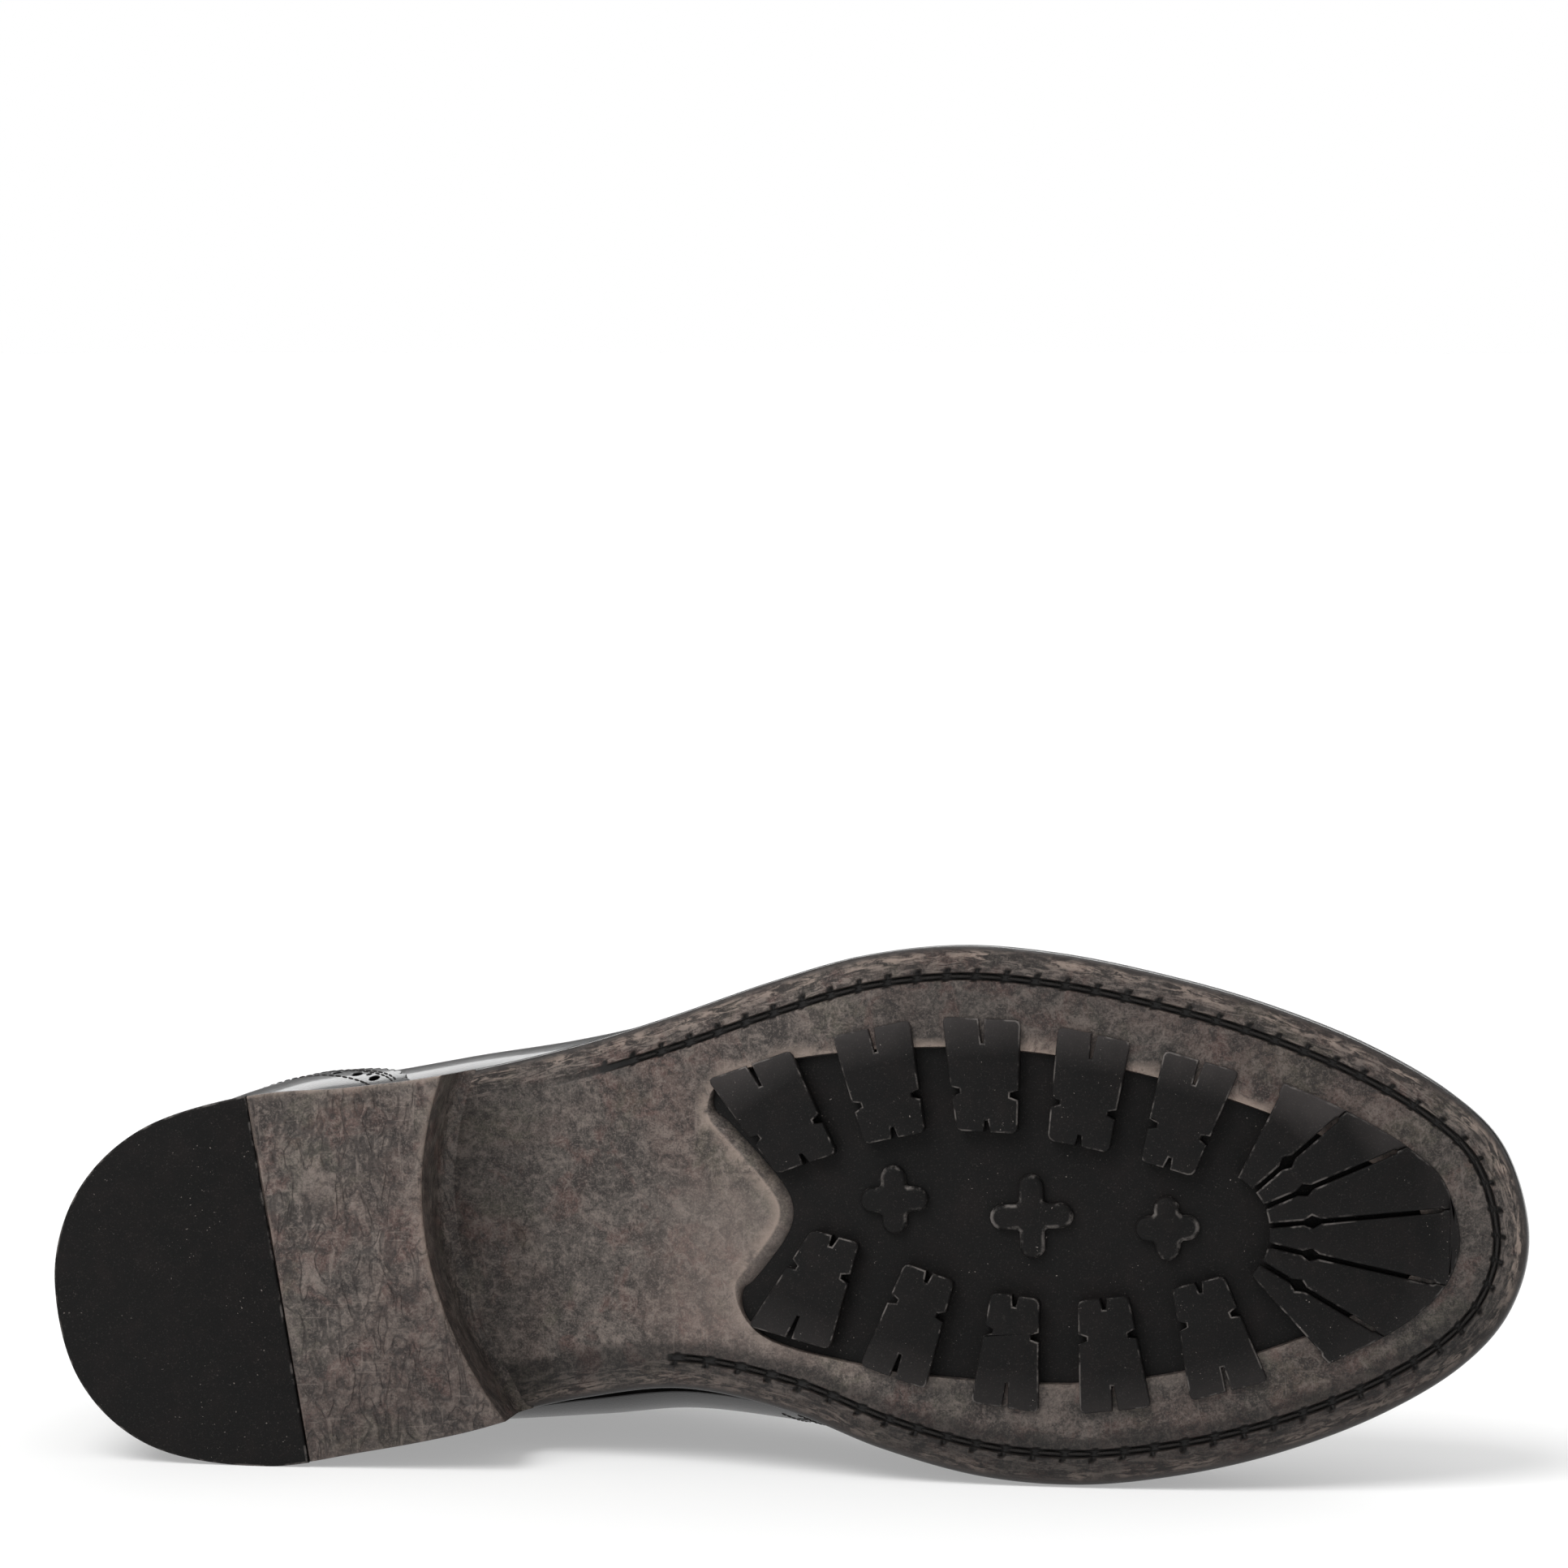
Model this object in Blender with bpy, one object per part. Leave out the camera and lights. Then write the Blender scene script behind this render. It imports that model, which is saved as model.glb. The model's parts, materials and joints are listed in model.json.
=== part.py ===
"""A right brogue derby shoe with a welted, lugged sole, lying on its medial side.

The shoe is drawn standing: x runs from the back of the heel to the tip of the toe, y points to the
medial side and z points up from the ground. It is then laid on its medial side, where it rests on the
edge of its sole and on its quarter, with the sole facing -Y and the toe pointing to +X.
Sizes are in millimetres until they reach a mesh.
"""

import math
from collections import namedtuple

import bmesh
import bpy
from mathutils import Matrix, Vector

MM = 0.001
LATERAL, MEDIAL = -1, 1

# Outline of the sole from below. A row is a station: its distance from the back of the heel, how far the
# edge lies to each side of the line from heel to toe, and how far the base of the heel flares past it.
SoleStation = namedtuple("SoleStation", "x lateral medial lateral_flare medial_flare")
SOLE_STATIONS = (
    SoleStation(0.6, 0.0, 0.0, 0.6, 0.6),
    SoleStation(6.0, 17.5, 19.2, 0.8, 2.0),
    SoleStation(20.0, 29.8, 31.4, 0.9, 3.2),
    SoleStation(42.0, 35.8, 35.7, 0.9, 3.5),
    SoleStation(63.0, 37.2, 34.6, 0.6, 2.4),
    SoleStation(84.0, 39.8, 32.4, 0.0, 1.2),
    SoleStation(106.0, 44.0, 28.4, 0.0, 0.0),
    SoleStation(128.0, 49.7, 26.5, 0.0, 0.0),
    SoleStation(150.0, 56.2, 31.0, 0.0, 0.0),
    SoleStation(170.0, 61.0, 39.0, 0.0, 0.0),
    SoleStation(190.0, 62.4, 45.0, 0.0, 0.0),
    SoleStation(210.0, 60.0, 47.2, 0.0, 0.0),
    SoleStation(230.0, 55.2, 45.8, 0.0, 0.0),
    SoleStation(250.0, 48.8, 41.9, 0.0, 0.0),
    SoleStation(270.0, 40.0, 35.2, 0.0, 0.0),
    SoleStation(287.0, 29.2, 26.0, 0.0, 0.0),
    SoleStation(297.5, 17.5, 14.8, 0.0, 0.0),
    SoleStation(301.6, 0.0, 0.0, 0.0, 0.0),
)

# The upper at the same stations: the margin of welt outside it on each side, the point where its wall ends
# at the collar, the throat or the ridge of the vamp, and the pull of its curve. The wall leaves the welt
# by rising "rise" while it swells outwards, and it reaches its top from "crown" outside and "drop" below.
UpperStation = namedtuple(
    "UpperStation",
    "lateral_margin medial_margin top_x top_half top_lean top_z rise lateral_swell medial_swell crown drop",
)
UPPER_STATIONS = (
    UpperStation(3.9, 3.9, 8.0, 0.0, 0.0, 92.0, 22.0, 4.0, 4.0, 2.5, 22.0),
    UpperStation(3.8, 4.6, 12.0, 12.5, 0.0, 91.5, 22.0, 4.0, 4.0, 2.5, 22.0),
    UpperStation(3.6, 5.4, 25.0, 23.0, 0.0, 89.0, 21.0, 6.0, 3.2, 2.5, 22.0),
    UpperStation(3.5, 6.2, 46.0, 28.0, 0.0, 83.5, 20.0, 9.5, 2.6, 2.5, 20.0),
    UpperStation(3.6, 4.2, 67.0, 29.8, -0.4, 80.5, 19.0, 11.5, 3.6, 3.0, 18.0),
    UpperStation(3.0, 2.4, 87.0, 27.5, 0.5, 84.5, 19.0, 12.0, 6.5, 5.0, 18.0),
    UpperStation(3.0, 0.8, 104.0, 20.0, 1.0, 94.0, 20.0, 10.0, 11.0, 11.0, 16.0),
    UpperStation(3.5, 0.5, 117.0, 9.5, 1.8, 102.0, 22.0, 8.0, 13.0, 20.0, 11.0),
    UpperStation(4.5, 1.5, 136.0, 8.0, 2.4, 91.5, 22.0, 7.0, 10.5, 25.0, 9.0),
    UpperStation(5.5, 4.2, 154.0, 6.5, 2.4, 81.0, 21.0, 5.0, 7.0, 28.0, 7.0),
    UpperStation(6.0, 6.0, 170.0, 0.0, 2.2, 71.5, 19.0, 4.0, 5.0, 30.0, 0.0),
    UpperStation(6.0, 6.5, 188.0, 0.0, 1.8, 63.5, 18.0, 3.5, 4.0, 30.0, 0.0),
    UpperStation(6.0, 6.5, 206.0, 0.0, 1.2, 57.5, 17.0, 3.0, 3.0, 28.0, 0.0),
    UpperStation(6.0, 6.0, 223.0, 0.0, 0.6, 53.0, 17.0, 3.0, 3.0, 25.0, 0.0),
    UpperStation(6.0, 6.0, 240.0, 0.0, 0.2, 49.5, 16.5, 2.5, 2.5, 21.0, 0.0),
    UpperStation(6.0, 6.0, 254.0, 0.0, 0.0, 46.5, 15.5, 2.0, 2.0, 17.0, 0.0),
    UpperStation(6.0, 6.0, 264.0, 0.0, 0.0, 44.2, 14.5, 1.5, 1.5, 14.0, 0.0),
    UpperStation(6.0, 6.0, 270.0, 0.0, 0.0, 42.6, 13.5, 1.0, 1.0, 12.5, 0.0),
)
LAST = len(SOLE_STATIONS) - 1
THROAT_END = 10

# Heights of the underside of the outsole, without heel and lugs
HEEL_HEIGHT = 19.5
LUG_PROUD = 2.0
TOE_SPRING = 9.5
WAIST_START, BALL_START, BALL_END, TOE_TIP = 85.0, 178.0, 226.0, 301.6

# Layers of the sole and the upper
GAP = 0.3
OUTSOLE_THICKNESS = 6.0
OUTSOLE_CHAMFER = 0.9
WELT_THICKNESS = 3.0
WELT_INSET = 0.8
WELT_REACH_IN = 7.0
WALL = 2.0
OVERLAY = 1.1
OVERLAY_GAP = 0.42
TONGUE_GAP, TONGUE_SINK = 1.0, 1.8
SOLE_TOP = OUTSOLE_THICKNESS + GAP
FEATHER = SOLE_TOP + WELT_THICKNESS + GAP

# Heel: the slanting front of its rubber piece and the hollow of its breast
TOP_PIECE_THICKNESS = 6.0
TOP_PIECE_FRONT, TOP_PIECE_SLANT = 46.7, -0.138
BREAST_X, BREAST_CENTRE, BREAST_HOLLOW = 77.5, 14.0, 0.0076

# Tread: an inlaid rubber plate with lugs that overlap the margin of the outsole
TREAD_INSET = 20.3
TREAD_FLOOR, TREAD_BASE, POCKET_DEPTH = 1.6, 3.3, 3.6
NOTCH_X, NOTCH_LATERAL, NOTCH_NOSE, NOTCH_SLOPE = 150.5, 9.5, 4.0, 0.96
TREAD_START_LATERAL, TREAD_START_MEDIAL = 7.3, 7.55
LUG_OUTER_INSET, LUG_INNER_INSET, LUG_ROOT_INSET = 14.7, 37.5, 21.2
LUG_LIFT = 0.8
LUG_NOTCH_WIDTH, LUG_NOTCH_DEPTH = 2.0, 1.7
SIDE_NOTCH_AT = 0.66
Lug = namedtuple("Lug", "side outer_x inner_x outer_width inner_width")
LUGS = (
    Lug(LATERAL, 145.2, 156.9, 19.0, 13.4),
    Lug(LATERAL, 171.2, 175.4, 16.3, 12.7),
    Lug(LATERAL, 193.8, 194.2, 16.0, 12.4),
    Lug(LATERAL, 216.6, 212.5, 15.0, 12.6),
    Lug(LATERAL, 238.0, 230.2, 15.6, 11.0),
    Lug(MEDIAL, 151.6, 162.4, 17.8, 10.3),
    Lug(MEDIAL, 173.0, 181.5, 14.1, 10.7),
    Lug(MEDIAL, 195.6, 198.7, 13.8, 9.9),
    Lug(MEDIAL, 218.0, 216.4, 14.5, 10.3),
    Lug(MEDIAL, 241.0, 235.6, 16.1, 10.7),
)
FAN_X, FAN_LATERAL = 238.0, 3.3
FAN_INNER_RADIUS, FAN_OUTER_INSET = 12.3, 13.6
FAN_EDGES_DEG = (-50.0, -33.0, -15.0, 3.0, 21.0, 39.0, 61.0)
FAN_SLIT = 0.9
FAN_ARC_STEPS = 3
CROSS_TOP = -0.3
CROSS_ARM_HALF_WIDTH = 2.6
Cross = namedtuple("Cross", "x lateral span")
CROSSES = (Cross(174.5, 11.4, 14.0), Cross(202.4, 7.2, 17.0), Cross(229.7, 4.0, 13.0))

# Overlays of the upper, in stations along it and shares of the wall's height
CAP_PEAK, CAP_VALLEY, CAP_WING = 12.4, 13.7, 8.5
CAP_VALLEY_SHARE, CAP_WING_SHARE, CAP_PEAK_POWER = 0.76, 0.10, 1.4
QUARTER_FRONT_TOP, QUARTER_FRONT_FOOT, QUARTER_BELLY = 9.4, 8.0, 0.4
COUNTER_FOOT, COUNTER_TOP, COUNTER_HEIGHT, COUNTER_SWEEP = 4.3, 0.75, 0.86, 0.8
BACK_SEAM = 0.01
OVERLAY_FOOT = 0.02

# Lacing
EYELET_STATIONS = (7.3, 7.75, 8.2, 8.65, 9.1)
EYELET_FROM_EDGE = 0.115
EYELET_RADIUS, EYELET_WIRE = 2.2, 0.55
LACE_RADIUS = 1.1
TONGUE_THICKNESS = 2.0
TONGUE_TOP_SHARE, TONGUE_FOOT_SHARE = 0.14, 0.26
TONGUE_RISE = 11.0

# How finely the curves are drawn
STEPS_PER_STATION = 2
WALL_STEPS = 9

# Weights used to find how the shoe comes to rest, in grams per cubic centimetre
RUBBER_DENSITY, LEATHER_DENSITY = 1.15, 0.95


# Curves through the stations

def catmull_rom(before, start, end, after, t):
    """Smooth value at share t of the way from start to end."""
    return 0.5 * (
        2 * start
        + (end - before) * t
        + (2 * before - 5 * start + 4 * end - after) * t * t
        + (3 * start - before - 3 * end + after) * t * t * t
    )


def along(values, u, before, after):
    """Value of a column at station u, with the values that lie beyond its two ends."""
    padded = [before, *values, after]
    row = min(int(u), LAST - 1)
    return catmull_rom(*padded[row : row + 4], u - row)


def even(stations, column, u):
    """Column that is the same on both sides, so it mirrors at heel and toe."""
    values = [getattr(station, column) for station in stations]
    return along(values, u, values[1], values[-2])


def sole_offset(side, u):
    """Distance of the sole's edge from the line between heel and toe."""
    sides = ("lateral", "medial") if side == LATERAL else ("medial", "lateral")
    here, across = ([getattr(station, name) for station in SOLE_STATIONS] for name in sides)
    return along(here, u, -across[1], -across[-2])


def sole_edge(side, u):
    return Vector((even(SOLE_STATIONS, "x", u), side * sole_offset(side, u)))


def outward(side, u):
    """Direction in plan that points straight out of the sole's edge."""
    step = 0.01
    if u < step:
        return Vector((-1.0, 0.0))
    if u > LAST - step:
        return Vector((1.0, 0.0))
    tangent = sole_edge(side, u + step) - sole_edge(side, u - step)
    return Vector((-tangent.y, tangent.x)).normalized() * side


def inset_edge(side, u, inset):
    return sole_edge(side, u) - outward(side, u) * inset


def stations(start, end, per_station=STEPS_PER_STATION):
    """Evenly spaced stations from start to end, both included."""
    count = max(1, round((end - start) * per_station))
    return [start + (end - start) * i / count for i in range(count + 1)]


def smooth_step(t):
    t = min(max(t, 0.0), 1.0)
    return t * t * (3 - 2 * t)


def underside(x):
    """Height of the outsole's underside: flat at heel and ball, rising through the waist and at the toe."""
    waist = smooth_step((BALL_START - x) / (BALL_START - WAIST_START))
    spring = max(0.0, (x - BALL_END) / (TOE_TIP - BALL_END))
    return LUG_PROUD + (HEEL_HEIGHT - LUG_PROUD) * waist + TOE_SPRING * spring * spring


# The upper's own surface

def feather(side, u):
    """Lower edge of the upper, on the welt."""
    column = "lateral_margin" if side == LATERAL else "medial_margin"
    point = inset_edge(side, u, even(UPPER_STATIONS, column, u))
    return Vector((point.x, point.y, underside(point.x) + FEATHER))


def top_line(side, u):
    """Upper edge of the wall: collar, throat, and then the ridge of the vamp."""
    half = 0.0
    if u < THROAT_END:
        values = [station.top_half for station in UPPER_STATIONS]
        half = max(0.0, along(values, u, -values[1], 0.0))
    lean = even(UPPER_STATIONS, "top_lean", u)
    x, z = even(UPPER_STATIONS, "top_x", u), even(UPPER_STATIONS, "top_z", u)
    return Vector((x, side * half - lean, z))


def ridge_slope(u):
    step = 0.05
    near, far = max(0.0, u - step), min(float(LAST), u + step)
    run = top_line(MEDIAL, far) - top_line(MEDIAL, near)
    return run.z / run.x


def wall(side, u, share):
    """Point on the outside of the upper, at a share of the way from the welt to the top of the wall."""
    foot, top = feather(side, u), top_line(side, u)
    out = outward(side, u).to_3d()
    crown = even(UPPER_STATIONS, "crown", u)
    swell = even(UPPER_STATIONS, "lateral_swell" if side == LATERAL else "medial_swell", u)
    if u < THROAT_END:
        drop = even(UPPER_STATIONS, "drop", u)
    else:
        drop = -crown * out.x * ridge_slope(u)
    lower = foot + out * swell + Vector((0, 0, even(UPPER_STATIONS, "rise", u)))
    upper = top + out * crown - Vector((0, 0, drop))
    rest = 1 - share
    return foot * rest**3 + lower * 3 * rest**2 * share + upper * 3 * rest * share**2 + top * share**3


def wall_beyond(side, u, share):
    """Point of the wall, carried on to the other side at the back seam, the toe's tip and the ridge."""
    if u < 0:
        return wall(-side, -u, share)
    if u > LAST:
        return wall(-side, 2 * LAST - u, share)
    if share > 1:
        return wall(-side, u, 2 - share)
    return wall(side, u, share)


def wall_normal(side, u, share):
    """Direction straight out of the upper."""
    step = 0.02
    high = share + step if u >= THROAT_END else min(share + step, 1.0)
    run = wall_beyond(side, u + step, share) - wall_beyond(side, u - step, share)
    climb = wall_beyond(side, u, high) - wall(side, u, max(share - step, 0.0))
    normal = run.cross(climb) * -side
    return normal.normalized()


def over_wall(side, u, share, height):
    """Point at a height over the outside of the upper."""
    return wall(side, u, share) + wall_normal(side, u, share) * height


# Building meshes

def finish_mesh(name, mesh_data, material, smooth=True):
    """Object from a bmesh in millimetres, with its own material."""
    bmesh.ops.remove_doubles(mesh_data, verts=mesh_data.verts, dist=1e-3)
    bmesh.ops.recalc_face_normals(mesh_data, faces=mesh_data.faces)
    bmesh.ops.scale(mesh_data, vec=(MM, MM, MM), verts=mesh_data.verts)
    mesh = bpy.data.meshes.new(name)
    mesh_data.to_mesh(mesh)
    mesh_data.free()
    if smooth:
        mesh.shade_smooth()
        mesh.set_sharp_from_angle(angle=math.radians(40))
    mesh.materials.append(material)
    made = bpy.data.objects.new(name, mesh)
    bpy.context.scene.collection.objects.link(made)
    return made


def helper(made):
    """Marks a cutter, or a piece that is joined to another."""
    made.hide_render = True
    made.display_type = "WIRE"
    return made


def add_grid(mesh_data, rows, closed=False):
    """Faces between rows of points; returns the rows of vertices."""
    made = [[mesh_data.verts.new(point) for point in row] for row in rows]
    for near, far in zip(made, made[1:]):
        count = len(near) if closed else len(near) - 1
        for i in range(count):
            j = (i + 1) % len(near)
            mesh_data.faces.new((near[i], near[j], far[j], far[i]))
    return made


def rim(rows):
    """The points around the edge of a grid, in order."""
    left = [row[0] for row in rows[1:-1]]
    right = [row[-1] for row in rows[1:-1]]
    return [*rows[0], *right, *reversed(rows[-1]), *reversed(left)]


def laid_up(name, plan, layers, material):
    """Flat layer of the sole, bent to the sole's curve. A layer of it is an inset and a height."""
    mesh_data = bmesh.new()
    sheets = []
    for inset, height in layers:
        grid = plan(inset)
        sheets.append([[Vector((p.x, p.y, underside(p.x) + height)) for p in row] for row in grid])
    add_grid(mesh_data, sheets[0])
    add_grid(mesh_data, sheets[-1])
    loops = [rim(sheet) for sheet in sheets]
    add_grid(mesh_data, loops, closed=True)
    return finish_mesh(name, mesh_data, material)


def prism(name, outline, low, high, material):
    """Outline in plan, raised from one height to another; a height is a function of x."""
    mesh_data = bmesh.new()
    loops = [[Vector((p.x, p.y, height(p.x))) for p in outline] for height in (low, high)]
    rings = add_grid(mesh_data, loops, closed=True)
    for ring in rings:
        mesh_data.faces.new(ring)
    return finish_mesh(name, mesh_data, material)


def level(height):
    """Height that follows the underside of the sole."""
    return lambda x: underside(x) + height


def boolean(target, operation, others):
    """Cuts with helpers, or joins them on."""
    group = bpy.data.collections.new(target.name + "_" + operation.lower())
    bpy.context.scene.collection.children.link(group)
    group.hide_render = True
    for other in others:
        bpy.context.scene.collection.objects.unlink(other)
        group.objects.link(other)
    modifier = target.modifiers.new(operation.title(), "BOOLEAN")
    modifier.operation = operation
    modifier.operand_type = "COLLECTION"
    modifier.collection = group
    modifier.solver = "EXACT"


def material(name, colour, roughness, metallic=0.0):
    made = bpy.data.materials.new(name)
    made.use_nodes = True
    shader = made.node_tree.nodes["Principled BSDF"]
    shader.inputs["Base Color"].default_value = (*colour, 1.0)
    shader.inputs["Roughness"].default_value = roughness
    shader.inputs["Metallic"].default_value = metallic
    return made


# The sole

def sole_plan(inset):
    """Rows of points across the whole sole."""
    rows = []
    for u in stations(0, LAST):
        lateral, medial = inset_edge(LATERAL, u, inset), inset_edge(MEDIAL, u, inset)
        rows.append([lateral, (lateral + medial) / 2, medial])
    return rows


def insole_plan(inset):
    """Rows of points across the inside of the welt."""
    rows = []
    for u in stations(0, LAST):
        reach = WELT_REACH_IN + inset
        lateral, medial = (feather(side, u).to_2d() - outward(side, u) * reach for side in (LATERAL, MEDIAL))
        rows.append([lateral, (lateral + medial) / 2, medial])
    return rows


def notch_x(lateral):
    """Back edge of the tread, which the waist runs into as a rounded point."""
    reach = math.hypot(lateral - NOTCH_LATERAL, NOTCH_NOSE) - NOTCH_NOSE
    return NOTCH_X - NOTCH_SLOPE * reach


def tread_plan(inset):
    """Rows of points across the tread plate, from the notch at its back to the toe."""
    rows = []
    row_count, across_count = 18, 6
    for i in range(row_count + 1):
        a = i / row_count
        lateral_u = TREAD_START_LATERAL + (LAST - TREAD_START_LATERAL) * a
        medial_u = TREAD_START_MEDIAL + (LAST - TREAD_START_MEDIAL) * a
        lateral = inset_edge(LATERAL, lateral_u, TREAD_INSET + inset)
        medial = inset_edge(MEDIAL, medial_u, TREAD_INSET + inset)
        row = []
        for j in range(across_count + 1):
            point = lateral.lerp(medial, j / across_count)
            pull = max(0.0, 1 - 2.5 * a) ** 2
            point.x += pull * (notch_x(-point.y) + inset - point.x)
            row.append(point)
        rows.append(row)
    return rows


def inset_station(side, x, inset):
    """Station whose point at a distance inside the sole's edge lies at x, in waist or forepart."""
    low, high = 5.0, 15.0
    while high - low > 1e-6:
        middle = (low + high) / 2
        if inset_edge(side, middle, inset).x < x:
            low = middle
        else:
            high = middle
    return low


def lug_frame(lug):
    """Middle of a lug's outer and inner ends, and the direction of those ends."""
    outer_u = inset_station(lug.side, lug.outer_x, LUG_OUTER_INSET)
    inner_u = inset_station(lug.side, lug.inner_x, LUG_INNER_INSET)
    outer = inset_edge(lug.side, outer_u, LUG_OUTER_INSET)
    inner = inset_edge(lug.side, inner_u, LUG_INNER_INSET)
    normal = outward(lug.side, outer_u)
    return outer, inner, Vector((normal.y, -normal.x)) * lug.side * -1


def lug_outline(lug):
    """Plan of a lug: a tapered block with a small notch in each of its four sides."""
    outer, inner, end = lug_frame(lug)
    corners = [
        outer - end * lug.outer_width / 2,
        outer + end * lug.outer_width / 2,
        inner + end * lug.inner_width / 2,
        inner - end * lug.inner_width / 2,
    ]
    centre = (outer + inner) / 2
    points = []
    for i, corner in enumerate(corners):
        following = corners[(i + 1) % 4]
        share = (0.5, SIDE_NOTCH_AT, 0.5, 1 - SIDE_NOTCH_AT)[i]
        middle = corner.lerp(following, share)
        edge = (following - corner).normalized()
        inwards = Vector((-edge.y, edge.x))
        if inwards.dot(centre - middle) < 0:
            inwards.negate()
        points += [
            corner,
            middle - edge * LUG_NOTCH_WIDTH / 2,
            middle + inwards * LUG_NOTCH_DEPTH,
            middle + edge * LUG_NOTCH_WIDTH / 2,
        ]
    return points


def lug_root_outline(lug):
    """Plan of the part of a lug that stands inside the tread plate."""
    outer, inner, end = lug_frame(lug)
    share = (LUG_ROOT_INSET - LUG_OUTER_INSET) / (LUG_INNER_INSET - LUG_OUTER_INSET)
    start = outer.lerp(inner, share)
    width = (lug.outer_width + (lug.inner_width - lug.outer_width) * share) / 2 - LUG_NOTCH_DEPTH
    stop = inner.lerp(start, 0.12)
    stop_width = lug.inner_width / 2 - LUG_NOTCH_DEPTH
    return [start - end * width, start + end * width, stop + end * stop_width, stop - end * stop_width]


def fan_reach(angle, inset):
    """Point on the inset outline of the toe, in a direction from the middle of the fan."""
    centre = Vector((FAN_X, -FAN_LATERAL))
    rim_points = [inset_edge(LATERAL, u, inset) for u in stations(12, LAST, 8)]
    rim_points += [inset_edge(MEDIAL, u, inset) for u in reversed(stations(12, LAST, 8)[:-1])]
    for near, far in zip(rim_points, rim_points[1:]):
        near_angle, far_angle = (math.atan2(-(p.y - centre.y), p.x - centre.x) for p in (near, far))
        if min(near_angle, far_angle) <= angle <= max(near_angle, far_angle):
            return near.lerp(far, (angle - near_angle) / (far_angle - near_angle))
    raise ValueError("the fan does not reach the toe in that direction")


def fan_outline(start_deg, end_deg, inset):
    """Plan of one lug of the fan at the toe, between two slits."""
    centre = Vector((FAN_X, -FAN_LATERAL))
    start, end = math.radians(start_deg), math.radians(end_deg)
    inner, outer = [], []
    for i in range(FAN_ARC_STEPS + 1):
        angle = start + (end - start) * i / FAN_ARC_STEPS
        across = Vector((math.sin(angle), math.cos(angle))) * FAN_SLIT / 2
        shift = across * (1 - 2 * i / FAN_ARC_STEPS) * -1
        direction = Vector((math.cos(angle), -math.sin(angle)))
        inner.append(centre + direction * FAN_INNER_RADIUS + shift)
        outer.append(fan_reach(angle, inset) + shift)
    return [*inner, *reversed(outer)]


def cross_outline(cross):
    """Plan of a small cross with round arms."""
    points = []
    reach = cross.span / 2 - CROSS_ARM_HALF_WIDTH
    for quarter in range(4):
        turn = Matrix.Rotation(quarter * math.pi / 2, 2)
        arm = [Vector((CROSS_ARM_HALF_WIDTH, -CROSS_ARM_HALF_WIDTH))]
        for i in range(5):
            angle = math.radians(-90 + 45 * i)
            tip = Vector((math.cos(angle), math.sin(angle))) * CROSS_ARM_HALF_WIDTH
            arm.append(Vector((reach, 0)) + tip)
        points += [Vector((cross.x, -cross.lateral)) + turn @ point for point in arm]
    return points


def build_tread(rubber):
    """The rubber plate with its lugs, crosses and fan."""
    plate = laid_up("tread", tread_plan_clear, ((0.0, TREAD_FLOOR), (0.0, TREAD_BASE)), rubber)
    embedded = level((TREAD_FLOOR + TREAD_BASE) / 2)
    slab_low, slab_high = level(-LUG_PROUD), level(-LUG_LIFT)
    root_low = level(-(LUG_PROUD + LUG_LIFT) / 2)
    joined = []
    for number, lug in enumerate(LUGS):
        name = f"lug_{number}"
        joined.append(prism(name, lug_outline(lug), slab_low, slab_high, rubber))
        joined.append(prism(name + "_root", lug_root_outline(lug), root_low, embedded, rubber))
    for number, (start, end) in enumerate(zip(FAN_EDGES_DEG, FAN_EDGES_DEG[1:])):
        name = f"fan_{number}"
        slab = fan_outline(start, end, FAN_OUTER_INSET)
        root = fan_outline(start, end, LUG_ROOT_INSET)
        joined.append(prism(name, slab, slab_low, slab_high, rubber))
        joined.append(prism(name + "_root", root, root_low, embedded, rubber))
    for number, cross in enumerate(CROSSES):
        joined.append(prism(f"cross_{number}", cross_outline(cross), level(CROSS_TOP), embedded, rubber))
    boolean(plate, "UNION", [helper(piece) for piece in joined])
    return plate


def tread_plan_clear(inset):
    return tread_plan(inset + GAP)


def build_outsole(brown):
    """The outsole, with the pocket that the tread sits in."""
    layers = ((OUTSOLE_CHAMFER, 0.0), (0.0, OUTSOLE_CHAMFER), (0.0, OUTSOLE_THICKNESS))
    sole = laid_up("outsole", sole_plan, layers, brown)
    pocket = laid_up("pocket", tread_plan, ((0.0, -LUG_PROUD), (0.0, POCKET_DEPTH)), brown)
    boolean(sole, "DIFFERENCE", [helper(pocket)])
    return sole


def build_welt(leather):
    """The strip of leather between outsole and upper, all round the shoe."""
    mesh_data = bmesh.new()
    columns = stations(0, LAST)
    loop = [(LATERAL, u) for u in columns] + [(MEDIAL, u) for u in reversed(columns[1:-1])]
    sections = []
    for side, u in loop:
        outer = inset_edge(side, u, WELT_INSET)
        inner = feather(side, u).to_2d() - outward(side, u) * (WELT_REACH_IN - GAP)
        low, high = SOLE_TOP, SOLE_TOP + WELT_THICKNESS
        corners = ((outer, low), (outer, high), (inner, high), (inner, low))
        sections.append([Vector((p.x, p.y, underside(p.x) + height)) for p, height in corners])
    add_grid(mesh_data, [*sections, sections[0]], closed=True)
    return finish_mesh("welt", mesh_data, leather)


def top_piece_front(lateral):
    return TOP_PIECE_FRONT + TOP_PIECE_SLANT * lateral


def breast_x(lateral):
    """Front of the heel, hollowed towards the back."""
    return BREAST_X + BREAST_HOLLOW * (lateral - BREAST_CENTRE) ** 2


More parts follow.
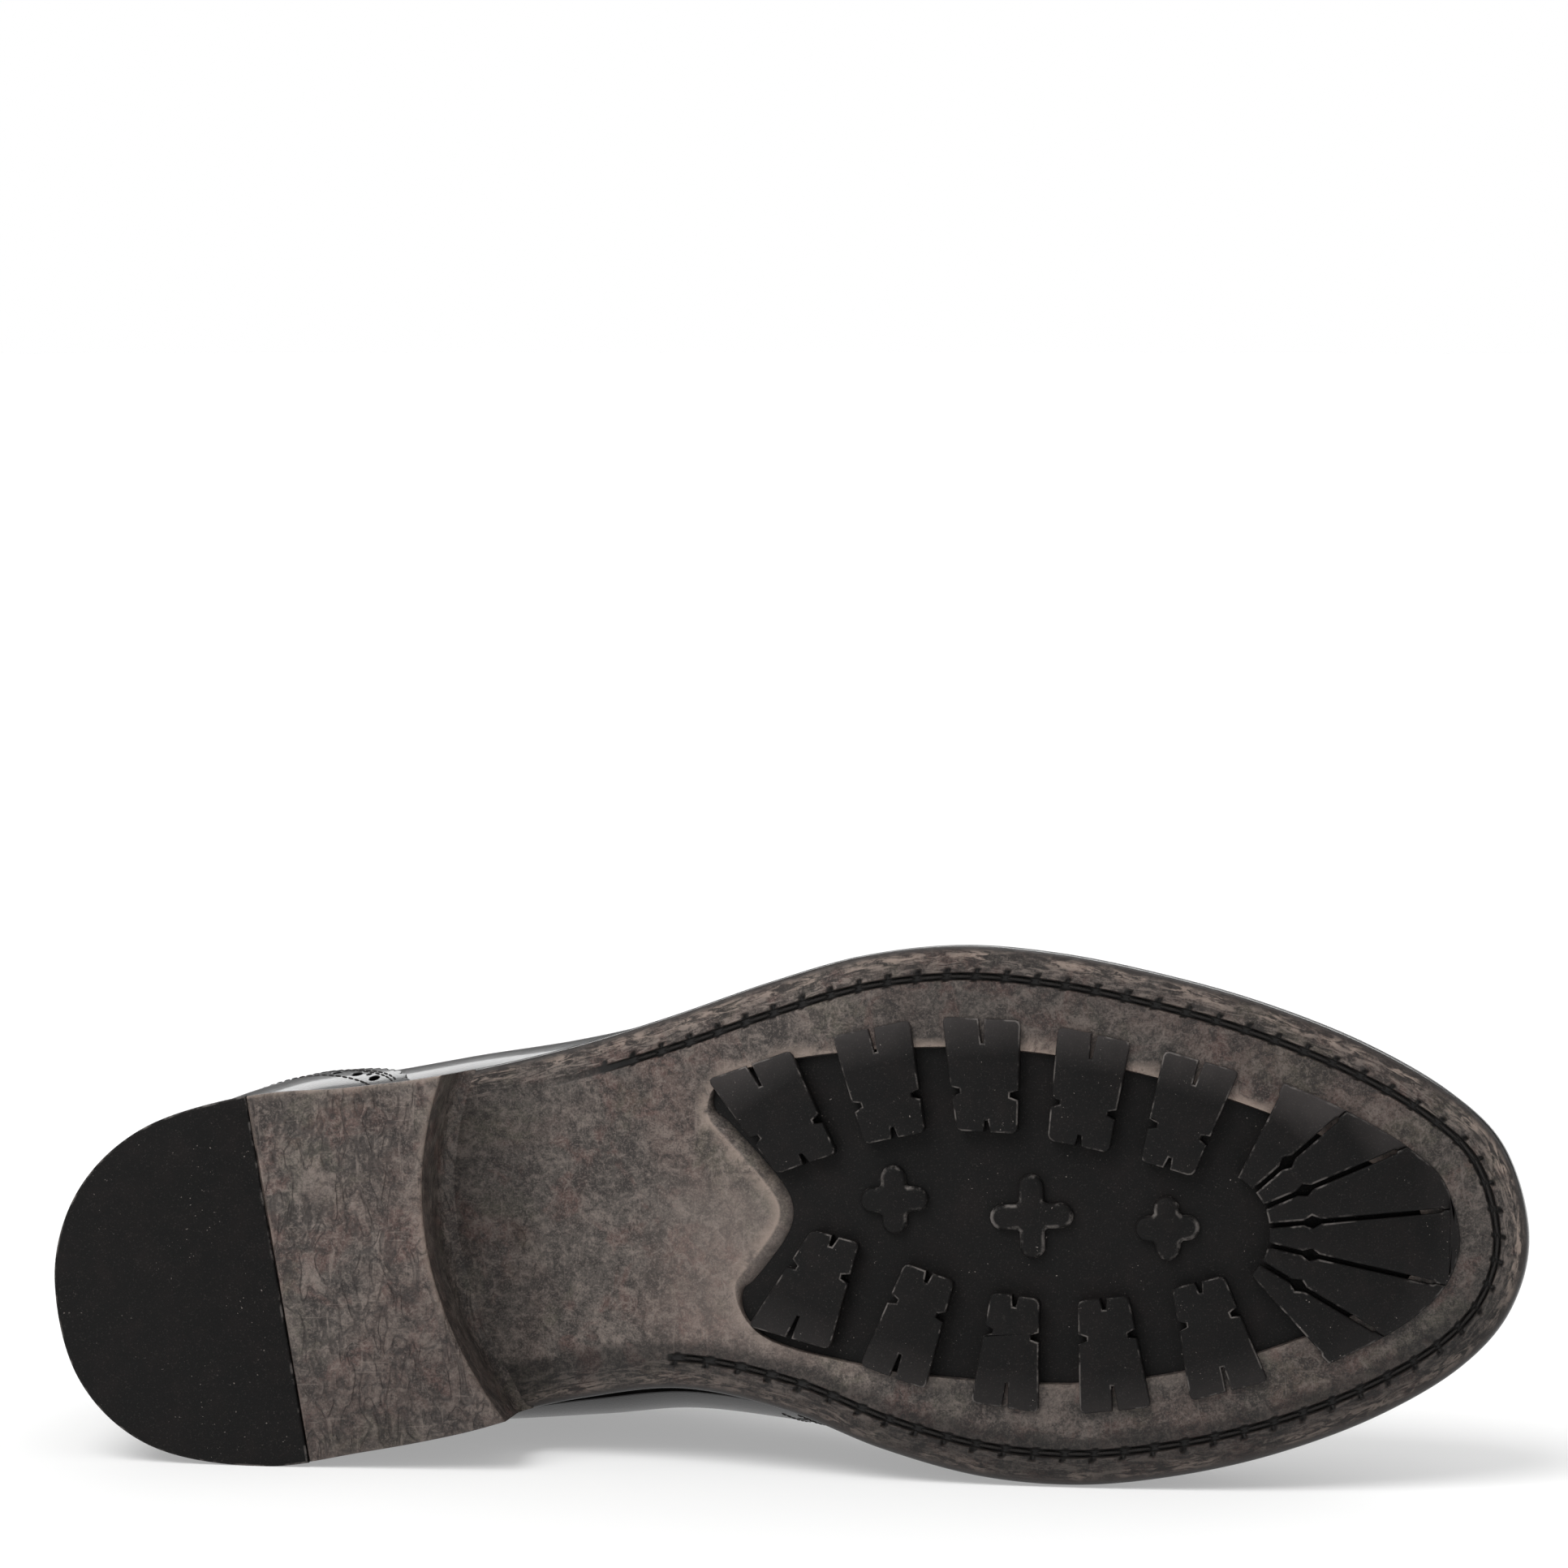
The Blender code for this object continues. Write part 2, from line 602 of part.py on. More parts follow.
def heel_outline(front, flare_share, spread=0.0):
    """Plan of the heel, from the back of the shoe to a front line, with a share of its flare."""
    sides = {}
    for side in (LATERAL, MEDIAL):
        sides[side] = []
        column = "lateral_flare" if side == LATERAL else "medial_flare"
        for u in stations(0, 6, 4):
            point = inset_edge(side, u, -spread - flare_share * even(SOLE_STATIONS, column, u))
            if point.x > front(-point.y) - 0.5:
                break
            sides[side].append(point)
    ends = []
    for side in (LATERAL, MEDIAL):
        last = sides[side][-1]
        ends.append(Vector((front(-last.y), last.y)))
    across = []
    for i in range(9):
        y = ends[1].y + (ends[0].y - ends[1].y) * i / 8
        across.append(Vector((front(-y), y)))
    return [*reversed(sides[LATERAL]), *sides[MEDIAL][1:], *across]


def tapered_block(name, outlines, heights, material_used):
    """Solid between outlines of the same number of points, each at its own height."""
    mesh_data = bmesh.new()
    loops = [[Vector((p.x, p.y, z)) for p in outline] for outline, z in zip(outlines, heights)]
    rings = add_grid(mesh_data, loops, closed=True)
    mesh_data.faces.new(rings[0])
    mesh_data.faces.new(rings[-1])
    return finish_mesh(name, mesh_data, material_used)


def build_heel(brown, rubber):
    """The heel block, and the rubber piece let into the back of its underside."""
    heights = (0.0, TOP_PIECE_THICKNESS, HEEL_HEIGHT - 2 * GAP)
    split = 1 - TOP_PIECE_THICKNESS / HEEL_HEIGHT
    outlines = [heel_outline(breast_x, share) for share in (1.0, split, 0.0)]
    block = tapered_block("heel_block", outlines, heights, brown)
    piece = [heel_outline(top_piece_front, share) for share in (1.0, split)]
    room = heel_outline(lambda lateral: top_piece_front(lateral) + GAP, 1.0, 4.0)
    cutter = tapered_block("top_piece_room", (room, room), (-5.0, TOP_PIECE_THICKNESS + GAP), brown)
    boolean(block, "DIFFERENCE", [helper(cutter)])
    return block, tapered_block("heel_top_piece", piece, (0.0, TOP_PIECE_THICKNESS), rubber)


def build_insole(leather):
    return laid_up("insole", insole_plan, ((0.0, SOLE_TOP), (0.0, SOLE_TOP + WELT_THICKNESS)), leather)


# The upper and what lies on it

def leather_shell(name, grids, low, high, material_used):
    """Closed piece of leather between two heights over the upper, from grids of places on its surface."""
    index, inner, outer, faces, uses = {}, [], [], [], {}

    def corner(place):
        key = tuple(round(value, 2) for value in wall(*place))
        if key not in index:
            index[key] = len(inner)
            inner.append(over_wall(*place, low))
            outer.append(over_wall(*place, high))
        return index[key]

    for grid in grids:
        for near, far in zip(grid, grid[1:]):
            for i in range(len(near) - 1):
                face = list(dict.fromkeys(corner(p) for p in (near[i], near[i + 1], far[i + 1], far[i])))
                if len(face) > 2:
                    faces.append(face)
    for face in faces:
        for edge in zip(face, face[1:] + face[:1]):
            uses.setdefault(frozenset(edge), []).append(edge)
    mesh_data = bmesh.new()
    inner_verts = [mesh_data.verts.new(point) for point in inner]
    outer_verts = [mesh_data.verts.new(point) for point in outer]
    for face in faces:
        mesh_data.faces.new([inner_verts[i] for i in face])
        mesh_data.faces.new([outer_verts[i] for i in face])
    for edges in uses.values():
        if len(edges) == 1:
            a, b = edges[0]
            mesh_data.faces.new((inner_verts[a], inner_verts[b], outer_verts[b], outer_verts[a]))
    return finish_mesh(name, mesh_data, material_used)


def even_shares(start, end, count):
    return [start + (end - start) * i / count for i in range(count + 1)]


def lattice_shares(top=1.0, foot=0.0):
    """Shares at which the wall is drawn, kept between the foot and the top of a piece."""
    return [max(foot, min(i / WALL_STEPS, top)) for i in range(WALL_STEPS + 1)]


def build_upper(leather):
    """One hollow wall from the welt to collar, throat and ridge, open underneath."""
    grids = []
    for side in (LATERAL, MEDIAL):
        grids.append([[(side, u, share) for share in lattice_shares()] for u in stations(0, LAST)])
    return leather_shell("upper", grids, -WALL, 0.0, leather)


def cap_back(share):
    """Station of the wing cap's back edge: a peak on the ridge, a valley beside it and a wing below."""
    if share > CAP_VALLEY_SHARE:
        climb = (share - CAP_VALLEY_SHARE) / (1 - CAP_VALLEY_SHARE)
        return CAP_VALLEY + (CAP_PEAK - CAP_VALLEY) * climb**CAP_PEAK_POWER
    climb = (share - CAP_WING_SHARE) / (CAP_VALLEY_SHARE - CAP_WING_SHARE)
    return CAP_WING + (CAP_VALLEY - CAP_WING) * smooth_step(climb)


def build_wing_cap(leather):
    """Toe cap with a peak on the vamp, whose wings run back along both sides."""
    grids = []
    for side in (LATERAL, MEDIAL):
        grid = []
        for share in lattice_shares(foot=OVERLAY_FOOT):
            back = cap_back(share)
            grid.append([(side, max(u, back), share) for u in stations(math.floor(CAP_WING), LAST)])
        grids.append(grid)
    return leather_shell("wing_cap", grids, OVERLAY_GAP, OVERLAY_GAP + OVERLAY, leather)


def quarter_front(share):
    """Station of the quarter's front edge at a share of the wall's height."""
    bow = math.sin(math.pi * share) * QUARTER_BELLY
    return QUARTER_FRONT_FOOT + (QUARTER_FRONT_TOP - QUARTER_FRONT_FOOT) * share + bow


def build_quarter(side, name, leather):
    """Quarter of one side, from the back seam to the edge of the throat."""
    grid = []
    for share in lattice_shares(foot=OVERLAY_FOOT):
        front = quarter_front(share)
        grid.append([(side, max(BACK_SEAM, min(u, front)), share) for u in stations(0, THROAT_END)])
    return leather_shell(name, [grid], OVERLAY_GAP, OVERLAY_GAP + OVERLAY, leather)


def build_counter(leather):
    """Counter round the heel, high at the back seam and falling forwards on both sides."""
    low = OVERLAY + 2 * OVERLAY_GAP
    grids = []
    for side in (LATERAL, MEDIAL):
        grid = []
        for share in lattice_shares(COUNTER_HEIGHT, OVERLAY_FOOT):
            fall = (1 - smooth_step(share / COUNTER_HEIGHT)) ** COUNTER_SWEEP
            reach = COUNTER_TOP + (COUNTER_FOOT - COUNTER_TOP) * fall
            grid.append([(side, min(u, reach), share) for u in stations(0, math.ceil(COUNTER_FOOT))])
        grids.append(grid)
    return leather_shell("heel_counter", grids, low, low + OVERLAY, leather)


def tongue_sheet(depth):
    """Rows of points across the tongue, at a depth under the outside of the upper."""
    rows = []
    for u in stations(7, 10.5):
        half = TONGUE_TOP_SHARE + (TONGUE_FOOT_SHARE - TONGUE_TOP_SHARE) * smooth_step(u - 7)
        shares = even_shares(1 - half, 1.0, 2)
        height = -depth - TONGUE_SINK * smooth_step(u - 8.5)
        lateral = [over_wall(LATERAL, u, share, height) for share in shares]
        medial = [over_wall(MEDIAL, u, share, height) for share in reversed(shares)]
        rows.append([*lateral, (lateral[-1] + medial[0]) / 2, *medial])
    climb = [(first - second).normalized() * TONGUE_RISE for first, second in zip(rows[0], rows[1])]
    top = [point + rise for point, rise in zip(rows[0], climb)]
    return [[Vector((point.x, point.y * 0.8, point.z)) for point in top], *rows]


def build_tongue(leather):
    """Tongue under the throat, from inside the vamp to above the collar."""
    mesh_data = bmesh.new()
    top = tongue_sheet(WALL + TONGUE_GAP)
    bottom = tongue_sheet(WALL + TONGUE_GAP + TONGUE_THICKNESS)
    add_grid(mesh_data, top)
    add_grid(mesh_data, bottom)
    add_grid(mesh_data, [rim(top), rim(bottom)], closed=True)
    return finish_mesh("tongue", mesh_data, leather)


# Lacing

def eyelet_place(side, u, height):
    return over_wall(side, u, 1 - EYELET_FROM_EDGE, height)


def build_eyelet(side, number, u, metal):
    """Ring pressed into the quarter at one lace hole."""
    bpy.ops.mesh.primitive_torus_add(
        major_segments=12,
        minor_segments=4,
        major_radius=EYELET_RADIUS * MM,
        minor_radius=EYELET_WIRE * MM,
    )
    ring = bpy.context.object
    ring.name = f"eyelet_{'lateral' if side == LATERAL else 'medial'}_{number}"
    ring.data.name = ring.name
    ring.data.materials.append(metal)
    seat = OVERLAY + 2 * OVERLAY_GAP + EYELET_WIRE
    normal = wall_normal(side, u, 1 - EYELET_FROM_EDGE)
    ring.rotation_euler = normal.to_track_quat("Z", "Y").to_euler()
    ring.location = eyelet_place(side, u, seat) * MM
    return ring


def lace_path(start_side, start_u, end_u):
    """Points of a lace that runs over both edges of the throat, from one eyelet to another."""
    height = OVERLAY + 3 * OVERLAY_GAP + 2 * EYELET_WIRE + LACE_RADIUS
    first = eyelet_place(start_side, start_u, height)
    last = eyelet_place(-start_side, end_u, height)
    edges = [
        over_wall(side, start_u + (end_u - start_u) * share, 1.0, height)
        for side, share in ((start_side, 0.25), (-start_side, 0.75))
    ]
    return [first, edges[0], (edges[0] + edges[1]) / 2 + Vector((0, 0, 0.6)), edges[1], last]


def tube(name, points, radius, material_used, sides=6):
    """Round cord along a few points."""
    mesh_data = bmesh.new()
    rings = []
    for i, point in enumerate(points):
        direction = (points[min(i + 1, len(points) - 1)] - points[max(i - 1, 0)]).normalized()
        turn = direction.to_track_quat("Z", "Y")
        angles = [2 * math.pi * k / sides for k in range(sides)]
        rings.append([point + turn @ Vector((math.cos(a), math.sin(a), 0)) * radius for a in angles])
    made = add_grid(mesh_data, rings, closed=True)
    mesh_data.faces.new(made[0])
    mesh_data.faces.new(made[-1])
    return finish_mesh(name, mesh_data, material_used)


def build_lace(cotton):
    """Crossed lacing, joined where it crosses, with a straight bar at the lowest eyelets."""
    low = EYELET_STATIONS[-1]
    bar = tube("lace", lace_path(LATERAL, low, low), LACE_RADIUS, cotton)
    crossings = []
    for number, (upper_u, lower_u) in enumerate(zip(EYELET_STATIONS, EYELET_STATIONS[1:])):
        for side in (LATERAL, MEDIAL):
            name = f"lace_crossing_{number}_{side}"
            crossings.append(helper(tube(name, lace_path(side, lower_u, upper_u), LACE_RADIUS, cotton)))
    boolean(bar, "UNION", crossings)
    return bar


# Laying the shoe down

def evaluated_points(made, graph):
    """Vertices and triangles of an object after its modifiers."""
    evaluated = made.evaluated_get(graph)
    mesh = evaluated.to_mesh()
    mesh.calc_loop_triangles()
    points = [made.matrix_world @ vertex.co for vertex in mesh.vertices]
    triangles = [tuple(triangle.vertices) for triangle in mesh.loop_triangles]
    evaluated.to_mesh_clear()
    return points, triangles


def centre_of_mass(parts, graph):
    """Centre of mass of all pieces, from their volumes and densities."""
    total, moment = 0.0, Vector()
    for made, density in parts:
        points, triangles = evaluated_points(made, graph)
        for a, b, c in triangles:
            volume = points[a].dot(points[b].cross(points[c])) / 6 * density
            total += volume
            moment += (points[a] + points[b] + points[c]) / 4 * volume
    return moment / total


def resting_normal(parts, graph):
    """Outward normal of the face of the shoe's hull, on its medial side, that its weight falls within."""
    centre = centre_of_mass(parts, graph)
    hull = bmesh.new()
    for made, _ in parts:
        for point in evaluated_points(made, graph)[0]:
            hull.verts.new(point)
    made = bmesh.ops.convex_hull(hull, input=hull.verts)
    inside = [item for item in made["geom_interior"] if isinstance(item, bmesh.types.BMVert)]
    bmesh.ops.delete(hull, geom=inside, context="VERTS")
    bmesh.ops.recalc_face_normals(hull, faces=hull.faces)
    bmesh.ops.dissolve_limit(hull, angle_limit=math.radians(0.3), verts=hull.verts, edges=hull.edges)
    best = None
    for face in hull.faces:
        normal = face.normal
        if normal.y < 0.6:
            continue
        corners = [vertex.co for vertex in face.verts]
        edges = zip(corners, corners[1:] + corners[:1])
        under_weight = all((far - near).cross(centre - near).dot(normal) > 0 for near, far in edges)
        if under_weight and (best is None or face.calc_area() > best.calc_area()):
            best = face
    normal = best.normal.copy()
    hull.free()
    return normal


def lay_down(root, parts):
    """Lays the shoe on its medial side, its box centred over the origin and its lowest point at 0."""
    bpy.context.view_layer.update()
    graph = bpy.context.evaluated_depsgraph_get()
    down = resting_normal(parts, graph)
    towards_toe = (Vector((1, 0, 0)) - down * down.x).normalized()
    back = down.cross(towards_toe)
    turn = Matrix((towards_toe, -back, -down)).to_4x4()
    points = [turn @ point for made, _ in parts for point in evaluated_points(made, graph)[0]]
    low = Vector([min(p[i] for p in points) for i in range(3)])
    high = Vector([max(p[i] for p in points) for i in range(3)])
    middle = (low + high) / 2
    root.matrix_world = Matrix.Translation((-middle.x, -middle.y, -low.z)) @ turn


def main():
    for old in list(bpy.data.objects):
        bpy.data.objects.remove(old)
    black_leather = material("black_leather", (0.012, 0.012, 0.013), 0.22)
    sole_brown = material("burnished_sole", (0.085, 0.072, 0.066), 0.55)
    black_rubber = material("black_rubber", (0.013, 0.013, 0.013), 0.6)
    dark_welt = material("dark_welt", (0.03, 0.027, 0.025), 0.45)
    lining = material("tan_lining", (0.32, 0.20, 0.11), 0.6)
    cotton = material("black_cotton", (0.012, 0.012, 0.012), 0.8)
    eyelet_metal = material("black_metal", (0.03, 0.03, 0.032), 0.35, 1.0)
    heel_block, top_piece = build_heel(sole_brown, black_rubber)
    parts = [
        (build_outsole(sole_brown), RUBBER_DENSITY),
        (build_tread(black_rubber), RUBBER_DENSITY),
        (heel_block, RUBBER_DENSITY),
        (top_piece, RUBBER_DENSITY),
        (build_welt(dark_welt), LEATHER_DENSITY),
        (build_insole(lining), LEATHER_DENSITY),
        (build_upper(black_leather), LEATHER_DENSITY),
        (build_quarter(LATERAL, "quarter_lateral", black_leather), LEATHER_DENSITY),
        (build_quarter(MEDIAL, "quarter_medial", black_leather), LEATHER_DENSITY),
        (build_wing_cap(black_leather), LEATHER_DENSITY),
        (build_counter(black_leather), LEATHER_DENSITY),
        (build_tongue(black_leather), LEATHER_DENSITY),
        (build_lace(cotton), LEATHER_DENSITY),
    ]
    for side in (LATERAL, MEDIAL):
        for number, u in enumerate(EYELET_STATIONS, 1):
            parts.append((build_eyelet(side, number, u, eyelet_metal), LEATHER_DENSITY))
    root = bpy.data.objects.new("right_shoe", None)
    bpy.context.scene.collection.objects.link(root)
    lay_down(root, parts)
    for made, _ in parts:
        made.parent = root
    for group in bpy.data.collections:
        for made in group.objects:
            if made.hide_render:
                made.parent = root


main()
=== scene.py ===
"""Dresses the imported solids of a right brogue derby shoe, which lies on its medial side.

Pieces are shaped on the standing shoe, in millimetres: x runs from the back of the heel to the toe, y points
to the medial side and z points up. The workshop then lays each piece where the solids lie.
"""

import json
import logging
import math
from dataclasses import dataclass, field
from enum import Enum
from typing import Any, Callable, NamedTuple, Sequence

import bpy
import numpy as np
from mathutils import Matrix, Vector
from mathutils.geometry import delaunay_2d_cdt


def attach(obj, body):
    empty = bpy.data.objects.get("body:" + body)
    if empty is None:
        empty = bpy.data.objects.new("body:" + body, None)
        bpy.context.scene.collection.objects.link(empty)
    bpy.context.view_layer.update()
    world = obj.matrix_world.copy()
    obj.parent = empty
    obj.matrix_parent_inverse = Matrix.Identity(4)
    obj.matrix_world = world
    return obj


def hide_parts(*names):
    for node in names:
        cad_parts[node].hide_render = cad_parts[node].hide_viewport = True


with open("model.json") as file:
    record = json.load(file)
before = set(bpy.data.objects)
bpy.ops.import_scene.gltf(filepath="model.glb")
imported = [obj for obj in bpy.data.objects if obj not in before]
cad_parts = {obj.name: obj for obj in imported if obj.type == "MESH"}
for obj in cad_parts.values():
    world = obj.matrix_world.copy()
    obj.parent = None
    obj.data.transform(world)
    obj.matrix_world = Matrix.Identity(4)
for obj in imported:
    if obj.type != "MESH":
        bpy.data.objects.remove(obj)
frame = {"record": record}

MM = 0.001
LATERAL, MEDIAL = -1.0, 1.0
SIDES = (LATERAL, MEDIAL)
Array = np.ndarray
Faces = list[Array]
Plane = tuple[Array, Array]
Profile = tuple[tuple[float, ...], ...]
log = logging.getLogger("brogue")

# The mount under the heel on the standing shoe, in metres, and the way from it to the one under the ball
HEEL_MOUNT = (0.025, -0.001, 0.0)
MOUNT_LENGTH, MOUNT_WIDTH = 169.0, -35.0
# Faces larger than this, in square metres, get no lightened edge, neither wear nor painted highlight
WIDE_FACE = 2.5e-6
# Share of the wall's height over which a crease fades at its ends
CREASE_FADE = 0.16


class Slot(Enum):
    """The record's material slots."""

    SOLE = "burnished_sole"
    RUBBER = "black_rubber"
    WELT = "dark_welt"
    LINING = "tan_lining"
    LEATHER = "black_leather"
    COTTON = "black_cotton"
    METAL = "black_metal"


class SoleStation(NamedTuple):
    """Half widths of the sole at one distance from the heel, and how far the heel flares below them."""

    x: float
    lateral: float
    medial: float
    lateral_flare: float = 0.0
    medial_flare: float = 0.0


class UpperStation(NamedTuple):
    """Form of the upper's two walls at one station."""

    lateral_margin: float
    medial_margin: float
    top_x: float
    top_half: float
    top_lean: float
    top_z: float
    rise: float
    lateral_swell: float
    medial_swell: float
    crown: float
    drop: float


SOLE_STATIONS = (
    SoleStation(0.6, 0, 0, 0.6, 0.6),
    SoleStation(6, 17.5, 19.2, 0.8, 2.0),
    SoleStation(20, 29.8, 31.4, 0.9, 3.2),
    SoleStation(42, 35.8, 35.7, 0.9, 3.5),
    SoleStation(63, 37.2, 34.6, 0.6, 2.4),
    SoleStation(84, 39.8, 32.4, 0.0, 1.2),
    SoleStation(106, 44, 28.4),
    SoleStation(128, 49.7, 26.5),
    SoleStation(150, 56.2, 31),
    SoleStation(170, 61, 39),
    SoleStation(190, 62.4, 45),
    SoleStation(210, 60, 47.2),
    SoleStation(230, 55.2, 45.8),
    SoleStation(250, 48.8, 41.9),
    SoleStation(270, 40, 35.2),
    SoleStation(287, 29.2, 26),
    SoleStation(297.5, 17.5, 14.8),
    SoleStation(301.6, 0, 0),
)

UPPER_STATIONS = (
    UpperStation(3.9, 3.9, 8, 0, 0, 92, 22, 4, 4, 2.5, 22),
    UpperStation(3.8, 4.6, 12, 12.5, 0, 91.5, 22, 4, 4, 2.5, 22),
    UpperStation(3.6, 5.4, 25, 23, 0, 89, 21, 6, 3.2, 2.5, 22),
    UpperStation(3.5, 6.2, 46, 28, 0, 83.5, 20, 9.5, 2.6, 2.5, 20),
    UpperStation(3.6, 4.2, 67, 29.8, -0.4, 80.5, 19, 11.5, 3.6, 3, 18),
    UpperStation(3, 2.4, 87, 27.5, 0.5, 84.5, 19, 12, 6.5, 5, 18),
    UpperStation(3, 0.8, 104, 20, 1, 94, 20, 10, 11, 11, 16),
    UpperStation(3.5, 0.5, 117, 9.5, 1.8, 102, 22, 8, 13, 20, 11),
    UpperStation(4.5, 1.5, 136, 8, 2.4, 91.5, 22, 7, 10.5, 25, 9),
    UpperStation(5.5, 4.2, 154, 6.5, 2.4, 81, 21, 5, 7, 28, 7),
    UpperStation(6, 6, 170, 0, 2.2, 71.5, 19, 4, 5, 30, 0),
    UpperStation(6, 6.5, 188, 0, 1.8, 63.5, 18, 3.5, 4, 30, 0),
    UpperStation(6, 6.5, 206, 0, 1.2, 57.5, 17, 3, 3, 28, 0),
    UpperStation(6, 6, 223, 0, 0.6, 53, 17, 3, 3, 25, 0),
    UpperStation(6, 6, 240, 0, 0.2, 49.5, 16.5, 2.5, 2.5, 21, 0),
    UpperStation(6, 6, 254, 0, 0, 46.5, 15.5, 2, 2, 17, 0),
    UpperStation(6, 6, 264, 0, 0, 44.2, 14.5, 1.5, 1.5, 14, 0),
    UpperStation(6, 6, 270, 0, 0, 42.6, 13.5, 1, 1, 12.5, 0),
)


class Crease(NamedTuple):
    """A soft trough, or a ridge where its depth is negative, that crosses the upper where the foot bends."""

    u: float
    lean: float
    depth: float
    width: float
    low_share: float
    high_share: float


CREASES = (
    Crease(11.35, 0.5, 0.34, 0.13, 0.46, 1.3),
    Crease(11.62, 0.55, -0.16, 0.12, 0.44, 1.3),
    Crease(11.9, 0.6, 0.30, 0.13, 0.40, 1.3),
    Crease(10.75, 0.2, 0.26, 0.15, 0.52, 1.3),
    Crease(12.2, 0.7, 0.18, 0.14, 0.30, 0.86),
    Crease(6.9, -1.6, 0.22, 0.30, 0.30, 0.72),
    Crease(3.3, 0.9, 0.20, 0.28, 0.52, 0.92),
)


def smooth_step(t: Array | float) -> Array:
    """Eases from 0 to 1 while t goes from 0 to 1."""
    t = np.clip(t, 0.0, 1.0)
    return t * t * (3 - 2 * t)


def unit(vectors: Array) -> Array:
    """Vectors of length 1 in the same directions."""
    return vectors / np.maximum(np.linalg.norm(vectors, axis=-1, keepdims=True), 1e-12)


def lengths(path: Array) -> Array:
    """Length of a line up to each of its points."""
    return np.concatenate([[0.0], np.cumsum(np.linalg.norm(np.diff(path, axis=0), axis=1))])


def sampled(at: Array, length: Array, path: Array) -> Array:
    """Points of a line at given lengths along it."""
    return np.column_stack([np.interp(at, length, path[:, k]) for k in range(path.shape[1])])


def through(a: Array, b: Array, c: Array, d: Array, t: Array) -> Array:
    """Smooth curve from b to c that comes from a and goes on to d."""
    return 0.5 * (2 * b + (c - a) * t + (2 * a - 5 * b + 4 * c - d) * t**2 + (3 * b - a - 3 * c + d) * t**3)


def note(mesh: bpy.types.Mesh, name: str, values: Array) -> None:
    """Notes a value on each point of a mesh, for its finish."""
    mesh.attributes.new(name, "FLOAT", "POINT").data.foreach_set("value", values)


def inside_outline(points: Array, outline: Array) -> Array:
    """Tells which points lie inside a closed outline.

    Args:
        points: Points in a plane, one per row.
        outline: Corners of the outline in order.

    Returns:
        One truth value per point.
    """
    inside = np.zeros(len(points), bool)
    for (ax, ay), (bx, by) in zip(outline, np.roll(outline, -1, axis=0)):
        spans = (points[:, 1] < ay) != (points[:, 1] < by)
        if by != ay:
            inside ^= spans & (points[:, 0] < ax + (points[:, 1] - ay) * (bx - ax) / (by - ay))
    return inside


def clear_of(points: Array, others: Array, distance: float) -> Array:
    """Tells which points keep a distance from all the others.

    Args:
        points: Points to test.
        others: Points to keep away from.
        distance: Least distance.

    Returns:
        A mask of the points.
    """
    keep = np.ones(len(points), bool)
    for start in range(0, len(others), 256):
        gaps = np.linalg.norm(points[:, None] - others[None, start : start + 256], axis=2)
        keep &= gaps.min(axis=1) > distance
    return keep


def evenly(loop: Array, count: int, closed: bool = True) -> Array:
    """Spaces points evenly along a line.

    Args:
        loop: Points of the line in order.
        count: Number of points wanted.
        closed: Whether the line returns to its start.

    Returns:
        The evenly spaced points.
    """
    path = np.vstack([loop, loop[:1]]) if closed else loop
    length = lengths(path)
    return sampled(np.linspace(0, length[-1], count, endpoint=not closed), length, path)


def softened(loop: Array, reach: int, rounds: int) -> Array:
    """Rounds the corners of a closed line by averaging each point with its neighbours.

    Args:
        loop: Points of the line, in order.
        reach: Number of neighbours on each side.
        rounds: Number of times.

    Returns:
        The softened line.
    """
    for _ in range(rounds):
        loop = np.mean([np.roll(loop, k, axis=0) for k in range(-reach, reach + 1)], axis=0)
    return loop


def loop_inwards(loop: Array) -> Array:
    """Directions that point into a closed outline in plan.

    Args:
        loop: Points of the outline, in order.

    Returns:
        A unit direction for each point.
    """
    tangent = unit(np.roll(loop, -1, axis=0) - np.roll(loop, 1, axis=0))
    left = np.column_stack([-tangent[:, 1], tangent[:, 0]])
    area = np.sum(loop[:, 0] * np.roll(loop[:, 1], -1) - np.roll(loop[:, 0], -1) * loop[:, 1])
    return left * np.sign(area)


def ring_faces(rows: int, count: int, start: int = 0) -> Array:
    """Faces between closed rows of points that follow each other in the mesh.

    Args:
        rows: Number of rows.
        count: Number of points in a row.
        start: Number of the first point.

    Returns:
        Quads as point numbers.
    """
    i, j = np.meshgrid(np.arange(rows - 1), np.arange(count), indexing="ij")
    near, far = start + i * count, start + (i + 1) * count
    following = (j + 1) % count
    return np.stack([near + j, near + following, far + following, far + j], axis=-1).reshape(-1, 4)


def fill(flat: Array, loops: Sequence[int], outline: Array) -> Array:
    """Triangles between points in a plane.

    Args:
        flat: The points; those of closed lines come first, line after line.
        loops: Number of points of each closed line.
        outline: Line that the triangles stay inside.

    Returns:
        Three point numbers per triangle.
    """
    edges, start = [], 0
    for count in loops:
        index = np.arange(start, start + count)
        edges += list(zip(index.tolist(), np.roll(index, -1).tolist()))
        start += count
    made = delaunay_2d_cdt([Vector(p) for p in flat.tolist()], edges, [], 0, 1e-5)
    source = np.array([ids[0] if ids else -1 for ids in made[3]])
    triangles = source[np.array(made[2])]
    triangles = triangles[(triangles >= 0).all(axis=1)]
    return triangles[inside_outline(flat[triangles].mean(axis=1), outline)]


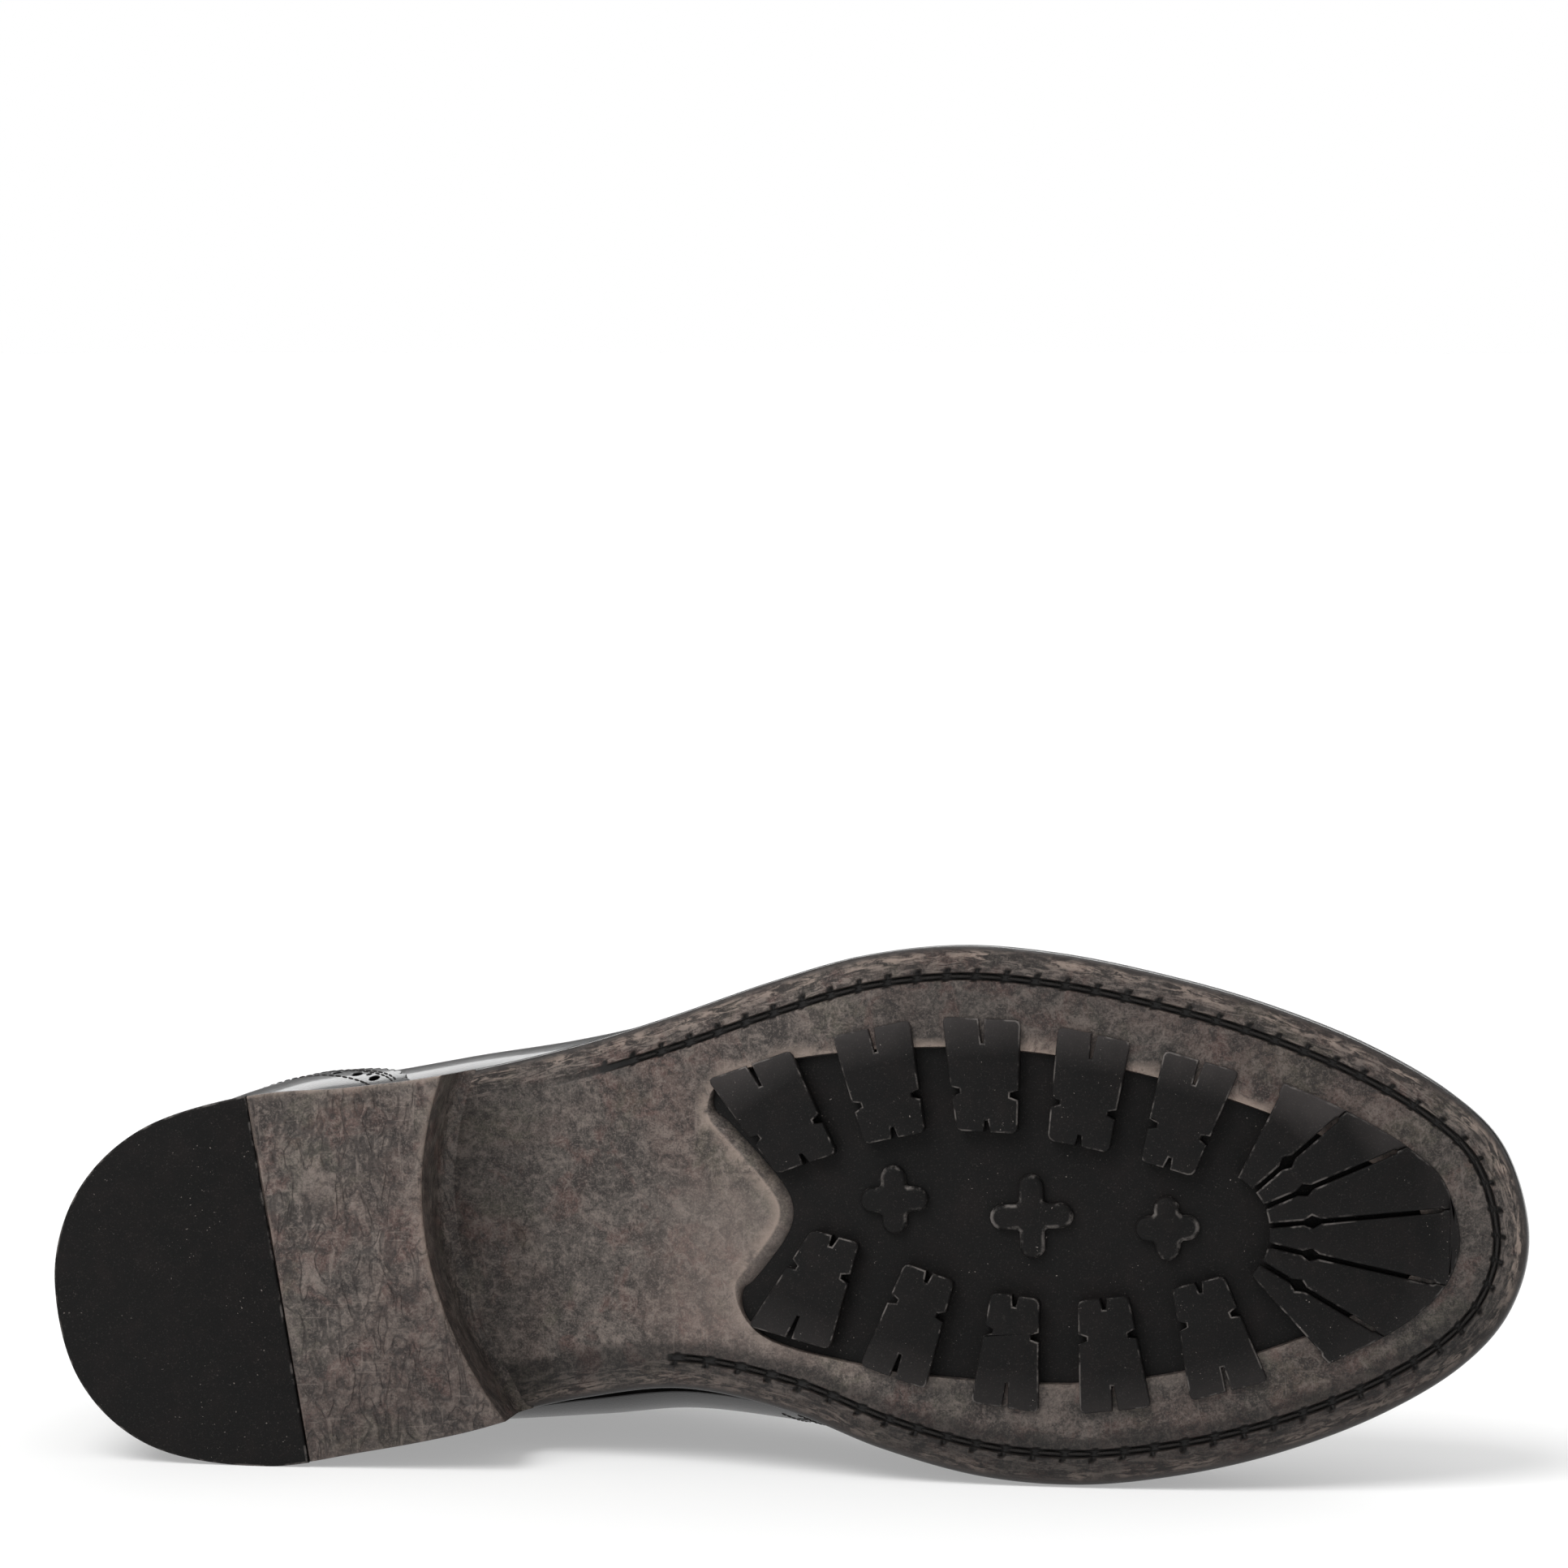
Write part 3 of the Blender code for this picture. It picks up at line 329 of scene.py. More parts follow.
@dataclass
class Places:
    """Places on the upper: a side, a station from heel to toe, and a share of the wall's height."""

    side: Array
    u: Array
    share: Array

    @classmethod
    def on(cls, side: Array | float, u: Array | float, share: Array | float) -> "Places":
        """Places from numbers or arrays that fit together."""
        parts = np.broadcast_arrays(*(np.asarray(value, float) for value in (side, u, share)))
        return cls(*(part.ravel().copy() for part in parts))

    @classmethod
    def joined(cls, parts: Sequence["Places"]) -> "Places":
        """Places of several groups, one group after the other."""
        columns = ([getattr(part, name) for part in parts] for name in ("side", "u", "share"))
        return cls(*(np.concatenate(column) for column in columns))

    def take(self, index: Array) -> "Places":
        """The places of an index or of a mask."""
        return Places(self.side[index], self.u[index], self.share[index])

    def __len__(self) -> int:
        """Number of places."""
        return len(self.u)


@dataclass(frozen=True)
class Last:
    """Form that the shoe is built on: curves through the stations, and the upper's own surface."""

    heel_height: float = 19.5
    lug_proud: float = 2.0
    toe_spring: float = 9.5
    waist_start: float = 85.0
    ball_start: float = 178.0
    ball_end: float = 226.0
    toe_tip: float = 301.6
    feather_height: float = 9.6
    throat_end: float = 10.0
    end: float = float(len(SOLE_STATIONS) - 1)
    columns: dict[str, Array] = field(
        default_factory=lambda: {
            name: np.array([getattr(station, name) for station in table], float)
            for table in (SOLE_STATIONS, UPPER_STATIONS)
            for name in table[0]._fields
        }
    )

    def spline(self, column: str, u: Array, before: float, after: float) -> Array:
        """Smooth curve through one column of the stations.

        Args:
            column: Name of the column.
            u: Stations to read it at.
            before: Value beyond the heel.
            after: Value beyond the toe.

        Returns:
            The column's values.
        """
        padded = np.concatenate([[before], self.columns[column], [after]])
        row = np.clip(np.floor(u).astype(int), 0, int(self.end) - 1)
        return through(*(padded[row + k] for k in range(4)), u - row)

    def even(self, column: str, u: Array) -> Array:
        """Column that is the same on both sides, so it mirrors at heel and toe."""
        values = self.columns[column]
        return self.spline(column, u, values[1], values[-2])

    def per_side(self, lateral: str, medial: str, side: Array, u: Array) -> Array:
        """Value of the column that belongs to each place's side."""
        return np.where(side < 0, self.even(lateral, u), self.even(medial, u))

    def fold(self, side: Array, u: Array) -> tuple[Array, Array]:
        """Carries stations beyond heel or toe on to the other side.

        Args:
            side: Sides of the shoe, -1 lateral and 1 medial.
            u: Stations along the shoe.

        Returns:
            Sides and stations on the shoe.
        """
        side = np.where((u < 0) | (u > self.end), -side, side)
        u = np.abs(u)
        return side, np.where(u > self.end, 2 * self.end - u, u)

    def around(self, t: Array) -> tuple[Array, Array]:
        """Sides and stations on a walk from the heel along the lateral side, round the toe and back."""
        return np.where(t <= self.end, LATERAL, MEDIAL), np.where(t <= self.end, t, 2 * self.end - t)

    def edge(self, side: Array, u: Array) -> Array:
        """Edge of the sole in plan.

        Args:
            side: Sides of the shoe, -1 lateral and 1 medial.
            u: Stations along the shoe.

        Returns:
            Points in plan, in millimetres.
        """
        side, u = self.fold(side, u)
        lateral, medial = self.columns["lateral"], self.columns["medial"]
        reach = np.where(
            side < 0,
            self.spline("lateral", u, -medial[1], -medial[-2]),
            self.spline("medial", u, -lateral[1], -lateral[-2]),
        )
        return np.stack([self.even("x", u), side * reach], axis=-1)

    def outward(self, side: Array, u: Array) -> Array:
        """Direction in plan that points straight out of the sole's edge.

        Args:
            side: Sides of the shoe, -1 lateral and 1 medial.
            u: Stations along the shoe.

        Returns:
            Unit directions in plan.
        """
        side, u = self.fold(side, u)
        run = self.edge(side, u + 0.01) - self.edge(side, u - 0.01)
        return unit(np.stack([-run[..., 1], run[..., 0]], axis=-1) * side[..., None])

    def inset(self, side: Array, u: Array, depth: Array | float) -> Array:
        """Point in plan at a distance inside the sole's edge."""
        side, u = (np.asarray(value, float) for value in np.broadcast_arrays(side, u))
        return self.edge(side, u) - self.outward(side, u) * np.asarray(depth)[..., None]

    def inset_at(self, side: float, x: float, depth: float) -> tuple[Array, Array]:
        """Point with a given x at a distance inside the sole's edge, and the outward direction there.

        Args:
            side: Side of the shoe, lateral or medial.
            x: Place along the shoe, in millimetres.
            depth: Distance from the edge, in millimetres.

        Returns:
            The point and the direction, in plan.
        """
        u = np.linspace(5, 15, 4001)
        where = np.full(len(u), side)
        station = np.interp(x, self.inset(where, u, depth)[:, 0], u)
        one, at = np.array([side]), np.array([station])
        return self.inset(one, at, depth)[0], self.outward(one, at)[0]

    def underside(self, x: Array) -> Array:
        """Height of the sole's underside: flat at heel and ball, rising in the waist and at the toe.

        Args:
            x: Places along the shoe, in millimetres.

        Returns:
            Heights, in millimetres.
        """
        waist = smooth_step((self.ball_start - x) / (self.ball_start - self.waist_start))
        spring = np.maximum(0.0, (x - self.ball_end) / (self.toe_tip - self.ball_end))
        return self.lug_proud + (self.heel_height - self.lug_proud) * waist + self.toe_spring * spring**2

    def on_sole(self, plan: Array, height: Array | float) -> Array:
        """Points in plan, set at a height over the sole's underside."""
        return np.concatenate([plan, (self.underside(plan[..., 0]) + height)[..., None]], axis=-1)

    def feather(self, side: Array, u: Array) -> Array:
        """Lower edge of the upper, on the welt."""
        margin = self.per_side("lateral_margin", "medial_margin", side, u)
        return self.on_sole(self.inset(side, u, margin), self.feather_height)

    def top_line(self, side: Array, u: Array) -> Array:
        """Upper edge of the wall: collar, throat, and then the ridge of the vamp.

        Args:
            side: Sides of the shoe, -1 lateral and 1 medial.
            u: Stations along the shoe.

        Returns:
            Points, in millimetres.
        """
        half = np.maximum(0.0, self.spline("top_half", u, -self.columns["top_half"][1], 0.0))
        half = np.where(u < self.throat_end, half, 0.0)
        y = side * half - self.even("top_lean", u)
        return np.stack([self.even("top_x", u), y, self.even("top_z", u)], axis=-1)

    def ridge_slope(self, u: Array) -> Array:
        """Slope of the vamp's ridge.

        Args:
            u: Stations along the shoe.

        Returns:
            Rise over run at each station.
        """
        near, far = np.maximum(0.0, u - 0.05), np.minimum(self.end, u + 0.05)
        climb = self.even("top_z", far) - self.even("top_z", near)
        return climb / (self.even("top_x", far) - self.even("top_x", near))

    def within(self, side: Array, u: Array, share: Array) -> tuple[Array, Array, Array]:
        """Brings places beyond the back seam, the toe or the ridge back on to the upper.

        Args:
            side: Sides of the shoe, -1 lateral and 1 medial.
            u: Stations along the shoe.
            share: Shares of the wall's height.

        Returns:
            Sides, stations and shares on the upper.
        """
        side, u = self.fold(side, u)
        over = (share > 1) & (u >= self.throat_end)
        share = np.where(over, 2 - share, np.clip(share, 0.0, 1.0))
        return np.where(over, -side, side), u, share

    def wall(self, side: Array, u: Array, share: Array) -> Array:
        """Points on the outside of the upper.

        Args:
            side: Side of each place.
            u: Station of each place.
            share: Share of the way from the welt to the top of the wall.

        Returns:
            One point per place.
        """
        side, u, share = self.within(side, u, share)
        foot, top = self.feather(side, u), self.top_line(side, u)
        out = self.outward(side, u)
        crown = self.even("crown", u)
        swell = self.per_side("lateral_swell", "medial_swell", side, u)
        ridge = -crown * out[..., 0] * self.ridge_slope(u)
        drop = np.where(u < self.throat_end, self.even("drop", u), ridge)
        lower = foot + np.concatenate([out * swell[..., None], self.even("rise", u)[..., None]], axis=-1)
        upper = top + np.concatenate([out * crown[..., None], -drop[..., None]], axis=-1)
        t = share[..., None]
        rest = 1 - t
        return foot * rest**3 + lower * 3 * rest**2 * t + upper * 3 * rest * t**2 + top * t**3

    def normal(self, side: Array, u: Array, share: Array) -> Array:
        """Directions straight out of the upper.

        Args:
            side: Sides of the shoe, -1 lateral and 1 medial.
            u: Stations along the shoe.
            share: Shares of the wall's height.

        Returns:
            Unit directions.
        """
        side, u, share = self.within(side, u, share)
        share = np.where(u > self.end - 0.05, np.minimum(share, 0.985), share)
        step = 0.02
        run = self.wall(side, u + step, share) - self.wall(side, u - step, share)
        climb = self.wall(side, u, share + step) - self.wall(side, u, share - step)
        return unit(np.cross(run, climb) * -side[..., None])

    def relief(self, side: Array, u: Array, share: Array) -> Array:
        """Height of the soft creases, in millimetres.

        Args:
            side: Sides of the shoe, -1 lateral and 1 medial.
            u: Stations along the shoe.
            share: Shares of the wall's height.

        Returns:
            Heights, below 0 in a crease.
        """
        side, u, share = self.within(side, u, share)
        height = np.zeros_like(u)
        for crease in CREASES:
            off = (u - crease.u - crease.lean * (1 - share)) / crease.width
            fade = smooth_step((share - crease.low_share) / CREASE_FADE)
            fade = fade * smooth_step((crease.high_share - share) / CREASE_FADE)
            height -= crease.depth * np.exp(-(off**2)) * fade
        return height

    def over(self, places: Places, height: Array | float) -> Array:
        """Points at a height over the creased outside of the upper.

        Args:
            places: Places on the upper.
            height: Heights over the creased surface, in millimetres.

        Returns:
            Points, in millimetres.
        """
        where = (places.side, places.u, places.share)
        lift = height + self.relief(*where)
        return self.wall(*where) + self.normal(*where) * np.asarray(lift)[..., None]

    def nearest(self, places: Places, targets: Array) -> Places:
        """Places whose points lie closest to targets.

        Args:
            places: Places to start from.
            targets: Points near the upper, one per place.

        Returns:
            The places found.
        """
        side, u, share = self.within(places.side, places.u, places.share)
        h = 1e-3
        for _ in range(5):
            off = targets - self.wall(side, u, share)
            run = (self.wall(side, u + h, share) - self.wall(side, u - h, share)) / (2 * h)
            low = np.minimum(share, 1 - h)
            climb = (self.wall(side, u, low + h) - self.wall(side, u, low - h)) / (2 * h)
            a, b, c = (np.sum(p * q, axis=1) for p, q in ((run, run), (run, climb), (climb, climb)))
            p, q = np.sum(run * off, axis=1), np.sum(climb * off, axis=1)
            det = np.maximum(a * c - b * b, 1e-9)
            u = u + np.clip((c * p - b * q) / det, -0.5, 0.5)
            share = share + np.clip((a * q - b * p) / det, -0.15, 0.15)
            side, u, share = self.within(side, u, share)
        return Places(side, u, share)

    def rings(self, centres: Places, radius: float, count: int) -> list[Places]:
        """Round holes on the upper.

        Args:
            centres: Middle of each hole.
            radius: Radius of the holes.
            count: Corners of each hole.

        Returns:
            The corners of each hole in order.
        """
        where = (centres.side, centres.u, centres.share)
        point, normal = self.wall(*where), self.normal(*where)
        first = unit(np.cross(normal, np.array([0.31, 0.17, 0.93])))
        second = np.cross(normal, first)
        angle = np.arange(count) * 2 * math.pi / count
        turn = np.cos(angle)[None, :, None] * first[:, None] + np.sin(angle)[None, :, None] * second[:, None]
        targets = (point[:, None] + radius * turn).reshape(-1, 3)
        found = self.nearest(Places(*(np.repeat(value, count) for value in where)), targets)
        return [found.take(slice(i * count, (i + 1) * count)) for i in range(len(centres))]


class EdgeLine:
    """Line on the upper along the edge of a piece of leather, measured by its length."""

    def __init__(self, last: Last, path: Places, towards: Array) -> None:
        """Measures a line.

        Args:
            last: Form of the shoe.
            path: Places along the line; shares over 1 carry on to the other side.
            towards: Point that lies on the inner side of the middle of the line.
        """
        self.last, self.path = last, path
        where = self.folded(path)
        self.points = last.wall(where.side, where.u, where.share)
        self.length = lengths(self.points)
        tangent = unit(np.gradient(self.points, axis=0))
        self.inward = unit(np.cross(last.normal(where.side, where.u, where.share), tangent))
        middle = len(path) // 2
        if np.dot(self.inward[middle], towards - self.points[middle]) < 0:
            self.inward = -self.inward

    @staticmethod
    def folded(path: Places) -> Places:
        """Places with shares over 1 carried on to the other side.

        Args:
            path: Places of the line.

        Returns:
            The places, with shares of at most 1.
        """
        over = path.share > 1
        side = np.where(over, -path.side, path.side)
        return Places(side, path.u, np.where(over, 2 - path.share, path.share))

    def along(self, at: Array, depth: Array | float) -> Places:
        """Places at distances along the line and inwards from it.

        Args:
            at: Distances along the line, in millimetres.
            depth: Distances inwards, below 0 outwards.

        Returns:
            Places on the upper.
        """
        path = self.path
        u, share, side = (np.interp(at, self.length, values) for values in (path.u, path.share, path.side))
        base = sampled(at, self.length, self.points)
        inward = unit(sampled(at, self.length, self.inward))
        start = self.folded(Places(side, u, share))
        return self.last.nearest(start, base + inward * np.broadcast_to(depth, at.shape)[:, None])

    def gimped(self, pitch: float, depth: float) -> Places:
        """Zigzag along the line, with its tips outside it.

        Args:
            pitch: Width of a tooth, in millimetres.
            depth: Height of a tooth.

        Returns:
            Places of the zigzag.
        """
        teeth = max(2, round(self.length[-1] / pitch))
        at = np.linspace(0, self.length[-1], 4 * teeth + 1)
        swing = np.tile([0.0, 0.75, 1.0, 0.75], teeth + 1)[: len(at)]
        return self.along(at, -depth * swing)

    def spaced(self, pitch: float, start: float, end: float, depth: float, phase: float = 0.0) -> Places:
        """Evenly spaced places along a part of the line.

        Args:
            pitch: Distance between two places.
            start: Length left free at the start.
            end: Length left free at the end.
            depth: Distance inwards from the line.
            phase: Share of a pitch by which the places are moved on.

        Returns:
            The places.
        """
        span = self.length[-1] - start - end
        count = max(1, round(span / pitch))
        at = start + (np.arange(count + (phase == 0.0)) + phase) * span / count
        return self.along(at, depth)

    def seam(self, pitch: float, start: float, end: float, depth: float) -> tuple[Places, Places]:
        """Both ends of each stitch along a part of the line.

        Args:
            pitch: Length of a stitch with its gap, in millimetres.
            start: Distance left free at the line's start.
            end: Distance left free at its end.
            depth: Distance inwards from the line.

        Returns:
            Places of the first and of the second ends.
        """
        span = self.length[-1] - start - end
        at = start + np.arange(0, span - pitch, pitch)
        return self.along(at + 0.14 * pitch, depth), self.along(at + 0.86 * pitch, depth)


@dataclass
class Cutting:
    """Plan of a piece of leather: its outline, its punched holes and the places between them."""

    outline: Places
    holes: list[Places]
    filler: Places
    flat: Callable[[Places], Array]
    room: float = 0.75

    def fitting(self) -> list[Places]:
        """Holes that touch neither each other nor the outline.

        Returns:
            The holes that are kept, in their order.
        """
        outline = self.flat(self.outline)
        kept, middles, sizes = [], np.empty((0, 2)), np.empty(0)
        for hole in self.holes:
            ring = self.flat(hole)
            middle = ring.mean(axis=0)
            size = np.linalg.norm(ring - middle, axis=1).max()
            apart = np.all(np.linalg.norm(middles - middle, axis=1) > sizes + size + 0.55)
            clear = clear_of(middle[None], outline, size + 0.8)[0]
            if apart and clear and inside_outline(ring, outline).all():
                kept.append(hole)
                middles, sizes = np.vstack([middles, middle]), np.append(sizes, size)
        return kept

    def sheet(self) -> tuple[Places, Array]:
        """Fills the outline with triangles, around the holes.

        Returns:
            The places, and the triangles between them.
        """
        rings = [self.outline, *self.fitting()]
        outline = self.flat(self.outline)
        borders = np.vstack([self.flat(ring) for ring in rings])
        filler = self.flat(self.filler)
        keep = inside_outline(filler, outline) & clear_of(filler, borders, self.room)
        for hole in rings[1:]:
            ring = self.flat(hole)
            middle = ring.mean(axis=0)
            reach = np.linalg.norm(ring - middle, axis=1).max() + 0.4
            keep &= np.linalg.norm(filler - middle, axis=1) > reach
        places = Places.joined([*rings, self.filler.take(keep)])
        flat = np.vstack([borders, filler[keep]])
        owner = np.full(len(flat), -1)
        owner[: len(borders)] = np.repeat(np.arange(len(rings)), [len(ring) for ring in rings])
        triangles = fill(flat, [len(ring) for ring in rings], outline)
        own = owner[triangles]
        in_hole = (own[:, 0] > 0) & (own[:, 0] == own[:, 1]) & (own[:, 0] == own[:, 2])
        used, triangles = np.unique(triangles[~in_hole], return_inverse=True)
        return places.take(used), triangles.reshape(-1, 3)


class Shape(NamedTuple):
    """Points, faces and, where they are known, corner normals of a mesh."""

    points: Array
    faces: Faces
    normals: Array | None = None


def facing_out(shape: Shape) -> Shape:
    """Shape whose faces point outwards, judged by its volume.

    Args:
        shape: Closed shape.

    Returns:
        The shape, or one with its faces turned.
    """
    volume = 0.0
    for group in shape.faces:
        corners = shape.points[group]
        for k in range(1, group.shape[1] - 1):
            volume += np.sum(corners[:, 0] * np.cross(corners[:, k], corners[:, k + 1]))
    return shape if volume > 0 else Shape(shape.points, [group[:, ::-1] for group in shape.faces])


def slab(top: Array, low: Array) -> Shape:
    """Closed sheet between two grids of points.

    Args:
        top: Points of the upper face.
        low: Points of the lower face.

    Returns:
        The closed shape.
    """
    grid = np.arange(top.shape[0] * top.shape[1]).reshape(top.shape[:2])
    quads = np.stack([grid[:-1, :-1], grid[:-1, 1:], grid[1:, 1:], grid[1:, :-1]], axis=-1).reshape(-1, 4)
    rim = np.concatenate([grid[0, :-1], grid[:-1, -1], grid[-1, :0:-1], grid[:0:-1, 0]])
    total, following = grid.size, np.roll(rim, -1)
    wall = np.column_stack([following, rim, total + rim, total + following])
    points = np.concatenate([top.reshape(-1, 3), low.reshape(-1, 3)])
    return facing_out(Shape(points, [quads, total + quads[:, ::-1], wall]))


def tube(rows: Array) -> Shape:
    """Closed cord through rings of points.

    Args:
        rows: Rings of points along the cord.

    Returns:
        The closed shape.
    """
    count, sides = rows.shape[:2]
    ends = [np.arange(sides)[None, ::-1], ((count - 1) * sides + np.arange(sides))[None, :]]
    return facing_out(Shape(rows.reshape(-1, 3), [ring_faces(count, sides), *ends]))


def shell(last: Last, places: Places, faces: Array, low: float, high: float, round_off: float) -> Shape:
    """Closed piece of leather between two heights over the upper, with a rounded top edge.

    Args:
        last: Form of the shoe.
        places: Places of its corners.
        faces: Triangles or quads between them.
        low: Height of the underside.
        high: Height of the top.
        round_off: Size of the rounding.

    Returns:
        The closed shape.
    """
    normal = last.normal(places.side, places.u, places.share)
    top, bottom = last.over(places, high), last.over(places, low)
    corners = top[faces]
    facing = np.cross(corners[:, 1] - corners[:, 0], corners[:, 2] - corners[:, 0])
    turned = np.sum(facing * normal[faces[:, 0]], axis=1) < 0
    faces = np.where(turned[:, None], faces[:, ::-1], faces)
    starts, ends = faces.ravel(), np.roll(faces, -1, axis=1).ravel()
    count = len(top)
    lone = ~np.isin(starts * count + ends, ends * count + starts)
    a, b = starts[lone], ends[lone]
    out = np.zeros_like(top)
    away = unit(np.cross(top[b] - top[a], normal[a] + normal[b]))
    np.add.at(out, a, away)
    np.add.at(out, b, away)
    rim = np.unique(np.concatenate([a, b]))
    out = unit(out)
    place = np.zeros(count, int)
    place[rim] = np.arange(len(rim))
    edge = top[rim] - normal[rim] * round_off
    top = top.copy()
    top[rim] -= out[rim] * round_off
    points = np.vstack([top, edge, bottom])
    ma, mb = count + place[a], count + place[b]
    base = count + len(rim)
    bevel = np.column_stack([b, a, ma, mb])
    side = np.column_stack([mb, ma, base + a, base + b])
    normals = [
        normal[faces].reshape(-1, 3),
        np.stack([normal[b], normal[a], out[a], out[b]], axis=1).reshape(-1, 3),
        np.stack([out[b], out[a], out[a], out[b]], axis=1).reshape(-1, 3),
        -normal[faces[:, ::-1]].reshape(-1, 3),
    ]
    return Shape(points, [faces, bevel, side, base + faces[:, ::-1]], np.vstack(normals))


class Workshop:
    """Makes the pieces, lays them where the solids lie and hands them to the frame."""

    def __init__(self, record: dict[str, Any]) -> None:
        """Finds how the shoe lies from its two mounts, under the heel and under the ball.

        Args:
            record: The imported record.
        """
        mounts = {mount["name"]: mount for mount in record["mounts"]}
        heel, ball = (np.array(mounts[name]["pos_m"]) for name in ("heel_face", "tread_face"))
        up = -np.array(mounts["heel_face"]["axis"])
        run = ball - heel
        across = np.cross(up, run)
        forward = unit(MOUNT_LENGTH * run - MOUNT_WIDTH * across)
        medial = unit(MOUNT_WIDTH * run + MOUNT_LENGTH * across)
        self.turn = np.column_stack([forward, medial, up])
        self.laid = Matrix(self.turn.tolist()).to_4x4()
        self.laid.translation = Vector(heel - self.turn @ np.array(HEEL_MOUNT))

    def lay(self, mesh: bpy.types.Mesh, normals: Array | None = None, angle: float = 40.0) -> None:
        """Notes where each point lies on the standing shoe, lays the mesh down and shades it.

        Args:
            mesh: Standing mesh, in metres.
            normals: Normals of its corners, where they are known.
            angle: Angle in degrees from which an edge is sharp, where they aren't.
        """
        points = np.empty(len(mesh.vertices) * 3)
        mesh.vertices.foreach_get("co", points)
        mark = mesh.attributes.new("shoe", "FLOAT_VECTOR", "POINT")
        mark.data.foreach_set("vector", points / MM)
        mesh.transform(self.laid)
        mesh.shade_smooth()
        if normals is None:
            mesh.set_sharp_from_angle(angle=math.radians(angle))
        else:
            mesh.normals_split_custom_set((normals @ self.turn.T).tolist())

    def piece(
        self, name: str, shape: Shape, marks: dict[str, Array] | None = None, angle: float = 40.0
    ) -> bpy.types.Object:
        """Object from a shape on the standing shoe.

        Args:
            name: Name of the piece.
            shape: Its points, in millimetres, and its faces.
            marks: Further values per point, for its finish.
            angle: Angle in degrees from which an edge is sharp.

        Returns:
            The object, laid down.
        """
        mesh = bpy.data.meshes.new(name)
        corners = np.concatenate([group.ravel() for group in shape.faces])
        sizes = np.concatenate([np.full(len(group), group.shape[1]) for group in shape.faces])
        mesh.vertices.add(len(shape.points))
        mesh.vertices.foreach_set("co", (shape.points * MM).ravel())
        mesh.loops.add(len(corners))
        mesh.loops.foreach_set("vertex_index", corners)
        mesh.polygons.add(len(sizes))
        mesh.polygons.foreach_set("loop_start", np.concatenate([[0], np.cumsum(sizes)[:-1]]))
        mesh.update(calc_edges=True)
        changed = mesh.validate()
        for label, values in (marks or {}).items():
            note(mesh, label, values)
        self.lay(mesh, None if changed else shape.normals, angle)
        made = bpy.data.objects.new(name, mesh)
        bpy.context.scene.collection.objects.link(made)
        return made

    def repeated(self, name: str, pattern: Shape, origin: Array, along: Array, up: Array) -> bpy.types.Object:
        """Many copies of a small shape as one piece.

        Args:
            name: Name of the piece.
            pattern: The small shape, with x along it and z out of the surface.
            origin: Middle of each copy.
            along: Direction of each copy.
            up: Direction out of the surface at each copy.

        Returns:
            The object, laid down.
        """
        x = unit(along)
        z = unit(up - np.sum(up * x, axis=1, keepdims=True) * x)
        turn = np.stack([x, np.cross(z, x), z], axis=1)
        points = (origin[:, None] + np.einsum("pk,nkc->npc", pattern.points, turn)).reshape(-1, 3)
        step = (np.arange(len(origin)) * len(pattern.points))[:, None, None]
        faces = [(group[None] + step).reshape(-1, group.shape[1]) for group in pattern.faces]
        return self.piece(name, Shape(points, faces), angle=75)

    def joined(self, name: str, pieces: Sequence[bpy.types.Object]) -> bpy.types.Object:
        """Several objects as one.

        Args:
            name: Name of the joined object.
            pieces: Objects that become one.

        Returns:
            The joined object.
        """
        bpy.ops.object.select_all(action="DESELECT")
        for made in pieces:
            made.select_set(True)
        bpy.context.view_layer.objects.active = pieces[0]
        if len(pieces) > 1:
            bpy.ops.object.join()
        made = bpy.context.view_layer.objects.active
        made.name = made.data.name = name
        return made

    def dress(self, made: bpy.types.Object, finish: bpy.types.Material, slot: Slot, *nodes: str) -> None:
        """Gives a piece its finish and its place in the frame.

        Args:
            made: The finished piece.
            finish: Its material.
            slot: The record's slot that the finish belongs to; not used.
            nodes: Solids that the piece stands for.
        """
        made.data.materials.clear()
        made.data.materials.append(finish)
        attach(made, "root")
        if nodes:
            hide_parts(*nodes)
        log.info("%s: %d faces", made.name, len(made.data.polygons))


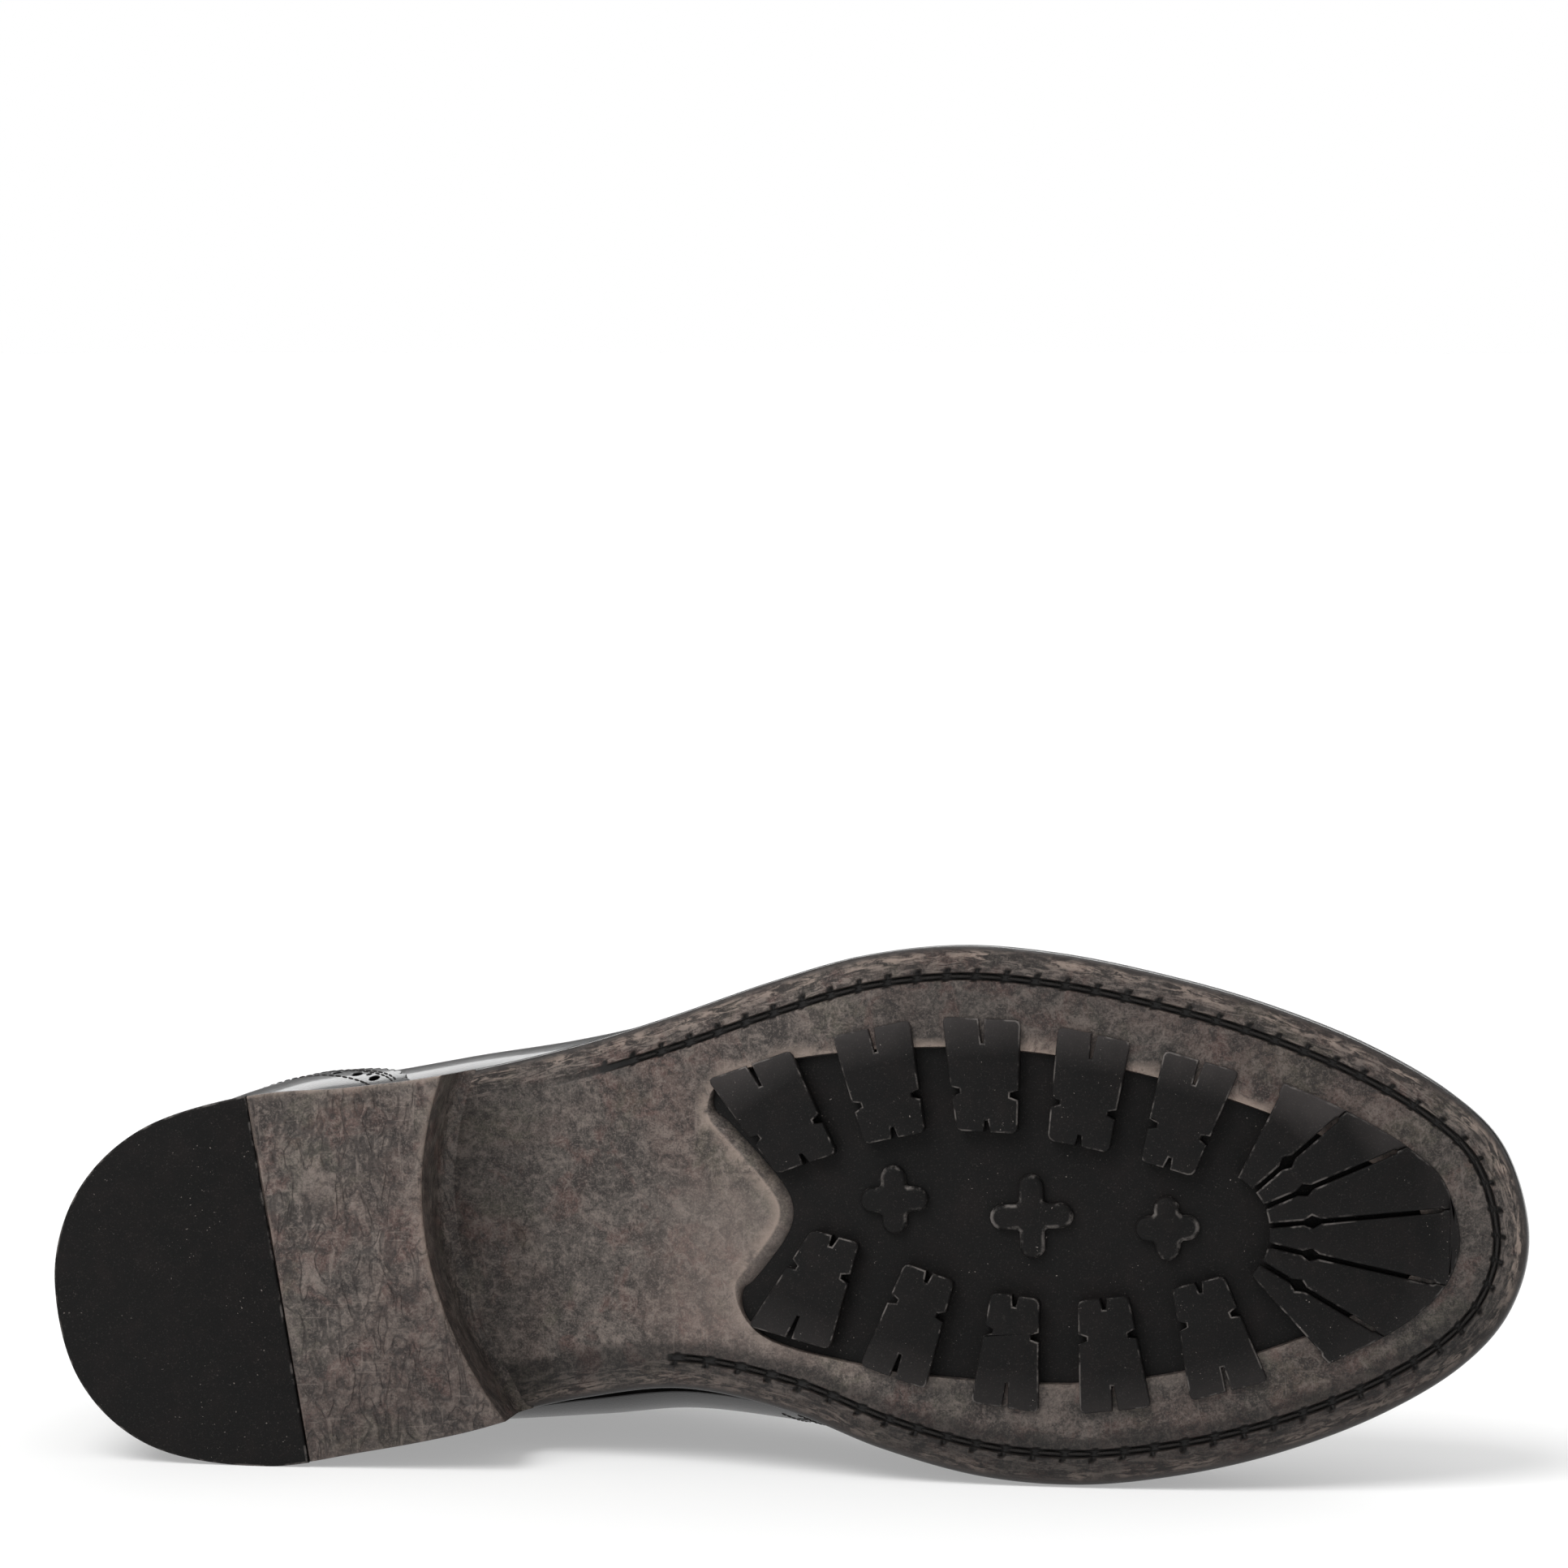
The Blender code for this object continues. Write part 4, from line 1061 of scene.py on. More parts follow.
class Bench:
    """Shapes a piece by hand with Blender's operators, standing, in metres."""

    @staticmethod
    def clear() -> None:
        """Leaves edit mode and deselects everything."""
        if bpy.context.object and bpy.context.object.mode != "OBJECT":
            bpy.ops.object.mode_set(mode="OBJECT")
        bpy.ops.object.select_all(action="DESELECT")

    @staticmethod
    def select_faces() -> None:
        """Enters edit mode and selects every face of the active object."""
        bpy.context.tool_settings.mesh_select_mode = (False, False, True)
        bpy.ops.object.mode_set(mode="EDIT")
        bpy.ops.mesh.select_all(action="SELECT")

    def outline(self, name: str, plan: Array, z: float) -> bpy.types.Object:
        """Flat face with a given outline.

        Args:
            name: Name of the object.
            plan: Corners in order, in millimetres.
            z: Height of the face, in millimetres.

        Returns:
            The object, which is active.
        """
        self.clear()
        bpy.ops.mesh.primitive_circle_add(vertices=len(plan), radius=1.0, fill_type="NGON")
        made = bpy.context.object
        made.name = made.data.name = name
        points = np.column_stack([plan, np.full(len(plan), z)]) * MM
        made.data.vertices.foreach_set("co", points.ravel())
        made.data.update()
        return made

    def raise_to(self, made: bpy.types.Object, old: Array, new: Array, z: float, from_z: float) -> None:
        """Extrudes the selected face and gives it a new outline.

        Args:
            made: Object whose face is selected.
            old: Its outline so far.
            new: The new outline, with as many corners.
            z: Its new height.
            from_z: Its height so far.
        """
        bpy.ops.object.mode_set(mode="EDIT")
        bpy.ops.mesh.extrude_region_move(TRANSFORM_OT_translate={"value": (0.0, 0.0, (z - from_z) * MM)})
        bpy.ops.object.mode_set(mode="OBJECT")
        for vertex in made.data.vertices:
            if vertex.select:
                here = np.array(vertex.co[:2]) / MM
                number = int(np.argmin(np.sum((old - here) ** 2, axis=1)))
                vertex.co = Vector((*new[number], z)) * MM

    @staticmethod
    def arrays(mesh: bpy.types.Mesh) -> tuple[Array, Array]:
        """Points in millimetres and face normals of a mesh.

        Args:
            mesh: Mesh to read.

        Returns:
            The points and the normals, a row for each.
        """
        points, normals = np.empty(len(mesh.vertices) * 3), np.empty(len(mesh.polygons) * 3)
        mesh.vertices.foreach_get("co", points)
        mesh.polygons.foreach_get("normal", normals)
        return points.reshape(-1, 3) / MM, normals.reshape(-1, 3)

    def select_edges(self, made: bpy.types.Object, wanted: Array) -> None:
        """Selects edges by a mask and enters edit mode.

        Args:
            made: Piece to work on.
            wanted: Mask of the edges.
        """
        mesh = made.data
        bpy.context.tool_settings.mesh_select_mode = (False, True, False)
        mesh.vertices.foreach_set("select", np.zeros(len(mesh.vertices), bool))
        mesh.polygons.foreach_set("select", np.zeros(len(mesh.polygons), bool))
        mesh.edges.foreach_set("select", wanted)
        bpy.ops.object.mode_set(mode="EDIT")

    def rim_edges(self, made: bpy.types.Object, z: float) -> Array:
        """Tells which edges lie round a level face at a height.

        Args:
            made: Piece to work on.
            z: Height of the face, in millimetres.

        Returns:
            A mask of the edges.
        """
        mesh = made.data
        points, normals = self.arrays(mesh)
        level = np.zeros(len(mesh.edges), int)
        for polygon in mesh.polygons:
            if abs(normals[polygon.index, 2]) > 0.9:
                for corner in polygon.loop_indices:
                    level[mesh.loops[corner].edge_index] += 1
        ends = np.array([edge.vertices[:] for edge in mesh.edges])
        return (np.abs(points[ends][:, :, 2] - z) < 1e-4).all(axis=1) & (level == 1)

    def bevel(self, made: bpy.types.Object, wanted: Array, size: float, segments: int) -> None:
        """Rounds selected edges.

        Args:
            made: Piece to work on.
            wanted: Mask of the edges.
            size: Reach of the rounding, in millimetres.
            segments: Number of steps across it.
        """
        self.select_edges(made, wanted)
        bpy.ops.mesh.bevel(offset=size * MM, offset_type="OFFSET", segments=segments, affect="EDGES")
        bpy.ops.object.mode_set(mode="OBJECT")

    def outwards(self) -> None:
        """Turns all faces of the active piece outwards."""
        bpy.ops.object.mode_set(mode="EDIT")
        bpy.ops.mesh.select_all(action="SELECT")
        bpy.ops.mesh.normals_make_consistent(inside=False)
        bpy.ops.object.mode_set(mode="OBJECT")

    def cut(self, point: Array, direction: Array) -> None:
        """Cuts edges into the active piece along a plane.

        Args:
            point: Point on the plane, in millimetres.
            direction: Direction across the plane.
        """
        self.select_faces()
        bpy.ops.mesh.bisect(plane_co=Vector(point) * MM, plane_no=Vector(direction))
        bpy.ops.object.mode_set(mode="OBJECT")

    def refill(self, made: bpy.types.Object, inner: Array) -> None:
        """Divides the largest face that lies on the ground by points inside it.

        Args:
            made: Piece to work on.
            inner: Points in plan; those inside the face and clear of its outline are used.
        """
        mesh = made.data
        points, _ = self.arrays(mesh)
        faces = [list(polygon.vertices) for polygon in mesh.polygons]
        low = [i for i, face in enumerate(faces) if points[face, 2].max() < 0.05]
        loop = faces.pop(max(low, key=lambda i: mesh.polygons[i].area))
        outline = points[loop, :2]
        inner = inner[inside_outline(inner, outline)]
        inner = inner[clear_of(inner, evenly(outline, 900), 0.4)]
        flat = np.vstack([outline, inner])
        number = np.concatenate([np.array(loop), len(points) + np.arange(len(inner))])
        for corners in fill(flat, [len(loop)], outline):
            a, b, c = flat[corners]
            left = (b[0] - a[0]) * (c[1] - a[1]) > (b[1] - a[1]) * (c[0] - a[0])
            faces.append(number[corners[::-1] if left else corners].tolist())
        points = np.vstack([points, np.column_stack([inner, np.full(len(inner), points[loop, 2].mean())])])
        mesh.clear_geometry()
        mesh.from_pydata((points * MM).tolist(), [], faces)
        mesh.update()

    def block(
        self, name: str, plan: Array, low: float, high: float, size: float, cuts: Sequence[Plane] = ()
    ) -> bpy.types.Object:
        """Upright block with a rounded rim round its lower face.

        Args:
            name: Name of the object.
            plan: Its outline.
            low: Height of its lower face.
            high: Height of its upper face.
            size: Size of the rounding.
            cuts: Planes along which edges are cut into it, as points and directions.

        Returns:
            The object.
        """
        made = self.outline(name, plan, low)
        self.select_faces()
        bpy.ops.mesh.extrude_region_move(TRANSFORM_OT_translate={"value": (0.0, 0.0, (high - low) * MM)})
        bpy.ops.object.mode_set(mode="OBJECT")
        self.outwards()
        for point, direction in cuts:
            self.cut(point, direction)
        self.bevel(made, self.rim_edges(made, low), size, 3)
        return made

    def shape_points(self, made: bpy.types.Object, change: Callable[[Array], Array]) -> None:
        """Moves all points of a piece by a function of their places, in millimetres.

        Args:
            made: Piece to work on.
            change: Gives the new places of the points.
        """
        points, _ = self.arrays(made.data)
        made.data.vertices.foreach_set("co", (change(points) * MM).ravel())
        made.data.update()

    def grain(self, length: float, width: float, height: float) -> Shape:
        """Small rounded bead, such as one stitch, as a pattern for many.

        Args:
            length: Length along x, in millimetres.
            width: Width along y.
            height: Height along z.

        Returns:
            The pattern.
        """
        self.clear()
        bpy.ops.mesh.primitive_uv_sphere_add(segments=6, ring_count=4, radius=0.5)
        made = bpy.context.object
        bpy.ops.object.mode_set(mode="EDIT")
        bpy.ops.mesh.select_all(action="SELECT")
        bpy.ops.transform.resize(value=(height * MM, width * MM, length * MM))
        bpy.ops.object.mode_set(mode="OBJECT")
        points, _ = self.arrays(made.data)
        points = points[:, [2, 1, 0]] * np.array([1.0, 1.0, -1.0])
        faces: dict[int, list[list[int]]] = {}
        for polygon in made.data.polygons:
            faces.setdefault(len(polygon.vertices), []).append(list(polygon.vertices))
        bpy.data.objects.remove(made)
        return Shape(points, [np.array(group) for group in faces.values()])


def mark_edge_wear_and_highlight(made: bpy.types.Object) -> None:
    """Notes on each point how sharply its faces turn, so that a finish can lighten the edges: wear, and a
    painted highlight along them.

    Args:
        made: Piece to work on.
    """
    mesh = made.data
    total, count = np.zeros((len(mesh.vertices), 3)), np.zeros(len(mesh.vertices))
    for polygon in mesh.polygons:
        for vertex in polygon.vertices:
            total[vertex] += polygon.normal
            count[vertex] += 1
    spread = 1 - np.linalg.norm(total, axis=1) / np.maximum(count, 1)
    values = np.clip(spread * 22, 0, 1)
    for polygon in mesh.polygons:
        if polygon.area > WIDE_FACE:
            values[list(polygon.vertices)] = 0
    note(mesh, "wear", values)


class Amount:
    """A number that changes over a surface: a socket with Python's operators."""

    def __init__(self, shader: "Shader", socket: bpy.types.NodeSocket) -> None:
        """Wraps a socket of a shader."""
        self.shader, self.socket = shader, socket

    def math(self, operation: str, *others: "Amount | float", swap: bool = False) -> "Amount":
        """Adds a Math node.

        Args:
            operation: The node's operation.
            others: Its further values.
            swap: Whether this amount comes last.

        Returns:
            The node's result.
        """
        values = [*others, self] if swap else [self, *others]
        node = self.shader.node("ShaderNodeMath", {"operation": operation}, dict(enumerate(values)))
        return Amount(self.shader, node.outputs[0])

    def __add__(self, other: "Amount | float") -> "Amount":
        """Sum."""
        return self.math("ADD", other)

    __radd__ = __add__

    def __sub__(self, other: "Amount | float") -> "Amount":
        """Difference."""
        return self.math("SUBTRACT", other)

    def __rsub__(self, other: "Amount | float") -> "Amount":
        """Difference from a number."""
        return self.math("SUBTRACT", other, swap=True)

    def __mul__(self, other: "Amount | float") -> "Amount":
        """Product."""
        return self.math("MULTIPLY", other)

    __rmul__ = __mul__

    def most(self, other: "Amount | float") -> "Amount":
        """The larger of two amounts."""
        return self.math("MAXIMUM", other)

    def wave(self) -> "Amount":
        """Sine, brought between 0 and 1."""
        return self.math("SINE") * 0.5 + 0.5

    def eased(self, low: float, high: float) -> "Amount":
        """Goes smoothly from 0 to 1 between two values; from 1 to 0 where low is the larger.

        Args:
            low: Value that gives 0.
            high: Value that gives 1.

        Returns:
            The eased amount.
        """
        inputs = {"Value": self, "From Min": min(low, high), "From Max": max(low, high)}
        inputs |= {"To Min": float(low > high), "To Max": float(low < high)}
        node = self.shader.node("ShaderNodeMapRange", {"interpolation_type": "SMOOTHSTEP"}, inputs)
        return Amount(self.shader, node.outputs[0])


Colour = tuple[float, float, float]


class Shader:
    """A material under construction, on the standing shoe's own millimetres."""

    def __init__(self, name: str) -> None:
        """Starts an empty material.

        Args:
            name: Name of the material.
        """
        self.material = bpy.data.materials.new(name)
        self.material.use_nodes = True
        self.tree = self.material.node_tree
        self.tree.nodes.clear()

    def node(self, kind: str, settings: dict[str, Any], inputs: dict[Any, Any]) -> bpy.types.Node:
        """Adds any node.

        Args:
            kind: The node's type.
            settings: Its own settings, which are set first.
            inputs: Values or links of its sockets, by name or number.

        Returns:
            The node.
        """
        made = self.tree.nodes.new(kind)
        for name, value in settings.items():
            setattr(made, name, value)
        for name, value in inputs.items():
            socket = made.inputs[name]
            if isinstance(value, Amount):
                self.tree.links.new(value.socket, socket)
            elif isinstance(value, bpy.types.NodeSocket):
                self.tree.links.new(value, socket)
            elif isinstance(value, tuple) and socket.type == "RGBA":
                socket.default_value = (*value, 1.0)
            else:
                socket.default_value = value
        return made

    def mark(self, name: str) -> Amount:
        """A value that the piece carries on its points."""
        return Amount(self, self.node("ShaderNodeAttribute", {"attribute_name": name}, {}).outputs["Fac"])

    def vector(self) -> bpy.types.NodeSocket:
        """Place on the standing shoe."""
        return self.node("ShaderNodeAttribute", {"attribute_name": "shoe"}, {}).outputs["Vector"]

    def place(self, scale: Colour, shift: Colour = (0.0, 0.0, 0.0)) -> bpy.types.NodeSocket:
        """Place on the standing shoe, stretched and moved."""
        inputs = {"Vector": self.vector(), "Scale": scale, "Location": shift}
        return self.node("ShaderNodeMapping", {}, inputs).outputs[0]

    def axis(self, number: int) -> Amount:
        """One coordinate on the standing shoe."""
        return Amount(self, self.node("ShaderNodeSeparateXYZ", {}, {"Vector": self.vector()}).outputs[number])

    def noise(
        self,
        size: float,
        detail: float = 2.0,
        rough: float = 0.5,
        warp: float = 0.0,
        stretch: Colour = (1.0, 1.0, 1.0),
        seed: float = 0.0,
    ) -> Amount:
        """Noise with grains of about a given size.

        Args:
            size: Size of a grain, in millimetres.
            detail: Octaves of finer noise.
            rough: Strength of the finer noise.
            warp: How far the noise is distorted.
            stretch: Factors by which grains are longer along x, y and z.
            seed: Moves the pattern, so that two noises differ.

        Returns:
            Values about 0.5.
        """
        scale = tuple(1 / (size * factor) for factor in stretch)
        where = self.place(scale, (seed * 7.3, seed * 3.1, seed * 5.7))
        inputs = {"Vector": where, "Scale": 1.0, "Detail": detail, "Roughness": rough, "Distortion": warp}
        return Amount(self, self.node("ShaderNodeTexNoise", {}, inputs).outputs[0])

    def cells(self, size: float) -> Amount:
        """Distance to the edge of irregular cells of about a given size.

        Args:
            size: Size of a cell, in millimetres.

        Returns:
            The distance, in sizes of a cell.
        """
        inputs = {"Vector": self.place((1 / size,) * 3), "Scale": 1.0}
        node = self.node("ShaderNodeTexVoronoi", {"feature": "DISTANCE_TO_EDGE"}, inputs)
        return Amount(self, node.outputs["Distance"])

    def mix(self, amount: Amount | float, first: Any, second: Any) -> bpy.types.NodeSocket:
        """Colour between two colours."""
        node = self.node("ShaderNodeMix", {"data_type": "RGBA"}, {0: amount, 6: first, 7: second})
        return node.outputs[2]

    def dim(self, colour: Any, amount: Amount) -> bpy.types.NodeSocket:
        """Colour that is darkened by an amount."""
        inputs = {0: colour, "Scale": 1 - amount}
        return self.node("ShaderNodeVectorMath", {"operation": "SCALE"}, inputs).outputs[0]

    def bump(self, height: Amount, depth: float, strength: float) -> bpy.types.NodeSocket:
        """Normal of a surface that is raised by an amount, where 1 stands for a depth in millimetres."""
        inputs = {"Height": height, "Distance": depth * MM, "Strength": strength}
        return self.node("ShaderNodeBump", {}, inputs).outputs[0]

    def finish(self, **inputs: Any) -> bpy.types.Material:
        """Closes the material with a Principled shader.

        Args:
            inputs: What goes into the shader's sockets, by name.

        Returns:
            The material.
        """
        names = (name.replace("_", " ").title().replace("Ior", "IOR") for name in inputs)
        surface = self.node("ShaderNodeBsdfPrincipled", {}, dict(zip(names, inputs.values())))
        self.node("ShaderNodeOutputMaterial", {}, {"Surface": surface.outputs[0]})
        return self.material


@dataclass(frozen=True)
class BurnishedSole:
    """Brown sole stock, burnished and mottled, with scuffs and polished black sides; painted shade darkens
    its groove and recesses, the ripples' troughs and its medial side, and painted light brightens the
    ripples' crests and the heel's breast.
    """

    brown: Colour = (0.128, 0.090, 0.077)
    grey: Colour = (0.090, 0.077, 0.068)
    dark: Colour = (0.030, 0.024, 0.022)
    light: Colour = (0.255, 0.208, 0.182)
    tan: Colour = (0.300, 0.235, 0.196)
    rust: Colour = (0.122, 0.064, 0.054)
    olive: Colour = (0.098, 0.092, 0.066)
    # Painted shade: near black for the sewn groove, the pocket's wall and the heel's breast
    soot: Colour = (0.009, 0.008, 0.0075)
    polish: Colour = (0.010, 0.009, 0.009)

    def mottled(self, s: Shader) -> tuple[Any, Amount, Amount]:
        """Colour of the bare stock, with its blotches and its two grains.

        Args:
            s: Shader of the finish.

        Returns:
            The colour, the grain and the fine grain.
        """
        colour = s.mix(s.noise(34, 3, 0.55, 0.4).eased(0.38, 0.60), self.brown, self.grey)
        colour = s.mix(s.noise(13, 4, 0.6, 0.8, seed=2).eased(0.51, 0.62) * 0.70, colour, self.rust)
        colour = s.mix(s.noise(19, 4, 0.6, 0.8, seed=5).eased(0.53, 0.64) * 0.60, colour, self.olive)
        for size, light, dark, seed in ((9.0, 0.46, 0.70, 3), (2.6, 0.52, 0.72, 14)):
            blotch = s.noise(size, 6, 0.68, 0.9, seed=seed)
            colour = s.mix(blotch.eased(0.50, 0.61) * dark, colour, self.dark)
            colour = s.mix(blotch.eased(0.47, 0.37) * light, colour, self.light)
        grain, fine = s.noise(0.95, 4, 0.7, 0.3, seed=9), s.noise(0.4, 2, 0.6, seed=8)
        for noise, light, dark in ((grain, 0.40, 0.52), (fine, 0.40, 0.46)):
            colour = s.mix(noise.eased(0.52, 0.67) * light, colour, self.light)
            colour = s.mix(noise.eased(0.48, 0.33) * dark, colour, self.dark)
        return colour, grain, fine

    def material(self) -> bpy.types.Material:
        """Builds the finish; the piece carries its margin, sides, groove (painted shade), heel, run and rim.

        Returns:
            The material.
        """
        s = Shader("burnished_sole")
        marks = ("margin", "side", "groove", "heel", "run", "rim")
        margin, side, groove, heel, run, rim = (s.mark(name) for name in marks)
        colour, grain, fine = self.mottled(s)
        ripple = s.noise(4.2, 2, 0.45, 0.8, (1.0, 2.2, 1.0), 4)
        ripples = heel * s.noise(14, 2, 0.5, seed=15).eased(0.30, 0.48)
        trough = (ripple - 0.5).math("ABSOLUTE").eased(0.05, 0.0)
        colour = s.dim(colour, heel * 0.24)
        # Painted highlight and shade on the heel's ripples: crests lighter, troughs darker
        colour = s.mix(ripple.eased(0.51, 0.68) * ripples * 0.17, colour, self.light)
        colour = s.mix(trough * ripples * 0.60, colour, self.dark)
        lengthwise = s.noise(0.8, 3, 0.6, 0.5, (14.0, 1.0, 1.0), 6)
        scratch = lengthwise.most(s.noise(0.8, 3, 0.6, 0.5, (1.6, 12.0, 1.0), 7))
        colour = s.mix(scratch.eased(0.62, 0.72) * 0.36, colour, self.light)
        where = s.node("ShaderNodeCombineXYZ", {}, {0: run * 0.25, 1: margin * 1.2}).outputs[0]
        inputs = {"Vector": where, "Scale": 1.0, "Detail": 4.0, "Roughness": 0.65, "Distortion": 0.8}
        scuff = Amount(s, s.node("ShaderNodeTexNoise", {}, inputs).outputs[0])
        outer = margin.eased(6.6, 5.2) * (1 - heel)
        colour = s.mix(scuff.eased(0.52, 0.62) * outer * 0.75, colour, self.light)
        colour = s.mix(scuff.eased(0.49, 0.38) * outer * 0.75, colour, self.dark)
        patch = s.noise(4.5, 6, 0.72, 0.6, seed=12)
        # Mask of the medial side, which lies lowest: the sole is dimmed there and its worn patches and tan
        # rims are weakened, partly real darkening and partly painted shade
        low = s.axis(1).eased(-6.0, 22.0)
        shade = (s.axis(0).eased(124.0, 90.0) * (1 - heel) * 0.42).most(s.axis(0).eased(146.0, 180.0) * 0.46)
        colour = s.dim(colour, shade.most((1 - heel) * 0.26))
        near_notch = s.axis(0).eased(114.0, 140.0) * s.axis(0).eased(168.0, 148.0)
        near_notch = near_notch * s.axis(1).eased(-24.0, -8.0) * s.axis(1).eased(26.0, 10.0)
        colour = s.mix(near_notch * 0.26, colour, self.light)
        worn = margin.eased(0.5, 1.3) * margin.eased(4.4, 1.4) * scuff.eased(0.44, 0.58)
        worn = worn * (1 - low * 0.7) * (1 - heel)
        worn = worn * s.noise(9, 4, 0.65, seed=16).eased(0.42, 0.58)
        # Darker towards the medial edge: partly real darkening, partly painted shade
        colour = s.dim(colour, low * margin.eased(30.0, 6.0) * (0.62 - heel * 0.35))
        colour = s.mix(worn * 0.80, colour, self.tan)
        colour = s.mix(rim * patch.eased(0.34, 0.54) * (0.70 - low * 0.55), colour, self.tan)
        colour = s.mix(margin.eased(2.2, 0.5) * (1 - heel) * 0.80, colour, self.dark)
        # Painted shade in recesses: the groove mark darkens the sewn groove, the pocket's wall and the heel's
        # breast
        colour = s.mix(groove, colour, self.soot)
        colour = s.mix(side, colour, self.polish)
        patches = s.noise(9, 3, 0.6, seed=13)
        rough = (0.34 + patches * 0.24 + fine * 0.16) * (1 - side) + side * (0.14 + patches * 0.16)
        swell = (ripple * 5.0 - trough * 0.9) * ripples
        height = fine * 0.30 + grain * 0.50 + swell + scratch * 0.4 + scuff * outer
        normal = s.bump(height * (1 - side * 0.85), 0.22, 0.85)
        return s.finish(base_color=colour, roughness=rough, normal=normal, specular_ior_level=0.4)


@dataclass(frozen=True)
class BlackRubber:
    """Matte black rubber with dust, a fine moulded skin, and paler edges and slopes that are partly wear and
    partly painted highlight and sheen.
    """

    black: Colour = (0.0062, 0.0060, 0.0059)
    brown: Colour = (0.0125, 0.0098, 0.0094)
    # Paler colour of the slopes: wear, and a painted sheen where they face up to the light
    worn: Colour = (0.050, 0.044, 0.043)
    # Paler colour of the edges: wear, and a painted highlight along them
    pale: Colour = (0.21, 0.19, 0.178)
    dust: Colour = (0.26, 0.23, 0.21)

    def material(self) -> bpy.types.Material:
        """Builds the finish; the piece carries its wear, which also places a painted highlight on its edges,
        and its slopes, which also carry a painted sheen.

        Returns:
            The material.
        """
        s = Shader("black_rubber")
        wear, slope = s.mark("wear"), s.mark("slope")
        patches, fine = s.noise(7, 5, 0.65, 0.3), s.noise(0.35, 3, 0.6, seed=2)
        colour = s.mix(patches.eased(0.40, 0.75) * 0.5, self.black, self.brown)
        # Slopes lighter: partly wear, partly painted sheen
        colour = s.mix(slope * (0.35 + patches * 0.45), colour, self.worn)
        # Edges lighter: partly wear, partly painted highlight
        colour = s.mix(wear * s.noise(4, 4, 0.65, seed=6).eased(0.47, 0.64) * 0.55, colour, self.pale)
        clouds = s.noise(12, 3, 0.6, seed=7).eased(0.46, 0.60)
        specks = s.noise(0.55, 2, 0.5, seed=5).eased(0.715, 0.76) * clouds
        colour = s.mix(specks * 0.8, colour, self.dust)
        colour = s.mix(fine.eased(0.56, 0.72) * 0.06, colour, self.dust)
        rough = 0.52 + patches * 0.12 - slope * 0.08
        normal = s.bump(fine * 0.6 + s.noise(1.6, 3, 0.6, seed=4) * 0.6, 0.07, 0.6)
        return s.finish(base_color=colour, roughness=rough, normal=normal, specular_ior_level=0.14)


@dataclass(frozen=True)
class BlackLeather:
    """Polished black calf with fine pores, a soft wrinkle and a waxed gloss."""

    name: str = "black_leather"
    black: Colour = (0.0040, 0.0038, 0.0040)
    warm: Colour = (0.0095, 0.0076, 0.0068)
    gloss: float = 0.20
    coat: float = 0.45
    pore: float = 0.75

    def material(self) -> bpy.types.Material:
        """Builds the finish.

        Returns:
            The material.
        """
        s = Shader(self.name)
        patches = s.noise(22, 4, 0.55, 0.4)
        pores = s.cells(self.pore)
        fine = s.noise(0.45, 3, 0.6, seed=3)
        wrinkle = s.noise(3.4, 4, 0.6, 1.1, (1.0, 1.6, 1.6), 6)
        colour = s.mix(patches.eased(0.42, 0.75) * 0.6, self.black, self.warm)
        colour = s.mix(fine.eased(0.62, 0.78) * 0.2, colour, self.warm)
        rough = self.gloss + patches * 0.14 + fine * 0.08
        height = pores.eased(0.0, 0.16) * 0.5 + fine * 0.3 + wrinkle * 0.5
        normal = s.bump(height, 0.045, 0.55)
        wax = {"coat_weight": self.coat, "coat_roughness": 0.10, "specular_ior_level": 0.32}
        return s.finish(base_color=colour, roughness=rough, normal=normal, **wax)


@dataclass(frozen=True)
class EdgeDye:
    """Black edge dye on the welt, burnished and a little uneven."""

    black: Colour = (0.012, 0.011, 0.010)
    brown: Colour = (0.040, 0.033, 0.028)

    def material(self) -> bpy.types.Material:
        """Builds the finish.

        Returns:
            The material.
        """
        s = Shader("dark_welt")
        patches = s.noise(7, 4, 0.6, 0.4)
        fine = s.noise(0.5, 3, 0.6, seed=2)
        colour = s.mix(patches.eased(0.45, 0.72) * 0.7, self.black, self.brown)
        rough = 0.26 + patches * 0.2 + fine * 0.1
        normal = s.bump(fine * 0.6 + patches * 0.4, 0.06, 0.6)
        wax = {"coat_weight": 0.2, "coat_roughness": 0.2}
        return s.finish(base_color=colour, roughness=rough, normal=normal, **wax)


@dataclass(frozen=True)
class TanLining:
    """Vegetable tanned lining with a visible grain and darker, handled patches."""

    tan: Colour = (0.36, 0.215, 0.115)
    deep: Colour = (0.20, 0.105, 0.052)
    pale: Colour = (0.47, 0.31, 0.185)

    def material(self) -> bpy.types.Material:
        """Builds the finish.

        Returns:
            The material.
        """
        s = Shader("tan_lining")
        patches = s.noise(16, 4, 0.6, 0.5)
        fine = s.noise(0.6, 4, 0.65, seed=3)
        pores = s.cells(0.9)
        colour = s.mix(patches.eased(0.42, 0.70), self.tan, self.deep)
        colour = s.mix(fine.eased(0.52, 0.75) * 0.5, colour, self.pale)
        colour = s.mix(pores.eased(0.10, 0.0) * 0.35, colour, self.deep)
        rough = 0.55 + fine * 0.2
        normal = s.bump(pores.eased(0.0, 0.15) * 0.5 + fine * 0.5, 0.06, 0.6)
        return s.finish(base_color=colour, roughness=rough, normal=normal)


